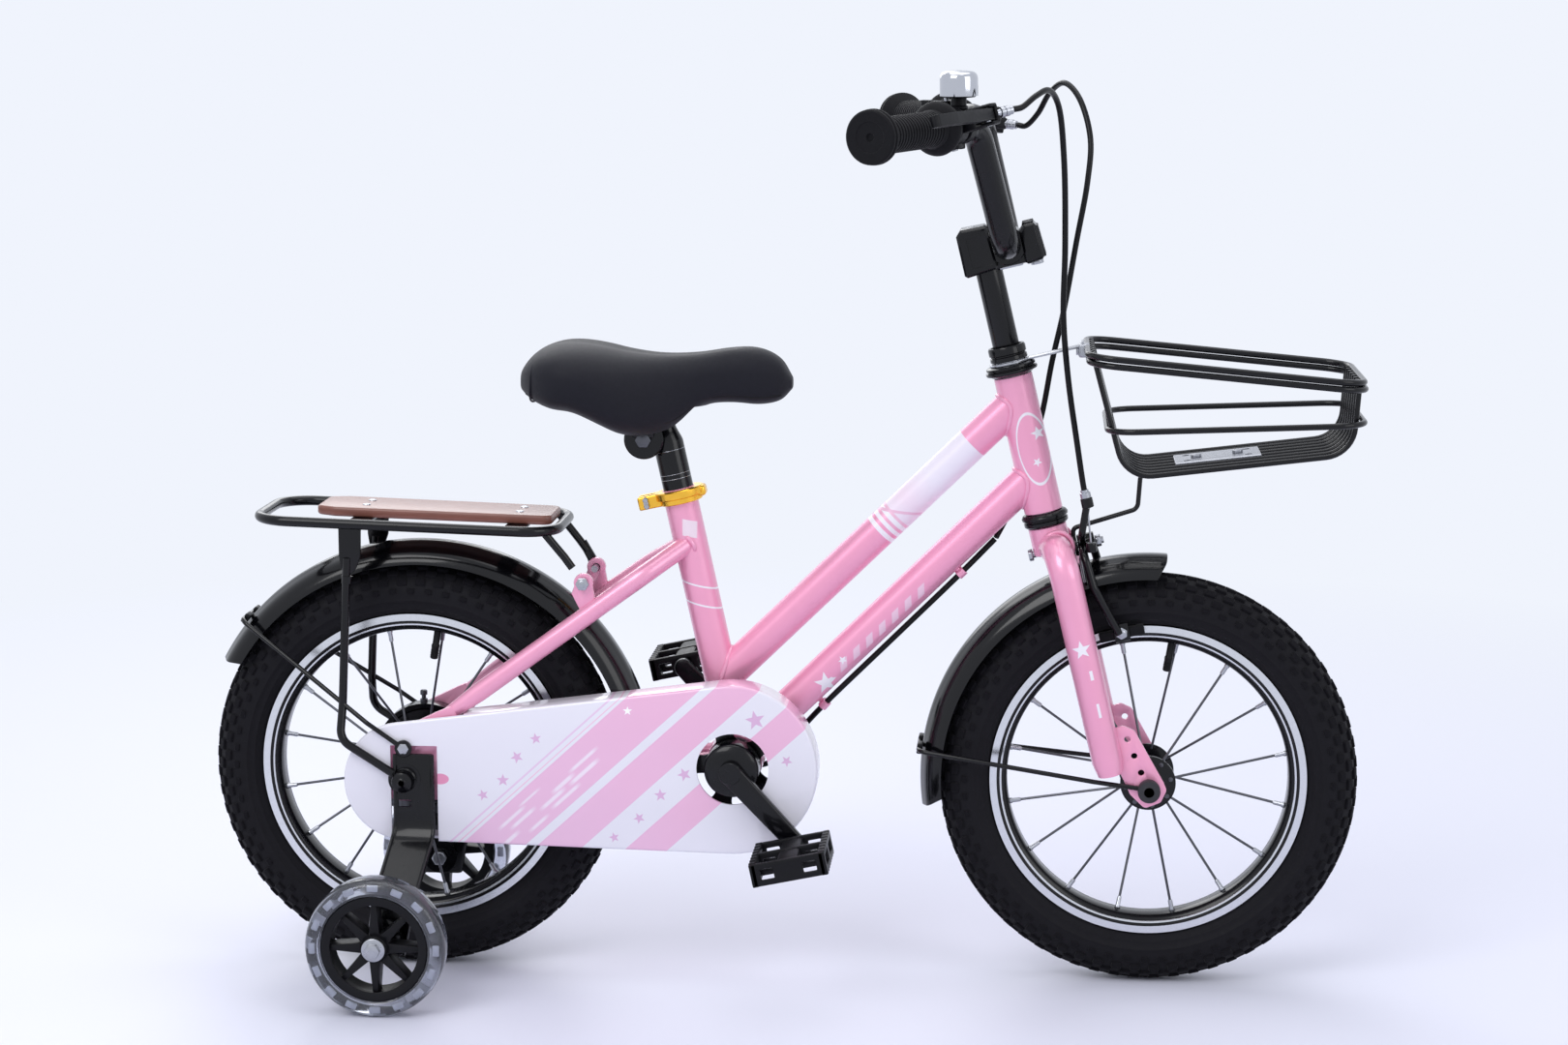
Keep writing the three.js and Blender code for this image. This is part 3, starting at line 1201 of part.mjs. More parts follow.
// Training wheels
const trainerBolt = { radius: 5, head: 9, spacer: 9, headDepth: 7, inside: 6, disc: 15, proud: 6 };
const trainerShape = {
  room: 12, foot: 16, kneeShare: 0.42, dropShare: 0.85, faceInset: 1.4, rimInner: 36, rimHalf: 11,
  bossRadius: 11,
  bossInset: 1.8, spokeRoot: 9, spokeHalf: 6, spokeWidth: 3.2, spokeLap: 2, bead: 4, beadRise: 5, tread: 4,
  treadStep: 6,
};
const trainerSpokes = 8;
function makeBracket(side) {
  const b = bracket;
  const bendTop = b.top - b.drop;
  const shape = trainerShape;
  const outerSide = trackHalf - trainer.width / 2 - shape.room;
  const inner = b.inner;
  const step = outerSide - inner - b.thickness;
  const bottom = trainer.radius - shape.foot;
  const t = b.thickness;
  const knee = t * shape.kneeShare;
  const drop = step * shape.dropShare;
  const profile = [
    [inner, b.top], [inner, bendTop + knee], [inner + step, bendTop - drop + knee], [inner + step, bottom],
    [inner + step + t, bottom], [inner + step + t, bendTop - drop - knee + t],
    [inner + t, bendTop - knee + t],
    [inner + t, b.top],
  ];
  const edge = new THREE.Shape(profile.map(([y, z]) => new THREE.Vector2(-y, z)));
  const strip = new THREE.ExtrudeGeometry(edge, { depth: 2 * b.half, bevelEnabled: false });
  strip.rotateX(Math.PI / 2).rotateZ(Math.PI / 2).translate(b.centreX - b.half, 0, 0);
  const boltX = trainer.hubX;
  const y = outerSide;
  const wheelInner = trackHalf - trainer.width / 2 + shape.faceInset;
  const wheelOuter = trackHalf + trainer.width / 2 - shape.faceInset;
  const bolt = trainerBolt;
  const inside = y - t - bolt.inside;
  const parts = [
    strip,
    crossRod(boltX, trainer.radius, -y, -(y - t), bolt.disc, boreFacets),
    crossRod(boltX, trainer.radius, -wheelInner, -(y - t / 2), bolt.spacer, smallFacets),
    crossRod(boltX, trainer.radius, -wheelOuter - bolt.proud, -inside, bolt.radius, smallFacets),
    crossRod(boltX, trainer.radius, -wheelOuter - bolt.headDepth, -wheelOuter - runningGap, bolt.head,
      hexSides),
    crossRod(boltX, trainer.radius, -(y - t / 2), -inside, bolt.head, hexSides),
  ];
  const slotHalf = rearAxle.radius + runningGap;
  const cuts = [
    crossBore(0, tyreRadius, -b.inner - t - overrun, -b.inner + overrun, slotHalf),
  ];
  return onSide(side, surface(cut(join(parts), cuts)));
}

function makeTrainerTyre() {
  const t = trainer;
  const flat = 1 / Math.cos(Math.PI / trainerFacets);
  const half = t.width / 2;
  const m = trainerShape;
  return ring([
    [t.rimRadius, -half + m.bead], [t.rimRadius + m.beadRise, -half], [t.radius - m.tread, -half],
    [t.radius, -half + m.treadStep], [t.radius, half - m.treadStep], [t.radius - m.tread, half],
    [t.rimRadius + m.beadRise, half], [t.rimRadius, half - m.bead],
  ].map(([r, y]) => [r * flat, y]), trainerFacets);
}

function makeTrainerHub() {
  const t = trainer;
  const m = trainerShape;
  const outer = snug(t.rimRadius, trainerFacets) - runningGap;
  const half = m.rimHalf;
  const bossHalf = t.width / 2 - m.bossInset;
  const parts = [
    ring([[m.rimInner, -half], [outer, -half], [outer, half], [m.rimInner, half]], trainerFacets),
    crossRod(0, 0, -bossHalf, bossHalf, m.bossRadius),
  ];
  for (let i = 0; i < trainerSpokes; i += 1) {
    const turn = (i * 2 * Math.PI) / trainerSpokes;
    const spoke = box(m.spokeRoot, m.rimInner + m.spokeLap, -m.spokeHalf, m.spokeHalf, -m.spokeWidth,
      m.spokeWidth);
    parts.push(spoke.rotateY(-turn));
  }
  const axleBore = crossBore(0, 0, -t.width, t.width, trainerBolt.radius + runningGap);
  return surface(cut(join(parts), [axleBore]));
}

for (const side of [-1, 1]) {
  const word = side < 0 ? 'right' : 'left';
  add(bike, `training_bracket_${word}`, makeBracket(side), 'black');
  const wheel = new THREE.Group();
  wheel.position.set(trainer.hubX, side * trackHalf, trainer.radius);
  bike.add(wheel);
  add(wheel, `training_tyre_${word}`, makeTrainerTyre(), 'clear');
  add(wheel, `training_hub_${word}`, makeTrainerHub(), 'plastic');
}

// Fork, in the steering column's axes
const forkPlate = {
  rootX: 6, rootRise: 54.8, footRise: 22.8, headX: 26, headRise: 56.8, shoulderX: 34, shoulderRise: 50.8,
  noseX: 48, noseRise: 2.8, chinX: 49, chinDrop: 4.2, lipX: 42, lipDrop: 13.2, heelX: 28, heelDrop: 15.2,
  backX: 19, backDrop: 1.2, kneeX: 14,
};
const plateHoles = { x: 26.8, rise: 44.8, stepX: 2.5, stepZ: 15, count: 3, radius: 2.6 };
function forkPlateOutline() {
  const p = forkPlate;
  return [
    [p.rootX, p.rootRise], [p.headX, p.headRise], [p.shoulderX, p.shoulderRise], [p.noseX, p.noseRise],
    [p.chinX, -p.chinDrop], [p.lipX, -p.lipDrop], [p.heelX, -p.heelDrop], [p.backX, -p.backDrop],
    [p.kneeX, p.footRise], [p.rootX, p.footRise],
  ].map(([x, rise]) => [x, rise - forkDrop]);
}
function forkPlateHoles() {
  const h = plateHoles;
  return Array.from({ length: h.count }, (_, i) => ({
    x: h.x + i * h.stepX, z: h.rise - forkDrop - i * h.stepZ, radius: h.radius,
  }));
}
function makeFork() {
  const b = blade;
  const parts = [
    rod(V(0, 0, -crown.drop), V(0, 0, steerer.above), steerer.radius, turnedFacets),
    rod(V(0, 0, -crown.neckFoot), V(0, 0, -cup.flange - 2 * runningGap), neckRadius, turnedFacets),
  ];
  for (const side of [-1, 1]) {
    parts.push(tube(bent([
      V(0, -side * b.crownSide, -crown.drop), V(b.offset, side * b.side, -crown.drop),
      V(b.offset, side * b.side, -b.length),
    ], crown.bend, 3), b.radius, tubeFacets));
    const y0 = side < 0 ? -frontAxle.plateInner - frontAxle.plateThickness : frontAxle.plateInner;
    parts.push(plate(forkPlateOutline(), y0, y0 + frontAxle.plateThickness, forkPlateHoles()));
  }
  const slotHalf = frontAxle.radius + runningGap;
  const cuts = [
    bore(V(0, 0, -steerer.plug), V(0, 0, steerer.above + overrun), steerer.bore, turnedFacets),
    bore(V(-neckRadius - overrun, 0, brakeBolt.z), V(neckRadius + overrun, 0, brakeBolt.z),
      brakeBolt.radius + runningGap),
  ];
  for (const side of [-1, 1]) {
    cuts.push(rod(V(b.offset, side * b.side, -crown.blindBelow),
      V(b.offset, side * b.side, -b.length - overrun),
      b.bore, boreFacets));
    const plateNear = frontAxle.plateInner - runningGap;
    const plateFar = frontAxle.plateInner + frontAxle.plateThickness + runningGap;
    const y0 = side < 0 ? -plateFar : plateNear;
    const y1 = side < 0 ? -plateNear : plateFar;
    cuts.push(crossBore(forkRake, -forkDrop, y0, y1, slotHalf));
    cuts.push(box(forkRake - slotHalf, forkRake + slotHalf, y0, y1,
      -forkDrop - forkPlate.heelDrop - overrun, -forkDrop));
  }
  return surface(cut(join(parts), cuts));
}
add(steering, 'fork', makeFork(), 'pink');

// Stem: quill, rear block, bar clamp and front block
const stem = {
  rearX: -19.6, rearFront: 3, noseX: 5, frontX: 48, above: 21, frontAbove: 13, below: 19, half: 19,
  bridge: 17,
  clamp: 4.5, lean: 2, shoulder: 12, crest: 7, jaw: 1, quillLap: 10, bridgeBack: 14,
};
stem.top = stemBar.z + stem.above;
stem.frontTop = stemBar.z + stem.frontAbove;
stem.base = stemBar.z - stem.below;
function makeStem() {
  const s = stem;
  const rearBlock = [
    [s.rearX, s.base], [s.rearFront, s.base - s.jaw], [s.noseX, s.top - s.shoulder],
    [s.rearFront, s.top - s.lean],
    [s.rearX + s.crest, s.top], [s.rearX + s.jaw, s.top - s.shoulder],
  ];
  const jawX = stemBar.x + bar.radius;
  const frontBlock = [
    [jawX - s.lean, s.base], [s.frontX, s.base + s.lean], [s.frontX - s.lean, s.frontTop],
    [jawX - s.jaw, s.frontTop + s.jaw],
  ];
  const parts = [
    rod(V(0, 0, quill.foot), V(0, 0, s.base + s.quillLap), quill.radius, turnedFacets),
    plate(rearBlock, -s.half, s.half),
    plate(frontBlock, -s.half, s.half),
    crossRod(stemBar.x, stemBar.z, -s.bridge, s.bridge, bar.radius + s.clamp),
    box(0, s.frontX - s.bridgeBack, -s.bridge, s.bridge, s.base + s.lean, stemBar.z),
  ];
  const cuts = [
    crossBore(stemBar.x, stemBar.z, -s.half - overrun, s.half + overrun, bar.radius + runningGap, tubeFacets),
    rod(V(0, 0, quill.foot - overrun), V(0, 0, s.base - s.quillLap), quill.radius - quill.wall, boreFacets),
  ];
  return surface(cut(join(parts), cuts));
}
add(steering, 'stem', makeStem(), 'black');

// Handlebar: straight at the clamp, up the risers, then back to the grips
const gripTurn = { x: 18, y: 84, rise: 104 };
gripTurn.z = stemBar.z + gripTurn.rise;
const gripEnd = { x: -53, y: 236, rise: 116 };
gripEnd.z = stemBar.z + gripEnd.rise;
const riserFoot = { x: 19.5, y: bar.clampHalf };
const barBend = 28;
function barRoute() {
  const right = [
    V(gripEnd.x, -gripEnd.y, gripEnd.z), V(gripTurn.x, -gripTurn.y, gripTurn.z),
    V(riserFoot.x, -riserFoot.y, stemBar.z),
  ];
  const left = right.slice().reverse().map((p) => V(p.x, -p.y, p.z));
  return bent([...right, ...left], barBend, 3);
}
function makeBar() {
  const route = barRoute();
  const short = route.map((p) => p.clone());
  const outward = short[0].clone().sub(short[1]).normalize();
  const lapEnd = (p, sign) => p.addScaledVector(V(outward.x, sign * outward.y, outward.z), overrun);
  const inside = short.map((p) => p.clone());
  lapEnd(inside[0], 1);
  lapEnd(inside[inside.length - 1], -1);
  const outerBar = solid(tube(route, bar.radius, tubeFacets));
  return surface(outerBar.subtract(solid(tube(inside, bar.bore, cableFacets))));
}
add(steering, 'handlebar', makeBar(), 'black');

// Axes at the right-hand end of the bar: x forward, y inward along the bar, z up
const gripOrigin = V(gripTurn.x, -gripTurn.y, gripTurn.z);
const gripAxis = V(gripEnd.x, -gripEnd.y, gripEnd.z).sub(gripOrigin).normalize();
const gripLength = V(gripEnd.x, -gripEnd.y, gripEnd.z).distanceTo(gripOrigin);
function gripMatrix(roll) {
  const inward = gripAxis.clone().negate();
  const worldUp = V(Math.sin(headTilt), 0, Math.cos(headTilt));
  const up = worldUp.addScaledVector(inward, -worldUp.dot(inward)).normalize();
  const forward = inward.clone().cross(up);
  const frame = new THREE.Matrix4().makeBasis(forward, inward, up).setPosition(gripOrigin);
  return frame.multiply(new THREE.Matrix4().makeRotationY(-roll));
}
function onBar(side, geometry, roll) {
  return onSide(side, geometry.applyMatrix4(gripMatrix(roll)));
}

const grip = {
  start: 54, ball: 66, ballRadius: 21, sleeve: 14, flange: 21, end: 6, mouth: 1, throat: 3, neck: 2,
  ballTop: 4,
  ballShoulder: 8, ballBack: 11, ballEnd: 16, flangeFrom: 14, flangeRise: 9, flangeEdge: 2, flangeRound: 3,
  endRoom: 1.2,
};
function makeGrip() {
  const g = grip;
  const fit = snug(bar.radius + runningGap, tubeFacets);
  const tip = gripLength + g.end;
  return ring([
    [fit, -g.start], [g.sleeve + g.mouth, -g.start], [g.sleeve + g.throat, -g.ball + g.ballShoulder],
    [g.ballRadius, -g.ball + g.ballTop], [g.ballRadius, -g.ball - g.ballTop],
    [g.sleeve + g.neck, -g.ball - g.ballBack],
    [g.sleeve, -g.ball - g.ballEnd], [g.sleeve, -tip + g.flangeFrom], [g.flange, -tip + g.flangeRise],
    [g.flange, -tip + g.flangeEdge], [g.flange - g.flangeRound, -tip], [0, -tip],
    [0, -gripLength - g.endRoom],
    [fit, -gripLength - g.endRoom],
  ], tubeFacets);
}

const leverRoll = { right: THREE.MathUtils.degToRad(16), left: THREE.MathUtils.degToRad(-9) };
const lever = {
  pivotX: 35, pivotY: -47, half: 4.5, tipY: -142, tipX: 37, eye: 6.5, pin: 2.5, edge: 1, root: 8, waist: 30,
  waistFront: 34, bladeBack: 4, bladeFront: 6, tipLong: 6, tipShort: 4, noseRise: 4.4, waistBack: 3,
};
const mount = {
  from: -52, to: -39, outer: 15.5, half: 8.5, barrelX: 39, barrelY: -42, barrelRadius: 4.2, barrelLength: 16,
  ringLap: 3, armFront: 7, noseBack: 6, noseFront: 3, noseLap: 3, noseOut: 4, slotBack: 2,
};
const barrelWay = V(0.6, 0.8, 0);
function makeLeverMount() {
  const m = mount;
  const l = lever;
  const fit = snug(bar.radius + runningGap, tubeFacets);
  const clampRing = ring([[fit, m.from], [m.outer, m.from], [m.outer, m.to], [fit, m.to]], tubeFacets);
  const arm = box(m.outer - m.ringLap, l.pivotX + m.armFront, m.from, m.to, -m.half, m.half);
  const nose = box(l.pivotX - m.noseBack, m.barrelX + m.noseFront, m.to - m.noseLap, m.to + m.noseOut,
    -m.barrelRadius, m.barrelRadius);
  const barrelRoot = V(m.barrelX, m.barrelY, 0);
  const barrelTip = barrelRoot.clone().addScaledVector(barrelWay, m.barrelLength);
  const barrel = rod(barrelRoot, barrelTip, m.barrelRadius, smallFacets);
  const slot = box(l.pivotX - l.eye - m.slotBack, l.pivotX + m.armFront + overrun, m.from - overrun,
    m.to - m.noseLap,
    -l.half - wideGap, l.half + wideGap);
  const pin = rod(V(l.pivotX, l.pivotY, -m.half), V(l.pivotX, l.pivotY, m.half), l.pin, smallFacets);
  return surface(cut(join([clampRing, arm, nose, barrel]), [slot]).add(solid(pin)));
}
function makeLever() {
  const l = lever;
  const outline = [
    [l.pivotX - l.eye + l.edge, l.pivotY + l.edge], [l.pivotX - l.eye + l.edge, l.pivotY - l.root],
    [l.tipX - l.waistBack, l.pivotY - l.waist], [l.tipX - l.bladeBack, l.tipY + l.tipLong], [l.tipX, l.tipY],
    [l.tipX + l.tipShort, l.tipY + l.tipShort], [l.tipX + l.bladeFront, l.pivotY - l.waistFront],
    [l.pivotX + l.eye, l.pivotY - l.root], [l.pivotX + l.eye - l.edge, l.pivotY + 2 * l.edge],
    [l.pivotX, l.pivotY + l.noseRise],
  ];
  const shape = new THREE.Shape(outline.map(([x, y]) => new THREE.Vector2(x, y)));
  const hole = new THREE.Path();
  hole.absarc(l.pivotX, l.pivotY, snug(l.pin + runningGap, 2 * holeCurve), 0, Math.PI * 2, true);
  shape.holes.push(hole);
  const geometry = new THREE.ExtrudeGeometry(shape,
    { depth: 2 * l.half, bevelEnabled: false, curveSegments: holeCurve });
  return geometry.translate(0, 0, -l.half);
}
for (const side of [-1, 1]) {
  const word = side < 0 ? 'right' : 'left';
  add(steering, `grip_${word}`, onBar(side, makeGrip(), 0), 'rubber');
  add(steering, `lever_mount_${word}`, onBar(side, makeLeverMount(), leverRoll[word]), 'plastic');
  add(steering, `brake_lever_${word}`, onBar(side, makeLever(), leverRoll[word]), 'plastic');
}

// Bell on the right of the bar
const bell = {
  at: -28, half: 4.5, outer: 14.5, stemRadius: 6, base: 23, domeRadius: 15, top: 43, lap: 1, shoulder: 5,
  round: 2,
  crown: 6, crownDrop: 0.4, pinRoot: 7,
};
const thumb = { z0: 15, z1: 21.5, reach: 30, pinX: -11, pinRadius: 2, width: 7.6, tip: 3.2 };
function makeBell() {
  const b = bell;
  const fit = snug(bar.radius + runningGap, tubeFacets);
  const clampRing = ring([[fit, b.at - b.half], [b.outer, b.at - b.half], [b.outer, b.at + b.half],
    [fit, b.at + b.half]], tubeFacets);
  const dome = turned([
    [0, b.outer - b.lap], [b.stemRadius, b.outer - b.lap], [b.stemRadius, b.base], [b.domeRadius, b.base],
    [b.domeRadius, b.top - b.shoulder], [b.domeRadius - b.round, b.top - b.round],
    [b.domeRadius - b.crown, b.top - b.crownDrop], [0, b.top],
  ]);
  dome.translate(0, b.at, 0);
  const pin = rod(V(thumb.pinX, b.at, b.outer - b.pinRoot), V(thumb.pinX, b.at, b.base + b.lap),
    thumb.pinRadius,
    smallFacets);
  return surface(join([clampRing, dome, pin]));
}
function makeThumb() {
  const t = thumb;
  const outline = beltOutline(-t.reach, bell.at, t.tip, t.pinX, bell.at, t.width / 2, 6);
  const shape = new THREE.Shape(outline.map(([x, y]) => new THREE.Vector2(x, y)));
  const hole = new THREE.Path();
  hole.absarc(t.pinX, bell.at, snug(t.pinRadius + runningGap, 2 * holeCurve), 0, Math.PI * 2, true);
  shape.holes.push(hole);
  const depth = t.z1 - t.z0;
  const geometry = new THREE.ExtrudeGeometry(shape, { depth, bevelEnabled: false, curveSegments: holeCurve });
  return geometry.translate(0, 0, t.z0);
}
add(steering, 'bell', onBar(-1, makeBell(), 0), 'steel');
add(steering, 'bell_thumb', onBar(-1, makeThumb(), 0), 'plastic');

// Side-pull caliper on the fork crown's bolt
function makeBrakeBolt() {
  const b = brakeBolt;
  const back = -neckRadius - runningGap;
  return surface(join([
    rod(V(back - b.headDepth, 0, b.z), V(b.front, 0, b.z), b.radius, smallFacets),
    rod(V(back - b.headDepth, 0, b.z), V(back, 0, b.z), b.head, hexSides),
    rod(V(b.front - b.nutDepth, 0, b.z), V(b.front, 0, b.z), b.head, hexSides),
  ]));
}
add(steering, 'brake_bolt', makeBrakeBolt(), 'steel');

function caliperBoss(x) {
  return rod(V(x, 0, brakeBolt.z), V(x + caliper.thickness, 0, brakeBolt.z), caliper.boss, smallFacets);
}
function caliperBore(x) {
  const reach = caliper.thickness + overrun;
  return bore(V(x - overrun, 0, brakeBolt.z), V(x + reach, 0, brakeBolt.z), brakeBolt.radius + runningGap);
}
const pad = { half: 19, height: 10, face: 17.6, back: 26.5 };
const cableArm = {
  radius: 3, root: 12, elbow: 26, rise: 12, bend: 8, stop: 5, stopHalf: 4, side: 27, ahead: 15.5, above: 37,
};
const cableStop = V(caliper.first + cableArm.ahead, -cableArm.side, brakeBolt.z + cableArm.above);
function caliperLeg(side, x) {
  const c = caliper;
  const mid = x + c.thickness / 2;
  return tube(bent([
    V(mid, side * c.rootSide, brakeBolt.z), V(mid, side * (c.side - c.elbow), brakeBolt.z - c.elbowDrop),
    V(mid + c.lean, side * c.side, brakeBolt.z - c.knee),
    V(c.padX - c.lean, side * (pad.back + runningGap + c.arm), c.padZ),
  ], c.bend), c.arm, cableFacets);
}
function makeCaliperRight() {
  const c = caliper;
  const mid = c.first + c.thickness / 2;
  const a = cableArm;
  const { x, y, z } = cableStop;
  const hook = tube(bent([V(mid, -a.root, brakeBolt.z), V(mid + c.lean, -a.elbow, brakeBolt.z + a.rise),
    V(x, y, z)],
    a.bend), a.radius, wireFacets);
  const stop = rod(V(x, y, z - a.stopHalf), V(x, y, z + a.stopHalf), a.stop, smallFacets);
  return surface(cut(join([caliperBoss(c.first), caliperLeg(-1, c.first), hook, stop]),
    [caliperBore(c.first)]));
}
function makeCaliperLeft() {
  const c = caliper;
  const mid = c.second + c.thickness / 2;
  const across = rod(V(mid, c.rootSide, brakeBolt.z), V(mid, cableStop.y, brakeBolt.z), cableArm.radius,
    cableFacets);
  return surface(cut(join([caliperBoss(c.second), caliperLeg(1, c.second), across]),
    [caliperBore(c.second)]));
}
add(steering, 'caliper_arm_right', makeCaliperRight(), 'black');
add(steering, 'caliper_arm_left', makeCaliperLeft(), 'black');

for (const side of [-1, 1]) {
  const word = side < 0 ? 'right' : 'left';
  const y0 = Math.min(side * pad.face, side * pad.back);
  const y1 = Math.max(side * pad.face, side * pad.back);
  const block = box(-pad.half, pad.half, y0, y1, -pad.height / 2, pad.height / 2);
  const mesh = add(steering, `brake_pad_${word}`, block, 'rubber');
  mesh.position.set(caliper.padX, 0, caliper.padZ);
}

// Basket: a row of bent wires with rims round them
// The headset strap's end carries the basket's rear rim
const strap = { reach: 61.3, half: 7, z: upperCupTop + runningGap, lap: 3, drop: 8, lip: 4 };
const strapEnd = fromColumn(strap.reach, 0, strap.z + strapRing.thickness / 2);
const basketRail = { rise: 36, lean: 8, corner: 24, weld: 3.6, pitch: 8, wireShare: 0.9, postLap: 1 };
const basket = { wire: 2.2, rows: 8, rowHalf: 62, half: 76, length: 213, rimFall: 23 };
basket.rear = strapEnd.x + strapRing.thickness / 2 + runningGap + basket.wire + basketRail.weld;
basket.front = basket.rear + basket.length;
basket.rimRear = strapEnd.z;
basket.rimFront = basket.rimRear - basket.rimFall;
const basketFloor = { back: 28, drop: 98, frontBack: 4, climb: 22, bend: 26 };
basketFloor.rearX = basket.rear + basketFloor.back;
basketFloor.rearZ = basket.rimRear - basketFloor.drop;
basketFloor.frontX = basket.front - basketFloor.frontBack;
basketFloor.frontZ = basketFloor.rearZ + basketFloor.climb;
basketRail.rearZ = basketFloor.rearZ + basketRail.rise;
basketRail.frontZ = basketRail.rearZ + basketRail.lean;
function roundedRectangle(x0, x1, half, corner) {
  const arc = (x, y, from) => arcPoints(x, y, corner, from, from + Math.PI / 2, 2);
  return [
    ...arc(x1 - corner, half - corner, 0), ...arc(x0 + corner, half - corner, Math.PI / 2),
    ...arc(x0 + corner, -half + corner, Math.PI), ...arc(x1 - corner, -half + corner, 1.5 * Math.PI),
  ];
}
function basketLoop(rearX, frontX, rearZ, frontZ) {
  const b = basket;
  const w = b.wire * basketRail.wireShare;
  const slope = Math.atan2(frontZ - rearZ, frontX - rearX);
  const length = Math.hypot(frontZ - rearZ, frontX - rearX);
  const toPoints = (list) => list.map(([x, y]) => new THREE.Vector2(x, y));
  const shape = new THREE.Shape(toPoints(roundedRectangle(-w, length + w, b.half + w,
    basketRail.corner + w)));
  shape.holes.push(new THREE.Path(toPoints(roundedRectangle(w, length - w, b.half - w,
    basketRail.corner - w))));
  const loop = new THREE.ExtrudeGeometry(shape, { depth: 2 * w, bevelEnabled: false });
  return solid(loop.translate(0, 0, -w).rotateY(-slope).translate(rearX, 0, rearZ));
}
const seatPlate = { back: 42, length: 70, half: 24, thickness: 2.4, sunk: 0.8 };
function makeBasket() {
  const b = basket;
  const f = basketFloor;
  const lap = basketRail.weld;
  const beside = 2 * b.wire + runningGap;
  const rearWallX = (z) => b.rear + ((b.rimRear - z) * (f.rearX - b.rear)) / (b.rimRear - f.rearZ);
  let body = basketLoop(b.rear - lap, b.front + lap, b.rimRear, b.rimFront);
  body = body.add(basketLoop(rearWallX(b.rimRear - basketRail.pitch) - beside, b.front + beside,
    b.rimRear - basketRail.pitch, b.rimFront - basketRail.pitch));
  body = body.add(basketLoop(rearWallX(basketRail.rearZ) - beside, b.front + beside, basketRail.rearZ,
    basketRail.frontZ));
  for (let i = 0; i < b.rows; i += 1) {
    const y = -b.rowHalf + (2 * b.rowHalf * i) / (b.rows - 1);
    const route = bent([
      V(b.rear, y, b.rimRear + b.wire), V(f.rearX, y, f.rearZ), V(f.frontX, y, f.frontZ),
      V(b.front, y, b.rimFront + b.wire),
    ], f.bend, 1);
    body = body.add(solid(tube(route, b.wire, wireFacets)));
  }
  for (const end of [0, 1]) {
    for (const side of [-1, 1]) {
      const x = end ? b.front + lap - basketRail.corner : b.rear - lap + basketRail.corner;
      const share = (x - b.rear) / (b.front - b.rear);
      const top = b.rimRear + share * (b.rimFront - b.rimRear);
      const low = basketRail.rearZ + share * (basketRail.frontZ - basketRail.rearZ);
      const post = rod(V(x, side * b.half, low - basketRail.postLap),
        V(x, side * b.half, top + basketRail.postLap),
        b.wire, wireFacets);
      body = body.add(solid(post));
    }
  }
  const s = seatPlate;
  const slope = Math.atan2(f.frontZ - f.rearZ, f.frontX - f.rearX);
  const flat = box(s.back, s.back + s.length, -s.half, s.half, b.wire - s.sunk,
    b.wire - s.sunk + s.thickness);
  flat.rotateY(-slope).translate(f.rearX, 0, f.rearZ);
  return surface(body.add(solid(flat)));
}
add(bike, 'basket', makeBasket(), 'black');

// Strap from the headset to the basket's rear rim, and the wire strut from the brake bolt to its floor
function makeStrap() {
  const s = strap;
  const place = (geometry) => geometry.applyMatrix4(steering.matrix);
  const ringPart = sleeve(strapRing.radius, steererFit, s.z, s.z + strapRing.thickness, turnedFacets);
  const flat = strapRing.thickness / 2;
  const tab = box(strapEnd.x - flat, strapEnd.x + flat, -s.half, s.half, strapEnd.z - s.drop,
    strapEnd.z + s.lip);
  const strip = box(strapRing.radius - s.lap, s.reach, -s.half, s.half, s.z, s.z + strapRing.thickness);
  return surface(join([place(ringPart), place(strip), tab]));
}
add(bike, 'basket_strap', makeStrap(), 'steel');

function makeStrut() {
  const s = strut;
  const start = fromColumn(s.eyeX + s.thickness - s.radius, 0, brakeBolt.z + s.rise);
  const under = basketFloor;
  const slope = (under.frontZ - under.rearZ) / (under.frontX - under.rearX);
  const below = basket.wire + s.radius + runningGap;
  const at = (x) => V(x, 0, under.rearZ + slope * (x - under.rearX) - below);
  const knee = V(head.x + s.kneeX, 0, head.z + s.kneeZ);
  const hook = V(under.rearX + s.hook, 0, knee.z + s.climb);
  const route = bent([start, knee, hook, at(hook.x + s.hookRun), at(under.rearX + s.floorRun)], s.bend);
  const place = (geometry) => geometry.applyMatrix4(steering.matrix);
  const eye = place(rod(V(s.eyeX, 0, brakeBolt.z), V(s.eyeX + s.thickness, 0, brakeBolt.z), s.eye,
    smallFacets));
  const hole = place(bore(V(s.eyeX - overrun, 0, brakeBolt.z),
    V(s.eyeX + s.thickness + overrun, 0, brakeBolt.z),
    brakeBolt.radius + runningGap));
  return surface(cut(join([tube(route, s.radius, cableFacets), eye]), [hole]));
}
add(bike, 'basket_strut', makeStrut(), 'black');

// Brake cables along their real routes
const cableRadius = 2.5;
function cableTube(points, steps) {
  const curve = new THREE.CatmullRomCurve3(points.map(([x, y, z]) => V(x, y, z)), false, 'centripetal');
  return tube(curve.getSpacedPoints(steps), cableRadius, cableFacets);
}
const frontCable = [
  [501, -130.3, 732.3], [507.2, -126.9, 733.6], [518, -115, 742], [528, -96, 746], [536, -72, 733],
  [541, -50, 690],
  [543, -36, 620], [542.5, -29, 562], [547, -28, 512], [555, -27, 459], [561.1, -27, 421.7],
  [563, -27, 413.9],
];
add(bike, 'front_brake_cable', cableTube(frontCable, 22), 'rubber');

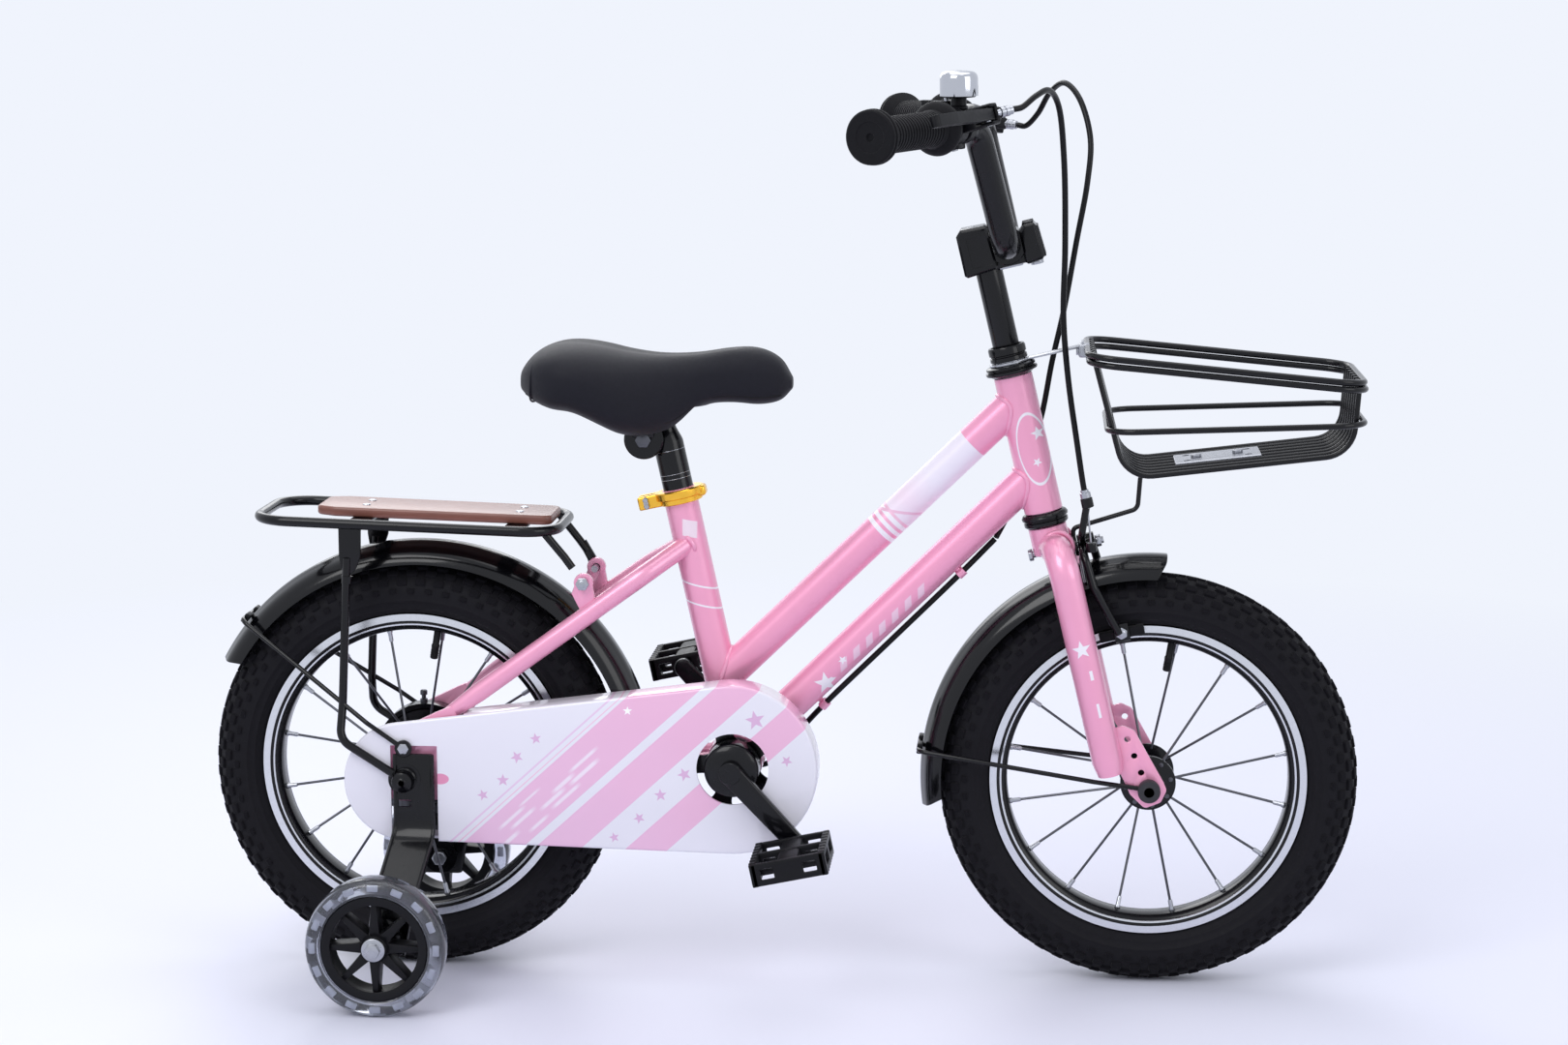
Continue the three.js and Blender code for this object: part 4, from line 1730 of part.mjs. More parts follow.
const rearCableLoop = [
  [502.6, 130.1, 711], [508.7, 126.9, 710.5], [519, 116, 721], [529, 100, 739], [541, 78, 748],
  [554, 54, 735],
  [563, 39, 703], [561, 32, 668], [553, 29, 621], [543, 28, 562], [534, 27, 520], [526, 27, 475],
  [513, 26, 428],
  [500, 18, 394], [489.5, 5, 374.6],
];
add(bike, 'rear_brake_cable_loop', cableTube(rearCableLoop, 24), 'rubber');

const rearCable = [
  [488.6, 4.5, 373.4], [461, 0, 345.2], [404, 0, 288.2], [347, 1, 231], [329, 8, 210], [316, 24, 190],
  [303, 42, 172],
  [280, 46, 164], [240, 47, 160], [160, 51, 158], [110, 56.5, 154], [78, 57, 146], [66, 56.5, 142],
];
add(bike, 'rear_brake_cable', cableTube(rearCable, 22), 'rubber');

export default bike;
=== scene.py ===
"""A child's bicycle with training wheels: its visible pieces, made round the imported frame."""

import math

import bpy
from mathutils import Matrix, Vector


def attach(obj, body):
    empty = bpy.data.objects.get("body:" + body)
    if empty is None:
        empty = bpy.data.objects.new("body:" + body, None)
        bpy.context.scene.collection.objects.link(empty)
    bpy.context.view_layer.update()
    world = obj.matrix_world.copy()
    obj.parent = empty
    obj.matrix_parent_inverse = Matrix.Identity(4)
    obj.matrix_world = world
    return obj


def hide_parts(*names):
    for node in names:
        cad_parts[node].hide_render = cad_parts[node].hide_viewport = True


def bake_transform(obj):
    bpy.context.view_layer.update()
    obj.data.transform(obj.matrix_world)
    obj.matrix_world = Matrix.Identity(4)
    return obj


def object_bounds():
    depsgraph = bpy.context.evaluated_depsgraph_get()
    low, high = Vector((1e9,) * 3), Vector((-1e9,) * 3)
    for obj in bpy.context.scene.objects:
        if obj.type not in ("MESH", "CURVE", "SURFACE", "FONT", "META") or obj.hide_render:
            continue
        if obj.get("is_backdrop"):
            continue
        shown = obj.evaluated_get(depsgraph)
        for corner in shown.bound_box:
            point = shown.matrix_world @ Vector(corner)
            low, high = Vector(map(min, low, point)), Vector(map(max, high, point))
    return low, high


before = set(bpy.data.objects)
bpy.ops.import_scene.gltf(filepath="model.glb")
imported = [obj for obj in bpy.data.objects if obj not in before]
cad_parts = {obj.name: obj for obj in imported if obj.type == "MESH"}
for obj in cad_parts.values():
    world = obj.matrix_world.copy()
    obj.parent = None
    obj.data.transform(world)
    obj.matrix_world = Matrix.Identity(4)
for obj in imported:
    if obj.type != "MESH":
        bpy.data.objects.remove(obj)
cad_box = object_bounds()

# Places are given in mm: x forward from the rear axle, y to the rider's left, z up
ROW_X = 309.0
HEAD_X, HEAD_Z = 528.709, 398.211
TILT = math.radians(13.4)
AXLE_Z = 174.0
WHEELBASE = 618.0
CRANK = (274.0, 187.0)
SEAT_UP = Vector((-0.21474, 0, 0.97667))
SEAT_TOP = (224.83, 410.66)
SIDES = (("right", -1), ("left", 1))


def at(x, y, z):
    return Vector(((x - ROW_X) / 1000, y / 1000, z / 1000))


def col(x, y, z):
    """A place given along the steering column: x ahead of it, z up it."""
    c, s = math.cos(TILT), math.sin(TILT)
    return at(HEAD_X + x * c - z * s, y, HEAD_Z + x * s + z * c)


COLUMN = Matrix.Translation(at(HEAD_X, 0, HEAD_Z)) @ Matrix.Rotation(-TILT, 4, "Y")
BIKE = Matrix.Translation(at(0, 0, 0))


def axle(x, z, y=0.0):
    """The place of a turned piece whose axis runs across the bicycle."""
    return Matrix.Translation(at(x, y, z)) @ Matrix.Rotation(-math.pi / 2, 4, "X")


def along(start, end):
    turn = (end - start).to_track_quat("Z", "X").to_matrix().to_4x4()
    return Matrix.Translation(start) @ turn


# ---------------------------------------------------------------- modelling

def fresh():
    bpy.ops.object.select_all(action="DESELECT")


def use(piece):
    fresh()
    piece.select_set(True)
    bpy.context.view_layer.objects.active = piece


def put(piece, place=None):
    if place is not None:
        piece.matrix_world = place @ piece.matrix_world
    use(piece)
    bpy.ops.object.transform_apply(location=True, rotation=True, scale=True)
    return piece


def tidy_mesh(piece, merge=1e-6):
    use(piece)
    bpy.ops.object.mode_set(mode="EDIT")
    bpy.ops.mesh.select_all(action="SELECT")
    bpy.ops.mesh.remove_doubles(threshold=merge)
    bpy.ops.mesh.delete_loose()
    bpy.ops.mesh.select_all(action="SELECT")
    bpy.ops.mesh.normals_make_consistent(inside=False)
    bpy.ops.object.mode_set(mode="OBJECT")
    return piece


def apply(piece, kind, **settings):
    use(piece)
    modifier = piece.modifiers.new("work", kind)
    for key, value in settings.items():
        setattr(modifier, key, value)
    bpy.ops.object.modifier_apply(modifier=modifier.name)
    return piece


def bevel(piece, width, segments=2, angle=40):
    return apply(piece, "BEVEL", width=width / 1000, segments=segments, limit_method="ANGLE",
                 angle_limit=math.radians(angle))


def cut(piece, *cutters, operation="DIFFERENCE"):
    for cutter in cutters:
        apply(piece, "BOOLEAN", object=cutter, operation=operation, solver="EXACT")
        bpy.data.objects.remove(cutter)
    return piece


def join(pieces):
    fresh()
    for piece in pieces:
        piece.select_set(True)
    bpy.context.view_layer.objects.active = pieces[0]
    bpy.ops.object.join()
    return bpy.context.object


def copied(piece, places):
    """The piece and a copy of it, with a mesh of its own, at each place."""
    made = [piece]
    for place in places:
        twin = piece.copy()
        twin.data = piece.data.copy()
        twin.data.transform(place)
        bpy.context.scene.collection.objects.link(twin)
        made.append(twin)
    return made


def ring(piece, count, x, z):
    """Copies of the piece all round the axle at x, z."""
    centre = at(x, 0, z)
    places = [Matrix.Translation(centre) @ Matrix.Rotation(2 * math.pi * i / count, 4, "Y")
              @ Matrix.Translation(-centre) for i in range(1, count)]
    return copied(piece, places)


def mirrored(piece):
    """The piece and its twin on the other side."""
    twin = copied(piece, [Matrix.Scale(-1, 4, (0, 1, 0))])[1]
    twin.data.flip_normals()
    return [piece, twin]


def turned(profile, place, steps=48):
    """Spins a profile of (radius, along) round the local Z axis."""
    fresh()
    bpy.ops.mesh.primitive_circle_add(vertices=len(profile), fill_type="NOTHING")
    piece = bpy.context.object
    for vertex, (radius, reach) in zip(piece.data.vertices, profile):
        vertex.co = (radius / 1000, 0, reach / 1000)
    bpy.ops.object.mode_set(mode="EDIT")
    bpy.ops.mesh.select_all(action="SELECT")
    bpy.ops.mesh.spin(steps=steps, angle=2 * math.pi, center=(0, 0, 0), axis=(0, 0, 1))
    bpy.ops.object.mode_set(mode="OBJECT")
    return put(tidy_mesh(piece), place)


def bent(corners, radius, steps=8):
    """The corners as a path that turns with this radius."""
    path = [corners[0]]
    for before, corner, after in zip(corners, corners[1:], corners[2:]):
        back, on = (before - corner), (after - corner)
        limit = 0.49 * min(back.length, on.length)
        back.normalize()
        on.normalize()
        half = back.angle(on) / 2
        reach = min(radius / 1000 / math.tan(half), limit)
        turn = reach * math.tan(half)
        centre = corner + (back + on).normalized() * (turn / math.sin(half))
        first = (corner + back * reach - centre).normalized()
        last = (corner + on * reach - centre).normalized()
        path += [centre + first.slerp(last, i / steps) * turn for i in range(steps + 1)]
    return path + [corners[-1]]


def smooth_path(points, steps=6):
    """A centripetal curve through the points."""
    spots = [2 * points[0] - points[1]] + list(points) + [2 * points[-1] - points[-2]]
    path = []
    for p0, p1, p2, p3 in zip(spots, spots[1:], spots[2:], spots[3:]):
        knots = [0.0]
        for a, b in ((p0, p1), (p1, p2), (p2, p3)):
            knots.append(knots[-1] + math.sqrt((b - a).length))
        k0, k1, k2, k3 = knots
        for i in range(steps):
            t = k1 + (k2 - k1) * i / steps
            a1 = p0 * ((k1 - t) / (k1 - k0)) + p1 * ((t - k0) / (k1 - k0))
            a2 = p1 * ((k2 - t) / (k2 - k1)) + p2 * ((t - k1) / (k2 - k1))
            a3 = p2 * ((k3 - t) / (k3 - k2)) + p3 * ((t - k2) / (k3 - k2))
            b1 = a1 * ((k2 - t) / (k2 - k0)) + a2 * ((t - k0) / (k2 - k0))
            b2 = a2 * ((k3 - t) / (k3 - k1)) + a3 * ((t - k1) / (k3 - k1))
            path.append(b1 * ((k2 - t) / (k2 - k1)) + b2 * ((t - k1) / (k2 - k1)))
    return path + [points[-1]]


def pipe(path, radius, roundness=6, closed=False, shares=None):
    """A round bar along the path; shares thin or thicken it from point to point."""
    fresh()
    bpy.ops.curve.primitive_bezier_curve_add()
    piece = bpy.context.object
    curve = piece.data
    curve.splines.clear()
    spline = curve.splines.new("POLY")
    spline.points.add(len(path) - 1)
    for i, (point, place) in enumerate(zip(spline.points, path)):
        point.co = (*place, 1)
        point.radius = shares[i] if shares else 1
    spline.use_cyclic_u = closed
    curve.dimensions = "3D"
    curve.bevel_depth = radius / 1000
    curve.bevel_resolution = roundness
    curve.use_fill_caps = not closed
    bpy.ops.object.convert(target="MESH")
    piece = bpy.context.object
    return tidy_mesh(piece)


def slab(outline, low, high, place=BIKE, edge=0.4, cutters=(), segments=2):
    """A flat piece with this outline of (x, z), from one y to the other."""
    fresh()
    bpy.ops.mesh.primitive_circle_add(vertices=len(outline), fill_type="NGON")
    piece = bpy.context.object
    for vertex, (x, z) in zip(piece.data.vertices, outline):
        vertex.co = (x / 1000, low / 1000, z / 1000)
    bpy.ops.object.mode_set(mode="EDIT")
    bpy.ops.mesh.select_all(action="SELECT")
    bpy.ops.mesh.extrude_region_move(
        TRANSFORM_OT_translate={"value": (0, (high - low) / 1000, 0)})
    bpy.ops.object.mode_set(mode="OBJECT")
    put(tidy_mesh(piece), place)
    if cutters:
        cut(piece, *cutters)
    if edge:
        bevel(piece, edge, segments)
    return piece


def rod(start, end, radius, edge=0.0, sides=32, end_radius=None):
    """A straight round bar, whose ends are chamfered where an edge is given."""
    length = (end - start).length * 1000
    last = radius if end_radius is None else end_radius
    if edge:
        profile = [(0, 0), (radius - edge, 0), (radius - edge * 0.3, edge * 0.3), (radius, edge),
                   (last, length - edge), (last - edge * 0.3, length - edge * 0.3),
                   (last - edge, length), (0, length)]
    else:
        profile = [(0, 0), (radius, 0), (last, length), (0, length)]
    return turned(profile, along(start, end), sides)


def block(x0, x1, y0, y1, z0, z1, place=BIKE, edge=0.5, segments=2, taper=None):
    """A box between two corners, rounded; taper draws in its top by a share."""
    fresh()
    bpy.ops.mesh.primitive_cube_add(size=1)
    piece = bpy.context.object
    for vertex in piece.data.vertices:
        share = (1 - taper) if taper and vertex.co.z > 0 else 1
        x, y, z = vertex.co.x * share + 0.5, vertex.co.y * share + 0.5, vertex.co.z + 0.5
        vertex.co = ((x0 + (x1 - x0) * x) / 1000, (y0 + (y1 - y0) * y) / 1000,
                     (z0 + (z1 - z0) * z) / 1000)
    put(piece, place)
    if edge:
        bevel(piece, edge, segments)
    return piece


def circle(x, z, radius, count=24, start=0.0, end=360.0):
    steps = count if end - start >= 360 else count - 1
    return [(x + radius * math.cos(math.radians(start + (end - start) * i / steps)),
             z + radius * math.sin(math.radians(start + (end - start) * i / steps)))
            for i in range(count)]


def rounded(outline, radius, steps=5):
    """The outline of (x, z) with every corner rounded."""
    count = len(outline)
    corners = [Vector((x, 0, z)) / 1000 for x, z in outline]
    made = []
    for i in range(count):
        arc = bent([corners[i - 1], corners[i], corners[(i + 1) % count]], radius, steps)[1:-1]
        made += [(p.x * 1000, p.z * 1000) for p in arc]
    return made


def belt(x0, z0, r0, x1, z1, r1, count=28):
    """The outline of a belt round two circles."""
    run = math.degrees(math.atan2(z1 - z0, x1 - x0))
    lean = math.degrees(math.acos((r0 - r1) / math.hypot(x1 - x0, z1 - z0)))
    return (circle(x1, z1, r1, count, run - lean, run + lean)
            + circle(x0, z0, r0, count, run + lean, run + 360 - lean))


def hexagon(place, across, thick, dome=0.0):
    """A six-sided nut or bolt head with softened corners."""
    radius = across / math.sqrt(3)
    nut = turned([(0, 0), (radius, 0), (radius, thick), (0, thick)], place, 6)
    bevel(nut, min(0.8, thick / 5), 2, 30)
    if not dome:
        return nut
    cap = turned([(0, thick - 1)] + [(across * 0.42 * math.cos(t), thick - 1 + dome * math.sin(t))
                                     for t in (i * math.pi / 10 for i in range(5))]
                 + [(0, thick - 1 + dome)], place, 24)
    return join([nut, cap])


def seam(start, end, radius, other_start, other_end, other_radius, toward, count=40):
    """The line round a tube's end where it meets the wall of another tube."""
    run = (end - start).normalized()
    other = (other_end - other_start).normalized()
    side = run.orthogonal().normalized()
    up = run.cross(side)
    path = []
    for i in range(count):
        turn = 2 * math.pi * i / count
        p = start + (side * math.cos(turn) + up * math.sin(turn)) * (radius / 1000) - other_start
        flat_p = p - other * p.dot(other)
        flat_r = run - other * run.dot(other)
        a, b = flat_r.dot(flat_r), 2 * flat_p.dot(flat_r)
        c = flat_p.dot(flat_p) - (other_radius / 1000) ** 2
        root = math.sqrt(max(b * b - 4 * a * c, 0))
        path.append(other_start + p + run * ((-b + toward * root) / (2 * a)))
    return path


# ---------------------------------------------------------------- finishes

class Value:
    """A number on its way through a material's nodes."""

    def __init__(self, tree, socket):
        self.tree, self.socket = tree, socket

    def run(self, kind, *others, clamp=False):
        node = self.tree.nodes.new("ShaderNodeMath")
        node.operation = kind
        node.use_clamp = clamp
        for slot, other in zip(node.inputs, (self,) + others):
            if isinstance(other, Value):
                self.tree.links.new(other.socket, slot)
            else:
                slot.default_value = other
        return Value(self.tree, node.outputs[0])

    def __add__(self, other):
        return self.run("ADD", other)

    def __sub__(self, other):
        return self.run("SUBTRACT", other)

    def __mul__(self, other):
        return self.run("MULTIPLY", other)

    def between(self, low, high, soft=0.25):
        """One from low to high and nothing elsewhere, with a narrow soft edge."""
        rise = (self - (low - soft / 2)) * (1 / soft)
        fall = (self - (high + soft / 2)) * (-1 / soft)
        return rise.run("ADD", 0.0, clamp=True) * fall.run("ADD", 0.0, clamp=True)

    def over(self, edge, soft=0.25):
        return ((self - (edge - soft / 2)) * (1 / soft)).run("ADD", 0.0, clamp=True)

    def either(self, other):
        return self.run("MAXIMUM", other)


def bike_place(tree):
    """The bicycle's x, y and z in mm at the shaded point."""
    coordinates = tree.nodes.new("ShaderNodeTexCoord")
    split = tree.nodes.new("ShaderNodeSeparateXYZ")
    tree.links.new(coordinates.outputs["Object"], split.inputs[0])
    x, y, z = (Value(tree, split.outputs[i]) * 1000 for i in range(3))
    return x + ROW_X, y, z


def turned_place(x, z, degrees, x0=0.0, z0=0.0):
    """Distances along and across a line at this angle through x0, z0."""
    c, s = math.cos(math.radians(degrees)), math.sin(math.radians(degrees))
    x, z = x - x0, z - z0
    return x * c + z * s, z * c - x * s


def star(x, z, x0, z0, size, turn=0.0):
    """A plain five-pointed star at x0, z0, whose points reach size."""
    a, b = turned_place(x, z, turn, x0, z0)
    reach = (a * a + b * b).run("SQRT")
    fold = a.run("ARCTAN2", b).run("WRAP", math.pi / 5, -math.pi / 5).run("ABSOLUTE")
    inner = size * 0.42
    tip_x, tip_z = size, 0.0
    dent_x, dent_z = inner * math.cos(math.pi / 5), inner * math.sin(math.pi / 5)
    px, pz = reach * fold.run("COSINE"), reach * fold.run("SINE")
    side = (px - tip_x) * (dent_z - tip_z) - (pz - tip_z) * (dent_x - tip_x)
    scale = math.hypot(dent_x - tip_x, dent_z - tip_z)
    return (side * (-1 / scale)).over(0.0, 0.3)


def ramp_colour(tree, low, high, factor):
    mix = tree.nodes.new("ShaderNodeMix")
    mix.data_type = "RGBA"
    for slot, value in ((6, low), (7, high)):
        if isinstance(value, tuple):
            mix.inputs[slot].default_value = (*value, 1)
        else:
            tree.links.new(value, mix.inputs[slot])
    tree.links.new(factor.socket, mix.inputs[0])
    return mix.outputs[2]


def noise(tree, scale, detail=3.0, stretch=None):
    coordinates = tree.nodes.new("ShaderNodeTexCoord")
    node = tree.nodes.new("ShaderNodeTexNoise")
    node.inputs["Scale"].default_value = scale
    node.inputs["Detail"].default_value = detail
    source = coordinates.outputs["Object"]
    if stretch:
        mapping = tree.nodes.new("ShaderNodeMapping")
        mapping.inputs["Scale"].default_value = stretch
        tree.links.new(source, mapping.inputs[0])
        source = mapping.outputs[0]
    tree.links.new(source, node.inputs["Vector"])
    return Value(tree, node.outputs[0])


def linear(text):
    """A colour written as six hexadecimal digits, in the shader's own scale."""
    parts = [int(text[i:i + 2], 16) / 255 for i in (0, 2, 4)]
    return tuple(p / 12.92 if p <= 0.04045 else ((p + 0.055) / 1.055) ** 2.4 for p in parts)


def finish(name, colour, rough=0.4, spread=0.08, metal=0.0, coat=0.0, coat_rough=0.05, mottle=60.0,
           shade=0.08, grain=400.0, relief=0.0, depth=0.0002, stretch=None, sheen=0.0, clear=0.0,
           ior=1.5, spin=0.0, marks=None, gloss=0.5):
    """A material: its colour and roughness vary a little, and it has a fine relief."""
    material = bpy.data.materials.new(name)
    material.use_nodes = True
    tree = material.node_tree
    shader = tree.nodes["Principled BSDF"]
    base = linear(colour)
    patches = noise(tree, mottle, 4, stretch)
    dark = tuple(c * (1 - shade) for c in base)
    light = tuple(min(1, c * (1 + shade)) for c in base)
    tint = ramp_colour(tree, dark, light, patches)
    rubbed = noise(tree, mottle * 2.7, 3, stretch)
    roughness = rubbed * (2 * spread) + (rough - spread)
    metallic = None
    if marks:
        place = bike_place(tree)
        for mask, mark_colour, mark_rough in marks(tree, *place):
            tint = ramp_colour(tree, tint, linear(mark_colour), mask)
            roughness = roughness + mask * (mark_rough - rough)
            if metal:
                keep = (mask - 1) * (-metal)
                metallic = keep if metallic is None else metallic.run("MINIMUM", keep)
    tree.links.new(tint, shader.inputs["Base Color"])
    tree.links.new(roughness.socket, shader.inputs["Roughness"])
    if metallic is not None:
        tree.links.new(metallic.socket, shader.inputs["Metallic"])
    else:
        shader.inputs["Metallic"].default_value = metal
    shader.inputs["Coat Weight"].default_value = coat
    shader.inputs["Coat Roughness"].default_value = coat_rough
    shader.inputs["Sheen Weight"].default_value = sheen
    shader.inputs["Transmission Weight"].default_value = clear
    shader.inputs["IOR"].default_value = ior
    shader.inputs["Specular IOR Level"].default_value = gloss
    if spin:
        shader.inputs["Anisotropic"].default_value = spin
    if relief:
        bump = tree.nodes.new("ShaderNodeBump")
        bump.inputs["Strength"].default_value = relief
        bump.inputs["Distance"].default_value = depth
        tree.links.new(noise(tree, grain, 5, stretch).socket, bump.inputs["Height"])
        tree.links.new(bump.outputs[0], shader.inputs["Normal"])
    material.diffuse_color = (*base, 1)
    return material


TOP_TUBE = Vector((0.7156, 0.6985))
TOP_FOOT = (260.04, 250.48)
WHITE_PRINT = "F1EDF4"
LILAC = "EBC6DF"


def top_tube_marks(tree, x, y, z):
    s, t = turned_place(x, z, math.degrees(math.atan2(TOP_TUBE.y, TOP_TUBE.x)), *TOP_FOOT)
    yield s.between(206, 292), "EDE6F2", 0.3
    yield s.between(206, 236, 26), "EFDCEB", 0.3
    stripes = s.between(186, 190).either(s.between(193, 196.6)).either(s.between(199.4, 203.4))
    yield stripes, WHITE_PRINT, 0.3
    yield (s + t * 0.8).between(209, 212), "E9BBD3", 0.3


def seat_tube_marks(tree, x, y, z):
    s = z + x * 0.22 - (SEAT_TOP[1] + SEAT_TOP[0] * 0.22)
    lines = s.between(-74.5, -73).either(s.between(-90.5, -89))
    yield lines, WHITE_PRINT, 0.3
    yield s.between(-34, -20) * x.between(229, 241, 1.0), "F0DDE8", 0.3


def head_tube_marks(tree, x, y, z):
    along_tube, across_tube = turned_place(x, z, 103.4, 520, 452)
    wide, tall = across_tube * (1 / 13.0), along_tube * (1 / 30.0)
    yield (wide * wide + tall * tall).run("SQRT").between(0.95, 1.03, 0.03), WHITE_PRINT, 0.3
    yield star(x, z, 523, 465, 6, 20), WHITE_PRINT, 0.3
    yield star(x, z, 523, 441, 4, 50), WHITE_PRINT, 0.3


def down_tube_marks(tree, x, y, z):
    s, t = turned_place(x, z, math.degrees(math.atan2(430.31 - 187, 521.06 - 274)), 274, 187)
    marks = star(x, z, 349, 252, 10, 12).either(star(x, z, 363, 272, 4, 40))
    slanted = s - t * 0.9
    bars = slanted.run("WRAP", 0.0, 15.0).between(2, 9.5, 0.8) * slanted.between(118, 224, 0.8)
    yield bars * t.between(-9, -1.5, 0.8), "EFC9DD", 0.3
    yield marks.either((s + t * 0.5).between(92, 103) * t.between(-7.5, -5.5)), WHITE_PRINT, 0.3


def fork_marks(tree, x, y, z):
    u, v = turned_place(x, z, 103.4, 571, 262)
    dashes = u.between(6, 14) * v.between(-2, 0.6)
    dashes = dashes.either(u.between(-26, -14) * v.between(-1.4, 0.8))
    yield star(x, z, 561, 293, 8, 15).either(dashes), WHITE_PRINT, 0.3


GUARD_STREAKS = ((41, 1.3, 228, 256), (37.5, 1.6, 205, 226), (33, 1.6, 221, 250), (33.5, 1.5, 188, 212),
                 (28, 1.4, 196, 224), (44.5, 1.3, 150, 176), (38, 1.4, 158, 182), (32, 1.6, 143, 158),
                 (26, 1.3, 168, 186), (47.5, 0.9, 176, 196))
GUARD_STARS = ((111, 211, 5, 10), (95, 195, 5.5, 30), (83, 175, 5.5, 0), (66, 162, 5, 20))
GUARD_STARS_LOW = ((294, 230, 8.5, 12), (235, 183, 6, 25), (215, 165, 5.5, 5), (197, 145, 5, 30),
                   (176, 128, 4.5, 15), (320, 196, 5, 40))


def guard_marks(tree, x, y, z):
    u, v = turned_place(x, z, 42.5)
    pink = v.between(20, 56).either(v.between(-13, 13)).either(v.between(-62, -38))
    fade = (u - 60) * (1 / 260.0)
    soft = noise(tree, 24, 2)
    yield pink * x.over(34, 2), "E9C4E1", 0.22
    yield pink * x.over(34, 2) * (fade + soft * 0.3).run("ADD", -0.1, clamp=True), "EEB9D8", 0.22
    yield v.between(63, 64.6) * x.over(34, 1), "E7CBE6", 0.22
    yield v.between(58.6, 59.4) * x.over(36, 1), "EFBFDA", 0.22
    rows = None
    for middle, half_height, first, last in GUARD_STREAKS:
        row = v.between(middle - half_height, middle + half_height, 1.4) * u.between(first, last, 7)
        rows = row if rows is None else rows.either(row)
    yield rows, "F3E4F2", 0.22
    stars = None
    for x0, z0, size, turn in GUARD_STARS + GUARD_STARS_LOW:
        spot = star(x, z, x0, z0, size, turn)
        stars = spot if stars is None else stars.either(spot)
    yield stars, "DDB4D8", 0.22
    yield star(x, z, 188, 236, 4, 0), "FFFFFF", 0.22
    slot_x, slot_z = (x - 30) * 0.62, z - 175
    oval = (slot_x * slot_x + slot_z * slot_z).run("SQRT")
    yield (oval - 4.6).run("MULTIPLY", -1.0).over(0.0), "E58FB5", 0.3


PINK = dict(rough=0.34, spread=0.03, metal=0.2, coat=0.7, coat_rough=0.1, mottle=50, shade=0.03)
TUBE_PINK = {**PINK, "rough": 0.3, "coat": 0.0}
BLACK = dict(rough=0.26, spread=0.05, coat=0.3, coat_rough=0.08, mottle=70, gloss=0.15)

pink_paint = finish("pink_paint", "F0A2C2", **PINK)
weld_paint = finish("weld_paint", "F0A2C2", **{**PINK, "relief": 0.5, "grain": 260, "depth": 0.0006})
top_tube_paint = finish("top_tube_paint", "F0A2C2", marks=top_tube_marks, **TUBE_PINK)
down_tube_paint = finish("down_tube_paint", "F0A2C2", marks=down_tube_marks, **TUBE_PINK)
seat_tube_paint = finish("seat_tube_paint", "F0A2C2", marks=seat_tube_marks, **PINK)
head_tube_paint = finish("head_tube_paint", "F0A2C2", marks=head_tube_marks, **PINK)
fork_paint = finish("fork_paint", "F0A2C2", marks=fork_marks, **PINK)
black_paint = finish("black_paint", "08080C", **BLACK)
satin_black = finish("satin_black", "0B0B10", rough=0.45, spread=0.08, mottle=90, grain=900, relief=0.15,
                     gloss=0.2)
black_plastic = finish("black_plastic", "0B0B0F", rough=0.42, spread=0.1, mottle=120, shade=0.15,
                       grain=1600, relief=0.25, depth=0.0001, gloss=0.2)
gloss_black = finish("gloss_black", "060609", rough=0.18, spread=0.04, coat=0.3, mottle=40, gloss=0.2)
tyre_rubber = finish("tyre_rubber", "0E0D12", rough=0.78, spread=0.1, mottle=160, shade=0.25, grain=900,
                     relief=0.35, sheen=0.04, gloss=0.12)
sidewall_rubber = finish("sidewall_rubber", "100F14", rough=0.66, spread=0.1, mottle=110, shade=0.2,
                         grain=1500, relief=0.25, sheen=0.04, gloss=0.15)
grip_rubber = finish("grip_rubber", "0C0C10", rough=0.7, spread=0.1, mottle=180, shade=0.2, grain=1400,
                     relief=0.3, sheen=0.05, gloss=0.15)
steel = finish("steel", "AAACB2", rough=0.3, spread=0.1, metal=1, mottle=150, shade=0.14, grain=500,
               relief=0.12)
dark_steel = finish("dark_steel", "5A5B60", rough=0.38, spread=0.12, metal=1, mottle=170, shade=0.2,
                    grain=600, relief=0.12)
rim_silver = finish("rim_silver", "D3D5D9", rough=0.24, spread=0.06, metal=1, mottle=260, shade=0.06,
                    grain=2200, relief=0.12, depth=0.00005, spin=0.4)
gold_anodised = finish("gold_anodised", "F3BC45", rough=0.24, spread=0.05, metal=1, mottle=200, shade=0.1,
                       grain=900, relief=0.06)
chrome = finish("chrome", "BFC1C7", rough=0.1, spread=0.03, metal=1, mottle=60, shade=0.04)
saddle_cover = finish("saddle_cover", "11111A", rough=0.62, spread=0.08, mottle=150, shade=0.16,
                      grain=1900, relief=0.5, depth=0.00025, sheen=0.06, gloss=0.2)
cap_rubber = finish("cap_rubber", "303034", rough=0.6, spread=0.08, mottle=120, gloss=0.3)
base_plastic = finish("base_plastic", "0A0A0E", rough=0.5, spread=0.08, mottle=100, grain=1000,
                      relief=0.3, gloss=0.2)
guard_plastic = finish("guard_plastic", "E9E7F1", rough=0.22, spread=0.04, coat=0.5, mottle=20,
                       shade=0.02, marks=guard_marks)
board_wood = finish("board_wood", "7C4C40", rough=0.42, spread=0.1, coat=0.3, coat_rough=0.2, mottle=40,
                    shade=0.34, grain=120, relief=0.25, stretch=(1.0, 9.0, 9.0))
clear_plastic = finish("clear_plastic", "C6CAD6", rough=0.1, spread=0.04, clear=0.92, ior=1.46,
                       mottle=60, shade=0.05, grain=200, relief=0.05)
pale_insert = finish("pale_insert", "DCDEE8", rough=0.35, spread=0.1, metal=0.0, mottle=120, shade=0.2,
                     grain=400, relief=0.2)
cable_sheath = finish("cable_sheath", "09090C", rough=0.3, spread=0.08, mottle=140, gloss=0.2)
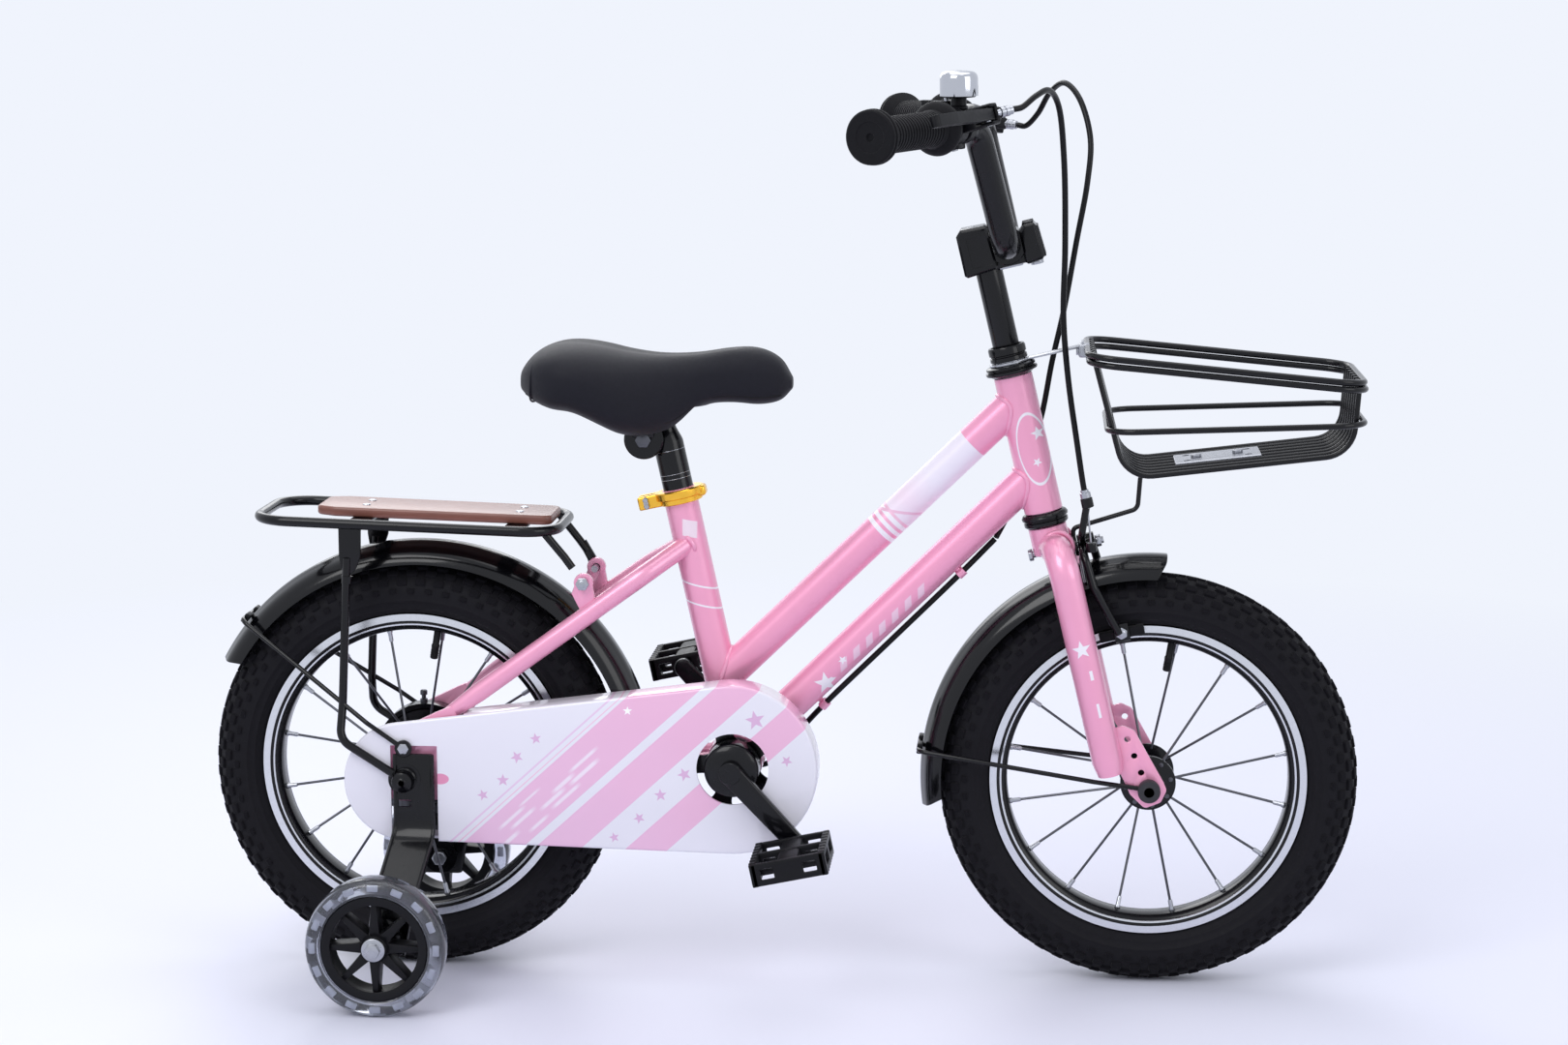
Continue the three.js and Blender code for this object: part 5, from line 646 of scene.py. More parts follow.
chain_steel = finish("chain_steel", "8E9096", rough=0.35, spread=0.12, metal=1, mottle=220, shade=0.25,
                     grain=700, relief=0.2)


def settle(piece, name, material, body, nodes=(), angle=35):
    """Names a finished piece, smooths it, and gives it its finish and its body."""
    piece.name = piece.data.name = name
    piece.data.materials.clear()
    piece.data.materials.append(material)
    put(piece)
    bpy.ops.object.shade_smooth_by_angle(angle=math.radians(angle))
    if body:
        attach(piece, body)
    if nodes:
        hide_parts(*nodes)
    return piece


# ---------------------------------------------------------------- camera, light and floor

def make_studio():
    camera_data = bpy.data.cameras.new("photo_camera")
    camera_data.lens, camera_data.sensor_width = 71.5, 36
    camera = bpy.data.objects.new("photo_camera", camera_data)
    bpy.context.scene.collection.objects.link(camera)
    turn, rise, reach = math.radians(4.745), math.radians(9.293), 2.6009
    target = Vector((0.0037, 0, 0.3855))
    back = Vector((math.sin(turn) * math.cos(rise), -math.cos(turn) * math.cos(rise), math.sin(rise)))
    camera.location = target + back * reach
    camera.rotation_euler = (-back).to_track_quat("-Z", "Y").to_euler()
    bpy.context.scene.camera = camera

    for name, place, size, power in (
            ("key_light", (-1.3, -2.2, 2.6), 1.8, 46), ("fill_light", (2.4, -1.6, 1.5), 1.6, 17),
            ("top_light", (0.1, 0.3, 3.0), 2.4, 30), ("back_light", (-0.9, 2.4, 1.8), 1.8, 24)):
        lamp_data = bpy.data.lights.new(name, "AREA")
        lamp_data.shape, lamp_data.size, lamp_data.energy = "SQUARE", size, power
        lamp = bpy.data.objects.new(name, lamp_data)
        bpy.context.scene.collection.objects.link(lamp)
        lamp.location = place
        aim = Vector((0, 0, 0.35)) - Vector(place)
        lamp.rotation_euler = aim.to_track_quat("-Z", "Y").to_euler()

    backdrop = linear("F0F4FD")
    world = bpy.data.worlds.new("studio")
    bpy.context.scene.world = world
    world.use_nodes = True
    tree = world.node_tree
    sky = tree.nodes["Background"]
    sky.inputs["Color"].default_value = (*backdrop, 1)
    seen = seen_ray(tree)
    strength = seen * 0.45 + 0.55
    tree.links.new(strength.socket, sky.inputs["Strength"])

    fresh()
    bpy.ops.mesh.primitive_circle_add(vertices=64, radius=14, fill_type="NGON")
    floor = bpy.context.object
    floor.name = "floor"
    material = bpy.data.materials.new("floor")
    material.use_nodes = True
    tree = material.node_tree
    shader = tree.nodes["Principled BSDF"]
    shader.inputs["Base Color"].default_value = (*linear("E2E3F3"), 1)
    shader.inputs["Roughness"].default_value = 0.55
    glow = tree.nodes.new("ShaderNodeEmission")
    glow.inputs["Color"].default_value = (*backdrop, 1)
    mix = tree.nodes.new("ShaderNodeMixShader")
    x, y, z = bike_place(tree)
    reach = ((x - ROW_X) * (x - ROW_X) + y * y).run("SQRT")
    far = ((reach - 500) * (1 / 1500.0)).run("ADD", 0.0, clamp=True)
    tree.links.new((far * seen_ray(tree)).socket, mix.inputs[0])
    tree.links.new(shader.outputs[0], mix.inputs[1])
    tree.links.new(glow.outputs[0], mix.inputs[2])
    tree.links.new(mix.outputs[0], tree.nodes["Material Output"].inputs[0])
    floor.data.materials.append(material)
    floor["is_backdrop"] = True
    bpy.context.scene.view_settings.view_transform = "Standard"


def seen_ray(tree):
    """One for what the camera sees, straight, mirrored or through clear plastic."""
    rays = tree.nodes.new("ShaderNodeLightPath")
    direct = Value(tree, rays.outputs["Is Camera Ray"])
    mirrored_ray = Value(tree, rays.outputs["Is Glossy Ray"])
    through = Value(tree, rays.outputs["Is Transmission Ray"])
    return direct.either(mirrored_ray).either(through)


make_studio()


# ---------------------------------------------------------------- wheels

TUBE_R, TUBE_HALF, TUBE_CENTRE = 21.9, 22.5, 149.6


def make_tyre(word, x):
    body = word + "_wheel"
    profile = []
    for i in range(-24, 25):
        turn = math.radians(i * 138 / 24)
        swell = 0.7 if abs(abs(i) - 18) <= 0.5 or abs(abs(i) - 21) <= 0.5 else 0.0
        profile.append((TUBE_CENTRE + (TUBE_R + swell) * math.cos(turn),
                        (TUBE_HALF + swell) * math.sin(turn)))
    profile += [(132.2, 12.2), (126, 11.8), (124.8, 9), (124.8, -9), (126, -11.8), (132.2, -12.2)]
    carcass = turned(profile, axle(x, AXLE_Z), 120)
    settle(carcass, word + "_tyre_carcass", sidewall_rubber, body, [word + "_tyre"])

    rows = [(0, 6.2, 11, 0.0), (21, 6.4, 10.5, 0.5), (42, 6.4, 10, 0.0), (62, 6.6, 9, 0.5),
            (82, 5.0, 6.5, 0.0)]
    count = 64
    blocks = []
    for turn, across, around, shift in rows:
        for side in ((1,) if turn == 0 else (1, -1)):
            lean = math.radians(turn * side)
            pitch = 2 * math.pi / count
            spot = (Matrix.Translation(at(x, 0, AXLE_Z)) @ Matrix.Rotation(shift * pitch, 4, "Y")
                    @ Matrix.Translation(Vector((0, TUBE_HALF * math.sin(lean),
                                                 TUBE_CENTRE + TUBE_R * math.cos(lean))) / 1000)
                    @ Matrix.Rotation(-lean, 4, "X"))
            proud = 2.35 if turn < 80 else 1.5
            knob = block(-around / 2, around / 2, -across / 2, across / 2, -1.5, proud, spot, 0.55, 1,
                         taper=0.14)
            blocks += ring(knob, count, x, AXLE_Z)
    settle(join(blocks), word + "_tyre_tread", tyre_rubber, body, [word + "_tyre"])


def make_rim(word, x):
    body = word + "_wheel"
    place = axle(x, AXLE_Z)
    half = [(131.9, 12.8), (132, 14.2), (131.6, 14.6), (125.2, 14.6), (124.2, 13.9), (121.5, 13.2),
            (117.8, 10.2), (117, 8.4)]
    inside = [(124, 4.5), (124, 9.5), (127, 12.2)]
    profile = half + [(r, -y) for r, y in reversed(half)] + [(r, -y) for r, y in reversed(inside)] + inside
    hoop = turned(profile, place, 144)
    settle(hoop, word + "_rim_hoop", black_paint, body, [word + "_rim"])
    bands = []
    for side in (-1, 1):
        for ring_profile in ([(131.7, 14.3), (131.5, 14.95), (125.7, 14.95), (125.4, 14.3)],
                             [(123.3, 13.1), (123.1, 14.15), (121.9, 13.95), (121.4, 12.9)]):
            bands.append(turned([(r, side * y) for r, y in ring_profile], place, 144))
    settle(join(bands), word + "_rim_bands", rim_silver, body, [word + "_rim"])


def make_spokes(word, x):
    body = word + "_wheel"
    root, root_side = (19.0, 22.0) if word == "front" else (21.0, 22.5)
    spokes, nipples = [], []
    for i in (0, 1):
        turn = math.radians((i + 0.5) * 22.5)
        side = -1 if i == 0 else 1

        def spot(radius, y):
            return at(x + radius * math.cos(turn), side * y, AXLE_Z + radius * math.sin(turn))
        elbow = bent([spot(root, root_side + 2.4), spot(root, root_side - 2.2), spot(116.5, 2)], 2.2, 4)
        wire = join([pipe(elbow, 1.1, 3), rod(spot(root, root_side + 1.6), spot(root, root_side + 2.9),
                                             2.0, 0.4, 12)])
        spokes += ring(wire, 8, x, AXLE_Z)
        run = (spot(116.5, 2) - spot(root, root_side - 2.2)).normalized()
        start = spot(116.5, 2) - run * 0.0095
        nipple = turned([(0, 0), (1.35, 0), (1.9, 1.2), (1.9, 7.2), (2.5, 8.2), (2.5, 9.8), (0, 9.8)],
                        along(start, start + run), 12)
        nipples += ring(nipple, 8, x, AXLE_Z)
    settle(join(spokes), word + "_spokes", dark_steel, body, [word + "_hub"])
    settle(join(nipples), word + "_spoke_nipples", steel, body, [word + "_hub"])
    turn = math.radians(81)

    def on_valve(radius):
        return at(x + radius * math.cos(turn), 0, AXLE_Z + radius * math.sin(turn))
    stem = turned([(0, 0), (2.6, 0), (3.4, 0.8), (3.4, 10), (3.6, 10.6), (3.6, 12), (3.0, 13),
                   (3.0, 27), (0, 27)], along(on_valve(91.5), on_valve(118)), 20)
    ribs = [turned([(3.2, r), (3.7, r + 0.5), (3.2, r + 1)], along(on_valve(91.5), on_valve(118)), 20)
            for r in (2.5, 4.5, 6.5)]
    settle(join([stem] + ribs), word + "_valve", black_plastic, body, [word + "_rim"])


def make_hubs():
    place = axle(WHEELBASE, AXLE_Z)
    half = [(5.4, 35.4), (8.4, 35.4), (9, 34.8), (9, 28), (10, 25.6), (22.2, 24), (23, 23.2), (23, 20.9),
            (22.3, 20.2), (14.5, 19.2), (11.6, 15), (10.6, 6)]
    settle(turned(half + [(r, -y) for r, y in reversed(half)], place, 64), "front_hub_shell", black_paint,
           "front_wheel", ["front_hub"])
    half_right = [(r, y * 1.0) for r, y in [(5.4, -45.4), (11.4, -45.4), (11.7, -45), (11.7, -31),
                                            (14, -28.5), (24.2, -25.2), (25, -24.4), (25, -22),
                                            (24.3, -21.4), (17, -20), (14.6, -14)]]
    half_left = [(14.6, 14), (17, 20), (24.3, 21.4), (25, 22), (25, 24.4), (24.4, 25.2), (27, 30.8),
                 (38.4, 31.4), (39, 32), (39, 44.4), (38.2, 45), (5.4, 45)]
    settle(turned(half_right + half_left, axle(0, AXLE_Z), 64), "rear_hub_shell", black_paint,
           "rear_wheel", ["rear_hub"])

    for x, body, nodes, reach, washer_y, nut_y in (
            (WHEELBASE, "steering_body", ["front_axle"], 56.3, 47.6, 48.6),
            (0.0, "frame_body", ["rear_axle"], 73.0, 63.4, 64.4)):
        word = "front" if x else "rear"
        bar = turned([(0, -reach), (3.6, -reach), (4.4, -reach + 0.8), (4.4, reach - 0.8), (3.6, reach),
                      (0, reach)], axle(x, AXLE_Z), 24)
        cones = []
        for side in (-1, 1):
            face = 36 if x else 46
            outer = 40.8 if x else 49.7
            cones.append(turned([(4.3, side * face), (6.4, side * face), (6.4, side * (face + 2)),
                                 (7.4, side * (face + 2.4)), (7.4, side * outer), (4.3, side * outer)],
                                axle(x, AXLE_Z), 24))
        settle(join([bar] + cones), word + "_axle_bar", steel, body, nodes)
        nuts, caps = [], []
        for side in (-1, 1):
            inner = axle(x, AXLE_Z) @ Matrix.Translation((0, 0, side * washer_y / 1000))
            if side < 0:
                inner = inner @ Matrix.Rotation(math.pi, 4, "X")
            nuts.append(turned([(4.6, 0), (8.6, 0), (8.6, 0.9), (4.6, 0.9)], inner, 32))
            nuts.append(hexagon(inner @ Matrix.Translation((0, 0, 0.0009)), 13.5,
                                5.2 if x else 6.0, 3.2))
            if x:
                caps.append(turned([(8.9, 1.0), (9.3, 1.4), (9.3, 7.4), (8.5, 8.6), (0, 9.0)], inner, 40))
        if caps:
            settle(join(caps), "front_axle_caps", cap_rubber, body, nodes)
        settle(join(nuts), word + "_axle_nuts", dark_steel if x else steel, body, nodes)


for word, wheel_x in (("front", WHEELBASE), ("rear", 0.0)):
    make_tyre(word, wheel_x)
    make_rim(word, wheel_x)
    make_spokes(word, wheel_x)
make_hubs()


# ---------------------------------------------------------------- frame

CRANK_POINT = at(CRANK[0], 0, CRANK[1])
SEAT_TUBE_TOP = at(SEAT_TOP[0], 0, SEAT_TOP[1])
TUBE = 14.3


def make_frame():
    body = "frame_body"
    top_foot, top_head = at(260.04, 0, 250.48), at(506.58, 0, 491.11)
    down_head = at(521.06, 0, 430.31)
    head_low, head_high = col(0, 0, 0), col(0, 0, 116.3)
    for start, end, name, material in ((top_foot, top_head, "top_tube", top_tube_paint),
                                       (CRANK_POINT, down_head, "down_tube", down_tube_paint)):
        reach = (end - start).length * 1000
        wall = [(TUBE, reach * i / 16) for i in range(17)]
        tube = turned([(0, 0), *wall, (0, reach)], along(start, end), 48)
        settle(tube, name, material, body, ["frame"])
    seat = turned([(0, 20), (TUBE, 20), (TUBE, 231.6), (TUBE - 0.6, 232.4), (12.9, 232.4), (12.9, 150),
                   (0, 150)], along(CRANK_POINT, SEAT_TUBE_TOP), 48)
    settle(seat, "seat_tube", seat_tube_paint, body, ["frame"])
    head = turned([(13.6, 0.3), (15.6, 0.3), (16, 0.8), (16, 115.6), (15.6, 116.1), (13.6, 116.1)],
                  along(head_low, head_high), 48)
    settle(head, "head_tube", head_tube_paint, body, ["frame"])
    shell = turned([(16.3, -33.9), (22.4, -33.9), (23, -33.3), (23, 33.3), (22.4, 33.9), (16.3, 33.9)],
                   axle(*CRANK), 48)
    settle(shell, "crank_shell", pink_paint, body, ["frame"])

    seams = [seam(top_foot, top_head, TUBE, CRANK_POINT, SEAT_TUBE_TOP, TUBE, 1),
             seam(top_head, top_foot, TUBE, head_low, head_high, 16, 1),
             seam(down_head, CRANK_POINT, TUBE, head_low, head_high, 16, 1),
             seam(CRANK_POINT, SEAT_TUBE_TOP, TUBE, at(CRANK[0], -1, CRANK[1]),
                  at(CRANK[0], 1, CRANK[1]), 23, 1),
             seam(CRANK_POINT, down_head, TUBE, at(CRANK[0], -1, CRANK[1]),
                  at(CRANK[0], 1, CRANK[1]), 23, 1)]
    beads = [pipe(line, 2.0, 3, closed=True) for line in seams]
    stays = []
    for side in (-1, 1):
        seat_stay = bent([at(234.06, side * 6, 368.66), at(198, side * 36, 345), at(36, side * 49, 228)],
                         36, 10)
        chain_stay = bent([at(258, side * 14, 184), at(214, side * 27, 182), at(165, side * 38, 180),
                           at(50, side * 50, 176)], 40, 8)
        for path, flat in ((seat_stay, 34), (chain_stay, 40)):
            end = path[-1]
            path = path[:-1] + [end + (path[-2] - end).normalized() * 0.03, end]
            shares = [1.0] * (len(path) - 1) + [0.72]
            stays.append(pipe(path, 8, 8, shares=shares))
        beads.append(pipe(circle_path(at(232.5, side * 8.5, 367), Vector((-0.62, side * 0.62, -0.4)),
                                      8.6), 1.8, 3, closed=True))
        beads.append(pipe(circle_path(at(252.6, side * 15.5, 184), Vector((-1, side * 0.3, 0)), 8.6),
                          1.8, 3, closed=True))
    stays.append(pipe([at(158, -36, 316), at(158, 36, 316)], 5, 6))
    settle(join(stays), "frame_stays", pink_paint, body, ["frame"])
    settle(join(beads), "frame_welds", weld_paint, body, ["frame"])

    outline = [(-17, 163.4), (-11, 154), (20, 154), (58, 163), (58, 185), (26, 191), (46, 222), (40, 236),
               (26, 230), (-11, 212), (-17, 206), (-17, 179.3), (0, 179.3), (0, 168.7), (-17, 168.7)]
    ends = []
    for side in (-1, 1):
        low, high = sorted((side * 50, side * 55))
        hole = rod(at(0, low - 2, 201), at(0, high + 2, 201), 3.3)
        slot_end = rod(at(0, low - 2, AXLE_Z), at(0, high + 2, AXLE_Z), 5.3)
        ends.append(slab(rounded(outline, 3, 3), low, high, edge=0.6, cutters=[hole, slot_end]))
    settle(join(ends), "rear_dropouts", pink_paint, body, ["frame"])

    lugs = []
    for side in (-1, 1):
        low, high = sorted((side * 35, side * 41))
        lug = circle(149, 339, 8, 16, -20, 200) + [(139, 330), (146, 316), (160, 316)]
        hole = rod(at(149, low - 2, 339), at(149, high + 2, 339), 3.2)
        lugs.append(slab(lug, low, high, edge=0.8, cutters=[hole]))
    settle(join(lugs), "rack_lugs", pink_paint, body, ["frame"])


def circle_path(centre, axis, radius, count=32):
    """A circle in space, as a path."""
    place = along(centre, centre + axis)
    return [place @ Vector((radius / 1000 * math.cos(2 * math.pi * i / count),
                            radius / 1000 * math.sin(2 * math.pi * i / count), 0))
            for i in range(count)]


def make_headset():
    place = COLUMN
    lower = turned([(12.9, -11.4), (17.2, -11.4), (18.4, -10.2), (18.6, -7.4), (17.4, -6.8), (17.4, -6),
                    (19.2, -5.2), (19.5, -3.4), (18.2, -1.2), (16.6, -0.4), (12.9, -0.4)], place, 48)
    settle(lower, "headset_lower_ring", black_paint, "frame_body", ["headset_lower_cup"])
    upper = turned([(12.9, 116.8), (16.8, 116.8), (18.2, 118), (21, 118.8), (21.6, 120), (21.4, 121.4),
                    (19.4, 122), (19.4, 122.6), (20.6, 123.2), (20.4, 124.8), (18.6, 125.8),
                    (12.9, 125.8)], place, 48)
    settle(upper, "headset_upper_ring", black_paint, "frame_body", ["headset_upper_cup"])
    nut = turned([(12.9, 129), (15, 129), (15.6, 129.8), (15.4, 132.6), (14.6, 133.2), (14.6, 134),
                  (15.6, 134.8), (15.6, 139.6), (14.8, 141.2), (12.9, 141.2)], place, 40)
    settle(nut, "headset_lock_ring", black_paint, "steering_body", ["headset_locknut"])


def make_fork():
    body = "steering_body"
    parts = [turned([(0, -35.6), (15, -35.6), (16, -34.6), (16, -12.6), (15.2, -11.9), (0, -11.9)],
                    COLUMN, 48)]
    for side in (-1, 1):
        route = bent([col(0, side * 2, -30), col(6.9, side * 47, -30), col(6.9, side * 47, -219.4)], 28, 14)
        tip = route[-1]
        route = route[:-1] + [tip + (route[-2] - tip).normalized() * 0.012, tip]
        blade = pipe(route, 12.7, 10, shares=[1.0] * (len(route) - 1) + [0.8])
        parts.append(blade)
    settle(join(parts), "fork_blades", fork_paint, body, ["fork"])
    settle(turned([(10.9, -11.4), (12.6, -11.4), (12.6, 136.8), (10.9, 136.8)], COLUMN, 40),
           "fork_steerer", steel, body, ["fork"])
    beads = [pipe(circle_path(col(5, side * 16.2, -30), Vector((0, 1, 0)), 12.9), 1.8, 3, closed=True)
             for side in (-1, 1)]
    settle(join(beads), "fork_welds", weld_paint, body, ["fork"])
    outline = [(6, -184), (26, -182), (34, -188), (48, -236), (49, -243), (42, -252), (28, -254),
               (19, -240), (14, -216), (6, -216)]
    plates = []
    for side in (-1, 1):
        low, high = sorted((side * 41, side * 44.5))
        holes = [rod(col(x, low - 2, z), col(x, high + 2, z), 2.6)
                 for x, z in ((26.8, -194), (29.3, -209), (31.8, -224))]
        holes.append(rod(col(34.9, low - 2, -238.8), col(34.9, high + 2, -238.8), 4.8))
        plates.append(slab(rounded(outline, 4, 4), low, high, COLUMN, 0.6, holes))
    settle(join(plates), "fork_plates", pink_paint, body, ["fork"])


def make_guard():
    def outline(inset):
        return belt(-1, 172, 50.5 - inset, 274, 187, 71.5 - inset)
    cover = slab(outline(0), -62, -32, edge=2.4, segments=4)
    hollow = slab(outline(2.2), -59.8, -30, edge=0)
    hole = rod(at(275, -64, 188), at(275, -56, 188), 30, sides=64)
    window = block(-11.6, 27.8, -64, -50.5, 100, 203, edge=0)
    rim_pass = block(-56, 50, -59.6, -30, 184, 240, edge=0)
    stay_holes = [pipe(bent([at(234.06, -6, 368.66), at(198, -36, 345), at(36, -49, 228),
                             at(20, -50.3, 216.4)], 36, 6), 9.5, 5),
                  pipe([at(258, -14, 184), at(214, -27, 182), at(165, -38, 180), at(50, -50, 176),
                        at(40, -51, 175.6)], 9.5, 5)]
    cut(cover, hollow, hole, window, rim_pass, *stay_holes)
    settle(cover, "guard_cover", guard_plastic, "frame_body", ["chain_guard"], angle=28)


make_frame()
make_headset()
make_fork()
make_guard()


# ---------------------------------------------------------------- saddle and post

SADDLE_ROWS = ((0, .3, .66, .5), (.04, .66, .86, .38), (.12, .92, .975, .28), (.2, 1, .995, .25),
               (.3, .96, .96, .11), (.38, .87, .91, 0), (.49, .66, .87, 0), (.58, .5, .87, .08),
               (.67, .41, .89, .31), (.78, .37, .94, .35), (.88, .35, .93, .33), (.96, .27, .81, .38),
               (1, .12, .62, .5))


def row_at(share):
    """Half width, top and underside of the saddle at a share of its length."""
    spots = [row[0] for row in SADDLE_ROWS]
    i = max(1, min(len(spots) - 2, next((k for k, s in enumerate(spots) if s > share), len(spots)) - 1))
    i = max(0, min(len(spots) - 2, i))
    before, first, last, after = (SADDLE_ROWS[max(0, min(len(spots) - 1, k))]
                                  for k in (i - 1, i, i + 1, i + 2))
    t = (share - first[0]) / (last[0] - first[0])
    values = []
    for k in (1, 2, 3):
        step = last[0] - first[0]
        rise0 = (last[k] - before[k]) / max(last[0] - before[0], 1e-6) * step
        rise1 = (after[k] - first[k]) / max(after[0] - first[0], 1e-6) * step
        a = 2 * first[k] - 2 * last[k] + rise0 + rise1
        b = -3 * first[k] + 3 * last[k] - 2 * rise0 - rise1
        values.append(((a * t + b) * t + rise0) * t + first[k])
    return values


def make_saddle():
    rear, length, top, height, half_width = 96.6, 223.4, 537.0, 77.0, 72.0
    base = top - height
    rows, around = 40, 48
    fresh()
    bpy.ops.mesh.primitive_uv_sphere_add(segments=around, ring_count=rows + 1, radius=1)
    cushion = bpy.context.object
    for vertex in cushion.data.vertices:
        step = round(math.acos(max(-1, min(1, vertex.co.z))) / math.pi * (rows + 1))
        share = (1 - math.cos(math.pi * max(0, min(rows - 1, step - 1)) / (rows - 1))) / 2
        half, high, low = row_at(share)
        if step in (0, rows + 1):
            middle = base + (high + low) / 2 * height
            nudge = -0.6 if step == 0 else 0.6
            vertex.co = at(rear + share * length + nudge, 0, middle)
            continue
        turn = math.atan2(vertex.co.y, vertex.co.x)
        c, s = math.cos(turn), math.sin(turn)
        y = half * half_width * math.copysign(abs(c) ** 0.78, c)
        power = 0.8 if s > 0 else 0.62
        z = base + ((high + low) / 2 + (high - low) / 2 * math.copysign(abs(s) ** power, s)) * height
        channel = max(0.0, 1 - (abs(y) / 9) ** 2) * (1.6 if s > 0 and 0.12 < share < 0.8 else 0)
        vertex.co = at(rear + share * length, y, z - channel)
    tidy_mesh(cushion)
    apply(cushion, "SUBSURF", levels=1, render_levels=1)
    well = block(158, 258, -25, 25, 440, 485, edge=0)
    cut(cushion, well)
    settle(cushion, "saddle_cushion", saddle_cover, "saddle_body", ["saddle"], angle=50)

    edges = []
    for side in (-1, 1):
        line = []
        for i in range(41):
            share = 0.03 + 0.93 * i / 40
            half, high, low = row_at(share)
            line.append(at(rear + share * length, side * half * half_width * 0.83,
                           base + ((high + low) / 2 - (high - low) / 2 * 0.66) * height))
        edges.append(line)
    seam_line = edges[0] + edges[1][::-1]
    settle(pipe(seam_line, 1.5, 3, closed=True), "saddle_edge_piping", base_plastic, "saddle_body",
           ["saddle"])

    share = 0.055
    half, high, low = row_at(share)
    welt = []
    for i in range(48):
        c, s = math.cos(2 * math.pi * i / 48), math.sin(2 * math.pi * i / 48)
        welt.append(at(rear + share * length + 2.5 * s, half * half_width * math.copysign(abs(c) ** 0.78, c),
                       base + ((high + low) / 2 + (high - low) / 2 * math.copysign(
                           abs(s) ** (0.8 if s > 0 else 0.62), s)) * height))
    settle(pipe(welt, 0.9, 3, closed=True), "saddle_rear_seam", saddle_cover, "saddle_body", ["saddle"])

    place = at(197, 0, 456)
    rails = []
    for side in (-1, 1):
        route = [at(166, side * 15, 481), at(229, side * 15, 481)]
        rails.append(pipe(route, 3.4, 5))
    settle(join(rails), "saddle_rails", steel, "saddle_body", ["saddle_clamp"])
    cheeks = []
    for side in (-1, 1):
        low, high = sorted((side * 7.4, side * 15.9))
        cheeks.append(turned([(0, low), (15.4, low), (16.5, low + 1.1), (16.5, high - 1.1),
                              (15.4, high), (0, high)], axle(197, 456), 48))
        cheeks.append(block(188, 206, side * 15 - 5.2, side * 15 + 5.2, 458, 482.5, edge=1.6, segments=3))
    settle(join(cheeks), "saddle_clamp_cheeks", black_paint, "saddle_body", ["saddle_clamp"])
    bolt = [turned([(0, -18.6), (3.9, -18.6), (3.9, 18.6), (0, 18.6)], axle(197, 456), 24)]
    for side in (-1, 1):
        outer = axle(197, 456, side * 15.9)
        if side < 0:
            outer = outer @ Matrix.Rotation(math.pi, 4, "X")
        bolt.append(hexagon(outer, 12, 4.4, 1.4))
    settle(join(bolt), "saddle_clamp_bolt", dark_steel, "saddle_body", ["saddle_clamp"])

    top_point = SEAT_TUBE_TOP
    foot = top_point - SEAT_UP * 0.095
    post = turned([(11.2, 0), (12.4, 0), (12.7, 0.4), (12.7, 137.4), (12.3, 139.4), (10.2, 146), (9.5, 148.4),
                   (9.3, 150), (9.3, 164), (8.4, 165), (0, 165), (0, 120), (11.2, 120)],
                  along(foot, top_point), 48)
    ear = turned([(4.3, -6.9), (14.4, -6.9), (15, -6.3), (15, 6.3), (14.4, 6.9), (4.3, 6.9)],
                 axle(197, 456), 48)
    neck = pipe([top_point + SEAT_UP * 0.054, top_point + SEAT_UP * 0.060 + Vector((-0.006, 0, 0)),
                 place + Vector((0.004, 0, 0))], 6.6, 5)
    settle(join([post, neck, ear]), "seat_post_tube", black_paint, "seat_post_body", ["seat_post"])
    marks = [pipe(circle_path(top_point + SEAT_UP * s, SEAT_UP, 12.58, 40), 0.24, 1, closed=True)
             for s in (0.012, 0.016, 0.036)]
    settle(join(marks), "seat_post_lines", steel, "seat_post_body", ["seat_post"])

    tilt = math.radians(12.4)
    collar_place = Matrix.Translation(top_point) @ Matrix.Rotation(-tilt, 4, "Y")
    ring_piece = turned([(14.5, -8.8), (17.6, -8.8), (18.4, -8.2), (18.6, -4.6), (20.9, -3.6), (21, -3.2),
                         (21, 1.8), (20.2, 2.8), (13.2, 2.9), (13.2, 0.2), (14.5, 0.2)], collar_place, 64)
    lugs = []
    for side in (-1, 1):
        low, high = sorted((side * 2.2, side * 9))
        lugs.append(block(-35, -14.5, low, high, -8.6, 2.6, collar_place, 1.4, 3))
    lobe = block(15, 22.6, -8, 8, -6.6, 2.2, collar_place, 2.4, 3)
    gold = join([ring_piece, lobe] + lugs)
    settle(gold, "seat_clamp_ring", gold_anodised, "frame_body", ["seat_clamp"])
    bolts = []
    for z in (-5.6, -0.4):
        for side in (-1, 1):
            spot = collar_place @ Matrix.Translation((-0.028, side * 0.0088, z / 1000)) @ Matrix.Rotation(
                -side * math.pi / 2, 4, "X")
            bolts.append(turned([(0, 0), (2.4, 0), (2.4, 2.6), (1.9, 3.2), (0, 3.2)], spot, 20))
    start, end = (collar_place @ Vector((-0.028, y, -0.003)) for y in (-0.0118, 0.0118))
    bolts.append(rod(start, end, 2.2, 0.3, 16))
    settle(join(bolts), "seat_clamp_bolts", steel, "frame_body", ["seat_clamp"])


# ---------------------------------------------------------------- fenders, stays and rack

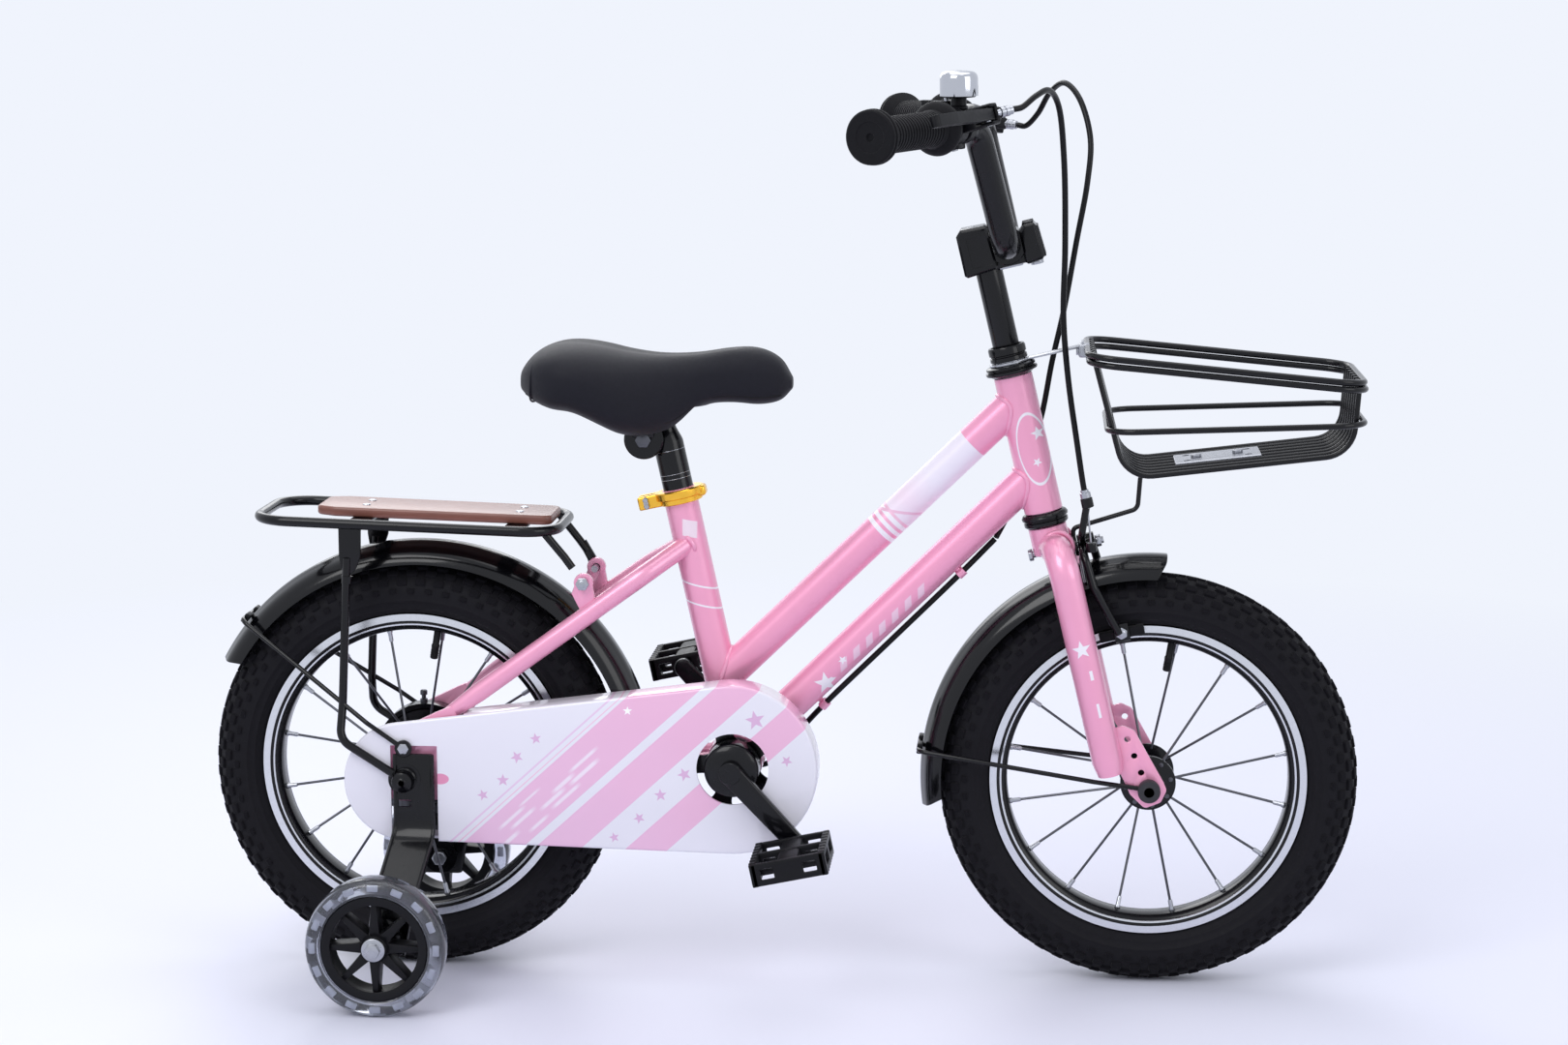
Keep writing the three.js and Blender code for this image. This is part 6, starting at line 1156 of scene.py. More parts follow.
def fender(x, z, radius, start, end, rows, name, body, node):
    """A crowned gloss strip with a raised middle, rounded ends and rolled edges."""
    fresh()
    bpy.ops.mesh.primitive_grid_add(x_subdivisions=rows, y_subdivisions=18, size=2)
    piece = bpy.context.object
    for vertex in piece.data.vertices:
        t, s = (vertex.co.x + 1) / 2, vertex.co.y
        trim = math.radians(2.4) * abs(s) ** 5
        turn = math.radians(start) + trim + (math.radians(end - start) - 2 * trim) * t
        ridge = 1.1 * max(0.0, min(1.0, (0.36 - abs(s)) / 0.08))
        reach = radius - 1.1 - 9 * s * s - 8 * s ** 8 + ridge
        vertex.co = at(x + reach * math.cos(turn), 26.9 * s, z + reach * math.sin(turn))
    use(piece)
    bpy.ops.object.mode_set(mode="EDIT")
    bpy.ops.mesh.select_all(action="SELECT")
    bpy.ops.mesh.normals_make_consistent(inside=False)
    bpy.ops.object.mode_set(mode="OBJECT")
    centre = at(x, 0, z)
    face = piece.data.polygons[len(piece.data.polygons) // 2]
    if face.normal.dot(face.center - centre) < 0:
        piece.data.flip_normals()
    apply(piece, "SOLIDIFY", thickness=0.0016, offset=-1)
    apply(piece, "BEVEL", width=0.0005, segments=2, limit_method="ANGLE", angle_limit=math.radians(60))
    return settle(piece, name, gloss_black, body, [node], angle=40)


def make_fenders():
    fender(WHEELBASE, AXLE_Z, 190, 86, 188, 72, "front_fender_strip", "steering_body", "front_fender")
    fender(7.4, 172.3, 195.5, 17, 152, 96, "rear_fender_strip", "frame_body", "rear_fender")
    tab = slab(rounded([(-8, -54.5), (8, -54.5), (8, -27), (-8, -27)], 3), 16.3, 17.9,
               COLUMN @ Matrix.Rotation(-math.pi / 2, 4, "Z"), 0.3,
               [rod(col(10, 0, -34), col(24, 0, -34), 3.2)])
    settle(tab, "front_fender_tab", black_paint, "steering_body", ["front_fender"])
    turn = math.radians(43.66)
    inner, outer = ((7.4 + r * math.cos(turn), 172.3 + r * math.sin(turn)) for r in (194.6, 202.6))
    settle(rod(at(inner[0], 0, inner[1]), at(outer[0], 0, outer[1]), 4, 0.5), "rear_fender_stub", steel,
           "frame_body", ["rear_fender"])

    for word, cross, knee_x, foot, side_foot, eye, body in (
            ("front", (427.3, 198.8), 573, (618, 174), 46.8, 8.8, "steering_body"),
            ("rear", (-143, 300.8), -30, (0, 201), 64.6, 7.2, "frame_body")):
        share = (knee_x - foot[0]) / (cross[0] - foot[0])
        knee_z = foot[1] + (cross[1] - foot[1]) * share
        corners = [at(foot[0], -side_foot, foot[1]), at(knee_x, -side_foot, knee_z),
                   at(cross[0], -30, cross[1])]
        corners += [Vector((p.x, -p.y, p.z)) for p in reversed(corners)]
        settle(pipe(bent(corners, 9, 6), 2, 4), word + "_stay_wire", black_paint, body,
               [word + "_fender_stay"])
        eyes = []
        for side in (-1, 1):
            spot = axle(foot[0], foot[1], side * (side_foot if word == "rear" else side_foot - 0.6))
            hole = 4.7 if word == "front" else 3.1
            eyes.append(turned([(hole, -1.2), (eye - 0.5, -1.2), (eye, -0.8), (eye, 0.8),
                                (eye - 0.5, 1.2), (hole, 1.2)], spot, 32))
            if word == "rear":
                eyes.append(turned([(0, -14), (2.9, -14), (2.9, 1.2), (0, 1.2)], spot if side > 0 else
                                   spot @ Matrix.Rotation(math.pi, 4, "X"), 20))
        settle(join(eyes), word + "_stay_eyes", black_paint, body, [word + "_fender_stay"])
        bolts = []
        out = Vector((cross[0] - (WHEELBASE if word == "front" else 7.4), 0,
                      cross[1] - (AXLE_Z if word == "front" else 172.3))).normalized()
        for side in (-1, 1):
            base = at(cross[0], side * 15, cross[1]) - out * 0.0032
            clip = block(-4.5, 4.5, -6, 6, 0, 4.8, along(base, base + out), 1.2, 3)
            bolts.append(clip)
        settle(join(bolts), word + "_stay_clips", black_plastic, body, [word + "_fender_stay"])
    screws = []
    for side in (-1, 1):
        head = axle(0, 201, side * 65.8)
        if side < 0:
            head = head @ Matrix.Rotation(math.pi, 4, "X")
        screws.append(hexagon(head, 8.4, 1.0, 0.4))
    settle(join(screws), "rear_stay_bolts", steel, "frame_body", ["rear_fender_stay"])


def rack_z(x):
    return 387 + 4 * (1 - 2 * (x + 125) / 252)


def make_rack():
    body = "frame_body"
    corners = [at(1, -56, rack_z(1)), at(127, -56, rack_z(127)), at(127, 56, rack_z(127)),
               at(-125, 56, rack_z(-125)), at(-125, -56, rack_z(-125)), at(0, -56, rack_z(0))]
    loop = pipe(bent(corners, 30, 12), 4.3, 8, closed=True)
    settle(loop, "rack_loop", black_paint, body, ["rear_rack"])
    bars = [block(x - 9, x + 9, -54, 54, rack_z(x) - 1.5, rack_z(x) + 1.5, edge=0.7) for x in (-38, 92)]
    for side in (-1, 1):
        low, high = sorted((side * 54.5, side * 57.5))
        outline = [(-52.5, rack_z(-52.5) + 1), (-33.5, rack_z(-33.5) + 1), (-34.5, 362), (-38, 352),
                   (-41.5, 347), (-48.5, 347), (-51, 352), (-52.5, 362)]
        bars.append(slab(rounded(outline, 2.5, 3), low, high, edge=0.6))
        y0 = side * 41.3
        y1 = side * 44.3
        low, high = sorted((y0, y1))
        strut = circle(149, 339, 6.6, 20, -60, 190) + [(140.6, 345), (133.5, 358), (139.5, 361.5), (148, 347)]
        hole = rod(at(149, low - 2, 339), at(149, high + 2, 339), 3.1)
        bars.append(slab(strut, low, high, edge=0.6, cutters=[hole]))
        bars.append(pipe([at(140.5, side * 43, 352), at(134, side * 43, 361), at(115, side * 45, 384.5)],
                         3.4, 6))
    settle(join(bars), "rack_bars", black_paint, body, ["rear_rack"])
    legs = []
    for side in (-1, 1):
        route = bent([at(-46, side * 56.4, 360), at(-52, side * 57, 236), at(-53, side * 66, 208),
                      at(-9, side * 66, 180)], 16, 10)
        legs.append(pipe(route, 3.5, 6))
        legs.append(pipe([at(-46, side * 56.4, 345), at(-46.4, side * 56.4, 339)], 4.6, 6))
        legs.append(turned([(5.2, -1.2), (8.6, -1.2), (9, -0.8), (9, 0.8), (8.6, 1.2), (5.2, 1.2)],
                           axle(0, AXLE_Z, side * 56.5), 32))
    settle(join(legs), "rack_legs", black_paint, body, ["rear_rack"])
    bolts = []
    for side in (-1, 1):
        head = axle(149, 339, side * 44.3)
        tail = axle(149, 339, side * 35)
        if side < 0:
            head = head @ Matrix.Rotation(math.pi, 4, "X")
        else:
            tail = tail @ Matrix.Rotation(math.pi, 4, "X")
        bolts += [hexagon(head, 10, 3.4, 1.6), turned([(0, -6), (2.9, -6), (2.9, 10), (0, 10)], tail, 16)]
        rivet = axle(-46, 352, side * 57.5)
        if side < 0:
            rivet = rivet @ Matrix.Rotation(math.pi, 4, "X")
        bolts.append(turned([(0, -0.4), (2.6, -0.4), (2.2, 0.7), (1, 1.1), (0, 1.1)], rivet, 20))
    settle(join(bolts), "rack_bolts", steel, body, ["rear_rack"])

    board = slab_flat(rounded([(-78, -24), (-62, -31), (121, -29), (121, 29), (-62, 31), (-78, 24)], 8, 8), 0, 8,
                      2.2)
    settle(board, "rack_plank", board_wood, body, ["rack_board"])
    screws = []
    for x in (-38, 92):
        for y in (-12, 12):
            spot = Matrix.Translation(at(x, y, rack_z(x) + 9.4))
            screws.append(cut(turned([(0, 0), (3.6, 0), (3.2, 1.0), (1.6, 1.5), (0, 1.5)], spot, 24),
                              block(-2.6, 2.6, -0.5, 0.5, 0.7, 3, spot, edge=0)))
    settle(join(screws), "rack_screws", steel, body, ["rack_board"])


def slab_flat(outline, low, high, edge):
    """A board lying on the rack, with this outline of (x, y) and softened edges."""
    lean = -math.atan2(8, 252)
    place = (Matrix.Translation(at(0, 0, rack_z(0) + 1.7)) @ Matrix.Rotation(-lean, 4, "Y")
             @ Matrix.Rotation(math.pi / 2, 4, "X"))
    return slab(outline, low, high, place, edge, segments=4)


make_saddle()
make_fenders()
make_rack()


# ---------------------------------------------------------------- stem, bar, grips and levers

ACROSS = Matrix.Rotation(-math.pi / 2, 4, "X")
GRIP_LENGTH = 168.2
LEVER_ROLL = {"right": math.radians(16), "left": math.radians(-9)}


def grip_place(roll=0.0):
    """The right-hand end of the bar: x forward, y inward along the bar, z up."""
    origin, end = col(18, -84, 326), col(-53, -236, 338)
    inward = (origin - end).normalized()
    upward = Vector((0, 0, 1))
    upward = (upward - inward * upward.dot(inward)).normalized()
    forward = inward.cross(upward)
    axes = Matrix((forward, inward, upward)).transposed().to_4x4()
    return Matrix.Translation(origin) @ axes @ Matrix.Rotation(-roll, 4, "Y")


def on_side(piece, side):
    """Moves a piece made for the right to the left side where that is wanted."""
    if side > 0:
        piece.data.transform(Matrix.Scale(-1, 4, (0, 1, 0)))
        piece.data.flip_normals()
    return piece


def make_bar():
    body = "steering_body"
    right = [col(-53, -236, 338), col(18, -84, 326), col(19.5, -38, 222)]
    route = bent(right + [Vector((p.x, -p.y, p.z)) for p in reversed(right)], 28, 14)
    settle(pipe(route, 11.1, 9), "handlebar_tube", black_paint, body, ["handlebar"])

    quill = turned([(0, 62), (10.4, 62), (11.1, 63), (11.1, 205), (0, 205)], COLUMN, 40)
    settle(quill, "stem_quill", black_paint, body, ["stem"])
    rear = slab([(-19.6, 203.2), (8.6, 205.6), (6.4, 242), (-15, 242.8), (-19.6, 238)], -19, 19, COLUMN,
                edge=0)
    bevel(rear, 2.2, 1, 60)
    panels = [block(-12, 4.5, *sorted((side * 17.6, side * 21)), 210, 235, COLUMN, 0) for side in (-1, 1)]
    cut(rear, *panels)
    bevel(rear, 0.7, 2, 20)
    front = slab([(31, 203.4), (47.6, 205.4), (46, 235), (44, 236), (36, 236), (31, 231)], -19, 19, COLUMN,
                 edge=0)
    bevel(front, 2.4, 1, 60)
    bevel(front, 0.5, 2, 20)
    ribs = [slab([(46, 206.5), (48.8, 207), (47.2, 233), (44.6, 233)], y - 1.6, y + 1.6, COLUMN, 0.5)
            for y in (-13, -6.5, 0, 6.5, 13)]
    ribs += [slab([(34, 234), (44.5, 234), (44, 237.4), (35, 237.4)], y - 1.6, y + 1.6, COLUMN, 0.5)
             for y in (-13, 0, 13)]
    clamp = turned([(11.4, -17), (15, -17), (15.6, -16.4), (15.6, 16.4), (15, 17), (11.4, 17)],
                   COLUMN @ Matrix.Translation((0.019, 0, 0.222)) @ ACROSS, 48)
    bridge = block(0, 40, -15, 15, 205, 218, COLUMN, 1.5)
    settle(join([rear, front, clamp, bridge] + ribs), "stem_clamp", black_paint, body, ["stem"])
    saddle_piece = block(9, 29, -9, 9, 203.2, 207.2, COLUMN, 1.4)
    low = col(40, 0, 204.5)
    bolts = [hexagon(along(low, low - (col(0, 0, 1) - col(0, 0, 0))), 9.5, 3.6, 0),
             hexagon(along(col(-8, 0, 240.4), col(-8, 0, 241.4)), 10, 2.2, 1.2)]
    settle(join([saddle_piece] + bolts), "stem_bolts", steel, body, ["stem"])

    tip = GRIP_LENGTH + 6
    for word, side in SIDES:
        place = grip_place() @ ACROSS
        profile = [(11.3, -54), (16.2, -54), (17, -54.8), (17, -57), (17.6, -59)]
        profile += [(21.2 * math.cos(t) ** 0.9 if t < 1.5 else 0, -66 - 10.5 * math.sin(t))
                    for t in (math.radians(a) for a in (-38, -24, -12, 0, 12, 24, 38, 48))]
        profile += [(15.2, -75.5), (14.2, -77.5)]
        reach = 80.0
        while reach < tip - 19:
            profile += [(14.1, -reach), (13.1, -reach - 0.5), (13.1, -reach - 1.7), (14.1, -reach - 2.2)]
            reach += 4.4
        profile += [(13.6, -tip + 15.5), (15.4, -tip + 13.5), (19.8, -tip + 9), (21, -tip + 7.6),
                    (21, -tip + 5.2), (19.9, -tip + 4.4), (19.9, -tip + 3.6), (20.8, -tip + 2.8),
                    (20.6, -tip + 1), (19.2, -tip), (12, -tip), (11.4, -tip + 0.5), (3.4, -tip + 0.7),
                    (2.4, -tip + 2.4), (0, -tip + 2.4), (0, -GRIP_LENGTH - 0.6), (11.3, -GRIP_LENGTH - 0.6)]
        sleeve = turned([(r, y) for r, y in profile], place, 56)
        settle(on_side(sleeve, side), f"grip_{word}_sleeve", grip_rubber, body, [f"grip_{word}"])

        roll = grip_place(LEVER_ROLL[word])
        ring_piece = turned([(11.3, -51.8), (14.6, -51.8), (15.5, -51), (15.5, -40), (14.6, -39.2),
                             (11.3, -39.2)], roll @ ACROSS, 48)
        arm = block(12, 42, -51.6, -39.2, -8.3, 8.3, roll, 0, 2)
        slot = block(26.4, 46, -56, -42.2, -5.4, 5.4, roll, edge=0)
        cut(arm, slot)
        bevel(arm, 1.4, 2)
        nose = block(28, 42.6, -42.4, -34.6, -5, 5, roll, 2.2, 3)
        screw_lug = block(-6, 6, -50, -41, -18.4, -13.6, roll, 1.6, 3)
        settle(on_side(join([ring_piece, arm, nose, screw_lug]), side), f"lever_bracket_{word}",
               black_plastic, body, [f"lever_mount_{word}"])
        start = roll @ Vector((0.039, -0.042, 0))
        way = ((roll @ Vector((0.6, 0.8, 0))) - (roll @ Vector((0, 0, 0)))).normalized()
        run = along(start, start + way)
        barrel = turned([(0, 2), (3.0, 2), (3.0, 5), (4.2, 5.4), (4.2, 8), (3.5, 8.4), (3.5, 9), (4.2, 9.4),
                         (4.2, 12.4), (3.6, 13), (3.6, 15.4), (3.1, 16), (0, 16)], run, 24)
        knurl = [turned([(4.05, r), (4.3, r + 0.3), (4.05, r + 0.6)], run, 24) for r in (5.8, 6.8, 10, 11.2)]
        pin = rod(roll @ Vector((0.035, -0.047, -0.0086)), roll @ Vector((0.035, -0.047, 0.0086)), 2.4, 0.4,
                  20)
        head = rod(roll @ Vector((0, -0.0455, -0.0192)), roll @ Vector((0, -0.0455, -0.0176)), 2.6, 0.4, 20)
        settle(on_side(join([barrel, pin, head] + knurl), side), f"lever_barrel_{word}", steel, body,
               [f"lever_mount_{word}"])

        outline = [(29.5, -46), (29.5, -55), (33, -77), (33.4, -110), (33, -136), (35, -141.4), (38.5, -141.4),
                   (41.6, -138), (42.6, -110), (42.4, -81), (41.5, -55), (40.5, -45), (38, -42.9),
                   (32, -42.9)]
        blade = slab(rounded(outline, 3.4, 4), -4.5, 4.5, roll @ ACROSS, 0,
                     [rod(roll @ Vector((0.035, -0.047, -0.006)), roll @ Vector((0.035, -0.047, 0.006)),
                          2.7)])
        bevel(blade, 1.5, 3)
        settle(on_side(blade, side), f"lever_blade_{word}", black_plastic, f"{word}_lever_body",
               [f"brake_lever_{word}"])

    place = grip_place() @ Matrix.Translation((0, -0.028, 0))
    base = [turned([(11.3, -4.4), (14, -4.4), (14.5, -3.9), (14.5, 3.9), (14, 4.4), (11.3, 4.4)],
                   place @ ACROSS, 40),
            turned([(0, 13.6), (7.2, 13.6), (7.2, 15), (6, 16), (6, 21.6), (12.6, 22.2), (13.2, 22.8),
                    (13.2, 24.6), (0, 24.6)], place, 40)]
    base.append(block(-4, 4, -4, 4, -18, -13, place, 1.4, 3))
    settle(join(base), "bell_base", black_plastic, body, ["bell"])
    dome = turned([(14.2, 23.4), (15, 23.3), (15, 36.4), (14.7, 38.4), (13.8, 40.2), (12.4, 41.5),
                   (10.6, 42.2), (7, 42.7), (0, 42.9), (0, 42.1), (7, 41.9), (10.3, 41.4), (11.9, 40.8),
                   (13.2, 39.7), (14, 38), (14.2, 36)], place, 64)
    screw = turned([(0, 42), (2.2, 42), (2.2, 42.95), (0, 43)], place, 24)
    settle(join([dome, screw]), "bell_dome", chrome, body, ["bell"])
    settle(rod(place @ Vector((-0.011, 0, 0.0078)), place @ Vector((-0.011, 0, 0.0236)), 1.9, 0.2, 20),
           "bell_thumb_pin", steel, body, ["bell"])
    lever_outline = rounded(belt(-30, 0, 3.2, -11, 0, 3.8, 10), 0.6, 2)
    thumb = slab(lever_outline, 15.2, 19.2, place @ Matrix.Rotation(math.pi / 2, 4, "X"), 0.9,
                 [rod(place @ Vector((-0.011, 0, 0.012)), place @ Vector((-0.011, 0, 0.024)), 2.2)],
                 segments=3)
    ribs = [block(-32.2 + i * 1.9, -31.2 + i * 1.9, -3.1, 3.1, -19.6, -18.6,
                  place @ Matrix.Rotation(math.pi, 4, "X"), 0.3, 1) for i in range(5)]
    settle(join([thumb] + ribs), "bell_thumb_lever", black_plastic, "bell_thumb_body", ["bell_thumb"])


# ---------------------------------------------------------------- front brake

def make_front_brake():
    body = "steering_body"
    forward = col(1, 0, 0) - col(0, 0, 0)
    settle(rod(col(-20.3, 0, -34), col(43, 0, -34), 2.9, 0.5, 24), "brake_bolt_shank", steel, body,
           ["brake_bolt"])
    nuts = [hexagon(along(col(-20.4, 0, -34), col(-20.4, 0, -34) + forward), 9.4, 3.8, 0),
            hexagon(along(col(36.2, 0, -34), col(36.2, 0, -34) + forward), 9.4, 4.6, 2.0)]
    settle(join(nuts), "brake_bolt_nuts", steel, body, ["brake_bolt"])

    for word, side in SIDES:
        rides = f"{word}_caliper_body"
        first = 21.6 if side < 0 else 28.9
        mid = first + 3.45
        route = [col(mid, side * 4, -34), col(mid, side * 30, -38), col(mid + 2, side * 36, -66),
                 col(39, side * 30.3, -109)]
        leg = pipe(bent(route, 12, 10), 3.5, 6)
        flat = COLUMN @ Matrix.Translation((0, 0, -0.034)) @ Matrix.Rotation(math.pi / 2, 4, "Y")
        boss = turned([(3.3, first), (8, first), (8.5, first + 0.5), (8.5, first + 6.3), (8, first + 6.8),
                       (3.3, first + 6.8)], flat, 32)
        pieces = [leg, boss]
        if side < 0:
            hook = pipe(bent([col(25, -8, -34), col(27, -26, -22), col(37, -27, 3)], 8, 8), 3, 5)
            stop = turned([(2.7, -4), (4.6, -4), (5, -3.6), (5, 3.6), (4.6, 4), (2.7, 4)],
                          COLUMN @ Matrix.Translation((0.037, -0.027, 0.003)), 24)
            pieces += [hook, stop]
        else:
            pieces.append(pipe(bent([col(mid, 4, -34), col(mid, -16, -34), col(mid, -27, -34)], 6, 4), 3, 5))
            tip = col(mid, -27, -34)
            pieces.append(rod(tip + Vector((0, 0, -0.004)), tip + Vector((0, 0, 0.004)), 4.4, 0.6, 20))
        settle(join(pieces), f"caliper_{word}_arm", black_paint, rides, [f"caliper_arm_{word}"])

        centre = col(41, 0, -109)
        place = Matrix.Translation(centre) @ Matrix.Rotation(-TILT, 4, "Y")
        low, high = sorted((side * 17.8, side * 26.3))
        shoe = block(-18.8, 18.8, low, high, -5.4, 2.6, place, 1.2, 3)
        grooves = [block(gx - 0.9, gx + 0.9, *sorted((side * 16, side * 20.4)), -7, 7, place, edge=0)
                   for gx in (-12, -4, 4, 12)]
        cut(shoe, *grooves)
        settle(shoe, f"brake_shoe_{word}", grip_rubber, rides, [f"brake_pad_{word}"])
        holder = block(-6.5, 6.5, *sorted((side * 26.2, side * 28.6)), -7.6, 7.6, place, 1.0, 2)
        settle(holder, f"brake_shoe_plate_{word}", black_paint, rides, [f"caliper_arm_{word}"])
        out = Vector((0, side, 0))
        spot = centre + out * 0.0282
        bolt = hexagon(along(spot, spot + out), 9, 3.2, 1.8)
        settle(bolt, f"brake_shoe_bolt_{word}", steel, rides, [f"caliper_arm_{word}"])

    wire = pipe(bent([col(20.9, -33, -60), col(20.9, -15, -43), col(20.9, 0, -46.4), col(20.9, 15, -43),
                      col(20.9, 33, -60)], 8, 6), 1.0, 3)
    settle(wire, "brake_spring", steel, body, ["brake_bolt"])
    anchor = col(32.3, -27, -34)
    stop_place = col(37, -27, 3)
    settle(pipe([stop_place, anchor], 0.8, 3), "front_inner_wire", steel, body, ["front_brake_cable"])
    adjuster = turned([(0, -4.6), (2.4, -4.6), (2.4, 4.2), (4.4, 4.4), (4.4, 8.6), (3.4, 9), (3.4, 11), (0, 11)],
                      COLUMN @ Matrix.Translation((0.037, -0.027, 0.003)), 24)
    settle(adjuster, "front_cable_adjuster", steel, body, ["front_brake_cable"])


# ---------------------------------------------------------------- basket

def basket_rear_x(z):
    return 566 + (536 - z) * 28 / 98


def make_basket():
    body = "steering_body"

    def hoop(x0, x1, z0, z1, radius):
        slope = (z1 - z0) / (x1 - x0)

        def spot(x, y):
            return at(x, y, z0 + slope * (x - x0))
        middle = (x0 + x1) / 2
        route = [spot(middle, -76), spot(x1, -76), spot(x1, 76), spot(x0, 76), spot(x0, -76),
                 spot(middle, -76)]
        path = bent(route, 24, 10)
        return pipe(path[:-1], radius, 5, closed=True)
    hoops = [hoop(562.4, 782.6, 535, 514.6, 2.7), hoop(basket_rear_x(528) - 4.7, 783.7, 529, 509, 2.6),
             hoop(basket_rear_x(474) - 4.7, 783.7, 474, 482, 2.5)]
    settle(join(hoops), "basket_hoops", black_paint, body, ["basket"])
    wires = []
    for i in range(8):
        y = -56 + 16 * i
        route = bent([at(566, y, 536.5), at(594, y, 434), at(775, y, 456), at(779, y, 515)], 26, 9)
        wires.append(pipe(route, 2.2, 4))
    settle(join(wires), "basket_wires", black_paint, body, ["basket"])
    lean = math.atan2(22, 181)
    floor_place = Matrix.Translation(at(594, 0, 434)) @ Matrix.Rotation(-lean, 4, "Y")
    plate = block(42, 112, -24, 24, 1.6, 3.6, floor_place, 0.5, 1)
    holes = [rod(floor_place @ Vector((x / 1000, y / 1000, -0.002)),
                 floor_place @ Vector((x / 1000, y / 1000, 0.008)), 3) for x in (52, 102) for y in (-15, 15)]
    cut(plate, *holes)
    under = block(52, 98, -15, 15, -6.4, -5.0, floor_place, 0.4, 1)
    settle(join([plate, under]), "basket_plate", steel, body, ["basket"])
    bolts = []
    for x in (60, 94):
        bolts.append(hexagon(floor_place @ Matrix.Translation((x / 1000, 0, 0.0036)), 8, 2.6, 1.2))
        bolts.append(rod(floor_place @ Vector((x / 1000, 0, 0.004)),
                         floor_place @ Vector((x / 1000, 0, -0.0105)), 2, 0.3, 16))
    settle(join(bolts), "basket_plate_bolts", steel, body, ["basket"])

    ring_piece = turned([(13.1, 126.4), (16.6, 126.4), (17, 126.8), (17, 127.8), (16.6, 128.2),
                         (13.1, 128.2)], COLUMN, 40)
    strip = block(14.5, 59, -7, 7, 126.35, 128.2, COLUMN, 0.5, 2)
    end = col(61.3, 0, 127.3)
    x0, z0 = end.x * 1000 + ROW_X, end.z * 1000
    tab = block(x0 - 1, x0 + 1, -7, 7, z0 - 8, z0 + 4, edge=0.5)
    clamp = block(x0 - 3.4, x0 + 5.6, -8.5, 8.5, z0 - 9.4, z0 + 1.6, edge=1.6, segments=3)
    settle(join([ring_piece, strip, tab]), "basket_bracket", steel, body, ["basket_strap"])
    screw = hexagon(along(at(x0 - 2.8, 0, z0 - 4), at(x0 - 3.8, 0, z0 - 4)), 7.4, 2.6, 1)
    settle(join([clamp, screw]), "basket_rim_clamp", steel, body, ["basket_strap"])

    slope = 22 / 181

    def under_floor(x):
        return at(x, 0, 434 + slope * (x - 594) - 4.5)
    route = bent([col(19.2, 0, -26.6), at(553, 0, 384), at(606, 0, 401), under_floor(608),
                  under_floor(690)], 7, 8)
    settle(pipe(route, 2, 5), "basket_strut_wire", black_paint, body, ["basket_strut"])
    eye = turned([(3.3, 18.3), (8.6, 18.3), (9, 18.7), (9, 20.7), (8.6, 21.1), (3.3, 21.1)],
                 COLUMN @ Matrix.Translation((0, 0, -0.034)) @ Matrix.Rotation(math.pi / 2, 4, "Y"), 32)
    settle(eye, "basket_strut_eye", black_paint, body, ["basket_strut"])


# ---------------------------------------------------------------- cables

FRONT_CABLE = ((501, -130.3, 732.3), (507.2, -126.9, 733.6), (518, -115, 742), (528, -96, 746),
               (536, -72, 733), (541, -50, 690), (543, -36, 620), (542.5, -29, 562), (547, -28, 512),
               (555, -27, 459), (561.1, -27, 421.7), (563, -27, 413.9))
CABLE_LOOP = ((502.6, 130.1, 711), (508.7, 126.9, 710.5), (519, 116, 721), (529, 100, 739), (541, 78, 748),
              (554, 54, 735), (563, 39, 703), (561, 32, 668), (553, 29, 621), (543, 28, 562),
              (534, 27, 520), (526, 27, 475), (513, 26, 428), (500, 18, 394), (489.5, 5, 374.6))
REAR_CABLE = ((488.6, 4.5, 373.4), (461, 0, 345.2), (404, 0, 288.2), (347, 1, 231), (329, 8, 210),
              (316, 24, 190), (303, 42, 172), (280, 46, 164), (240, 47, 160), (160, 51, 158),
              (110, 56.5, 154), (78, 57, 146), (66, 56.5, 142))


def make_cables():
    for name, points, body in (("front_brake_cable", FRONT_CABLE, "steering_body"),
                               ("rear_brake_cable_loop", CABLE_LOOP, None),
                               ("rear_brake_cable", REAR_CABLE, "frame_body")):
        path = smooth_path([at(*p) for p in points], 8)
        sheath = pipe(path, 2.45, 5)
        settle(sheath, name + "_sheath", cable_sheath, body, [name])
        if name == "rear_brake_cable_loop":
            tuple(at(500, 18, 394))
            tuple(at(534, 27, 540))
            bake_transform(sheath)
    clips = []
    for point, after in ((at(461, 0, 345.2), at(404, 0, 288.2)), (at(347, 1, 231), at(329, 8, 210))):
        way = (after - point).normalized()
        turn = along(point, after)
        band = turned([(2.5, -3.4), (4.1, -3.4), (4.1, 3.4), (2.5, 3.4)], turn, 24)
        up = (Vector((0, 0, 1)) - way * way.z).normalized()
        foot = pipe([point + up * 0.003, point + up * 0.0078], 2.4, 4)
        clips += [band, foot]
    settle(join(clips), "cable_clips", pink_paint, "frame_body", ["rear_brake_cable"])
    end = at(66, 56.5, 142)
    before = at(78, 57, 146)
    ferrule = turned([(0, -7), (2.9, -7), (3.1, -6), (3.1, 2), (2.2, 2.8), (0, 2.8)],
                     along(end, end + (end - before)), 20)
    settle(ferrule, "rear_cable_end", steel, "frame_body", ["rear_brake_cable"])


make_bar()
make_front_brake()
make_basket()
make_cables()


# ---------------------------------------------------------------- drive, pedals and rear brake

CHAIN_Y, PITCH = -40.0, 12.7


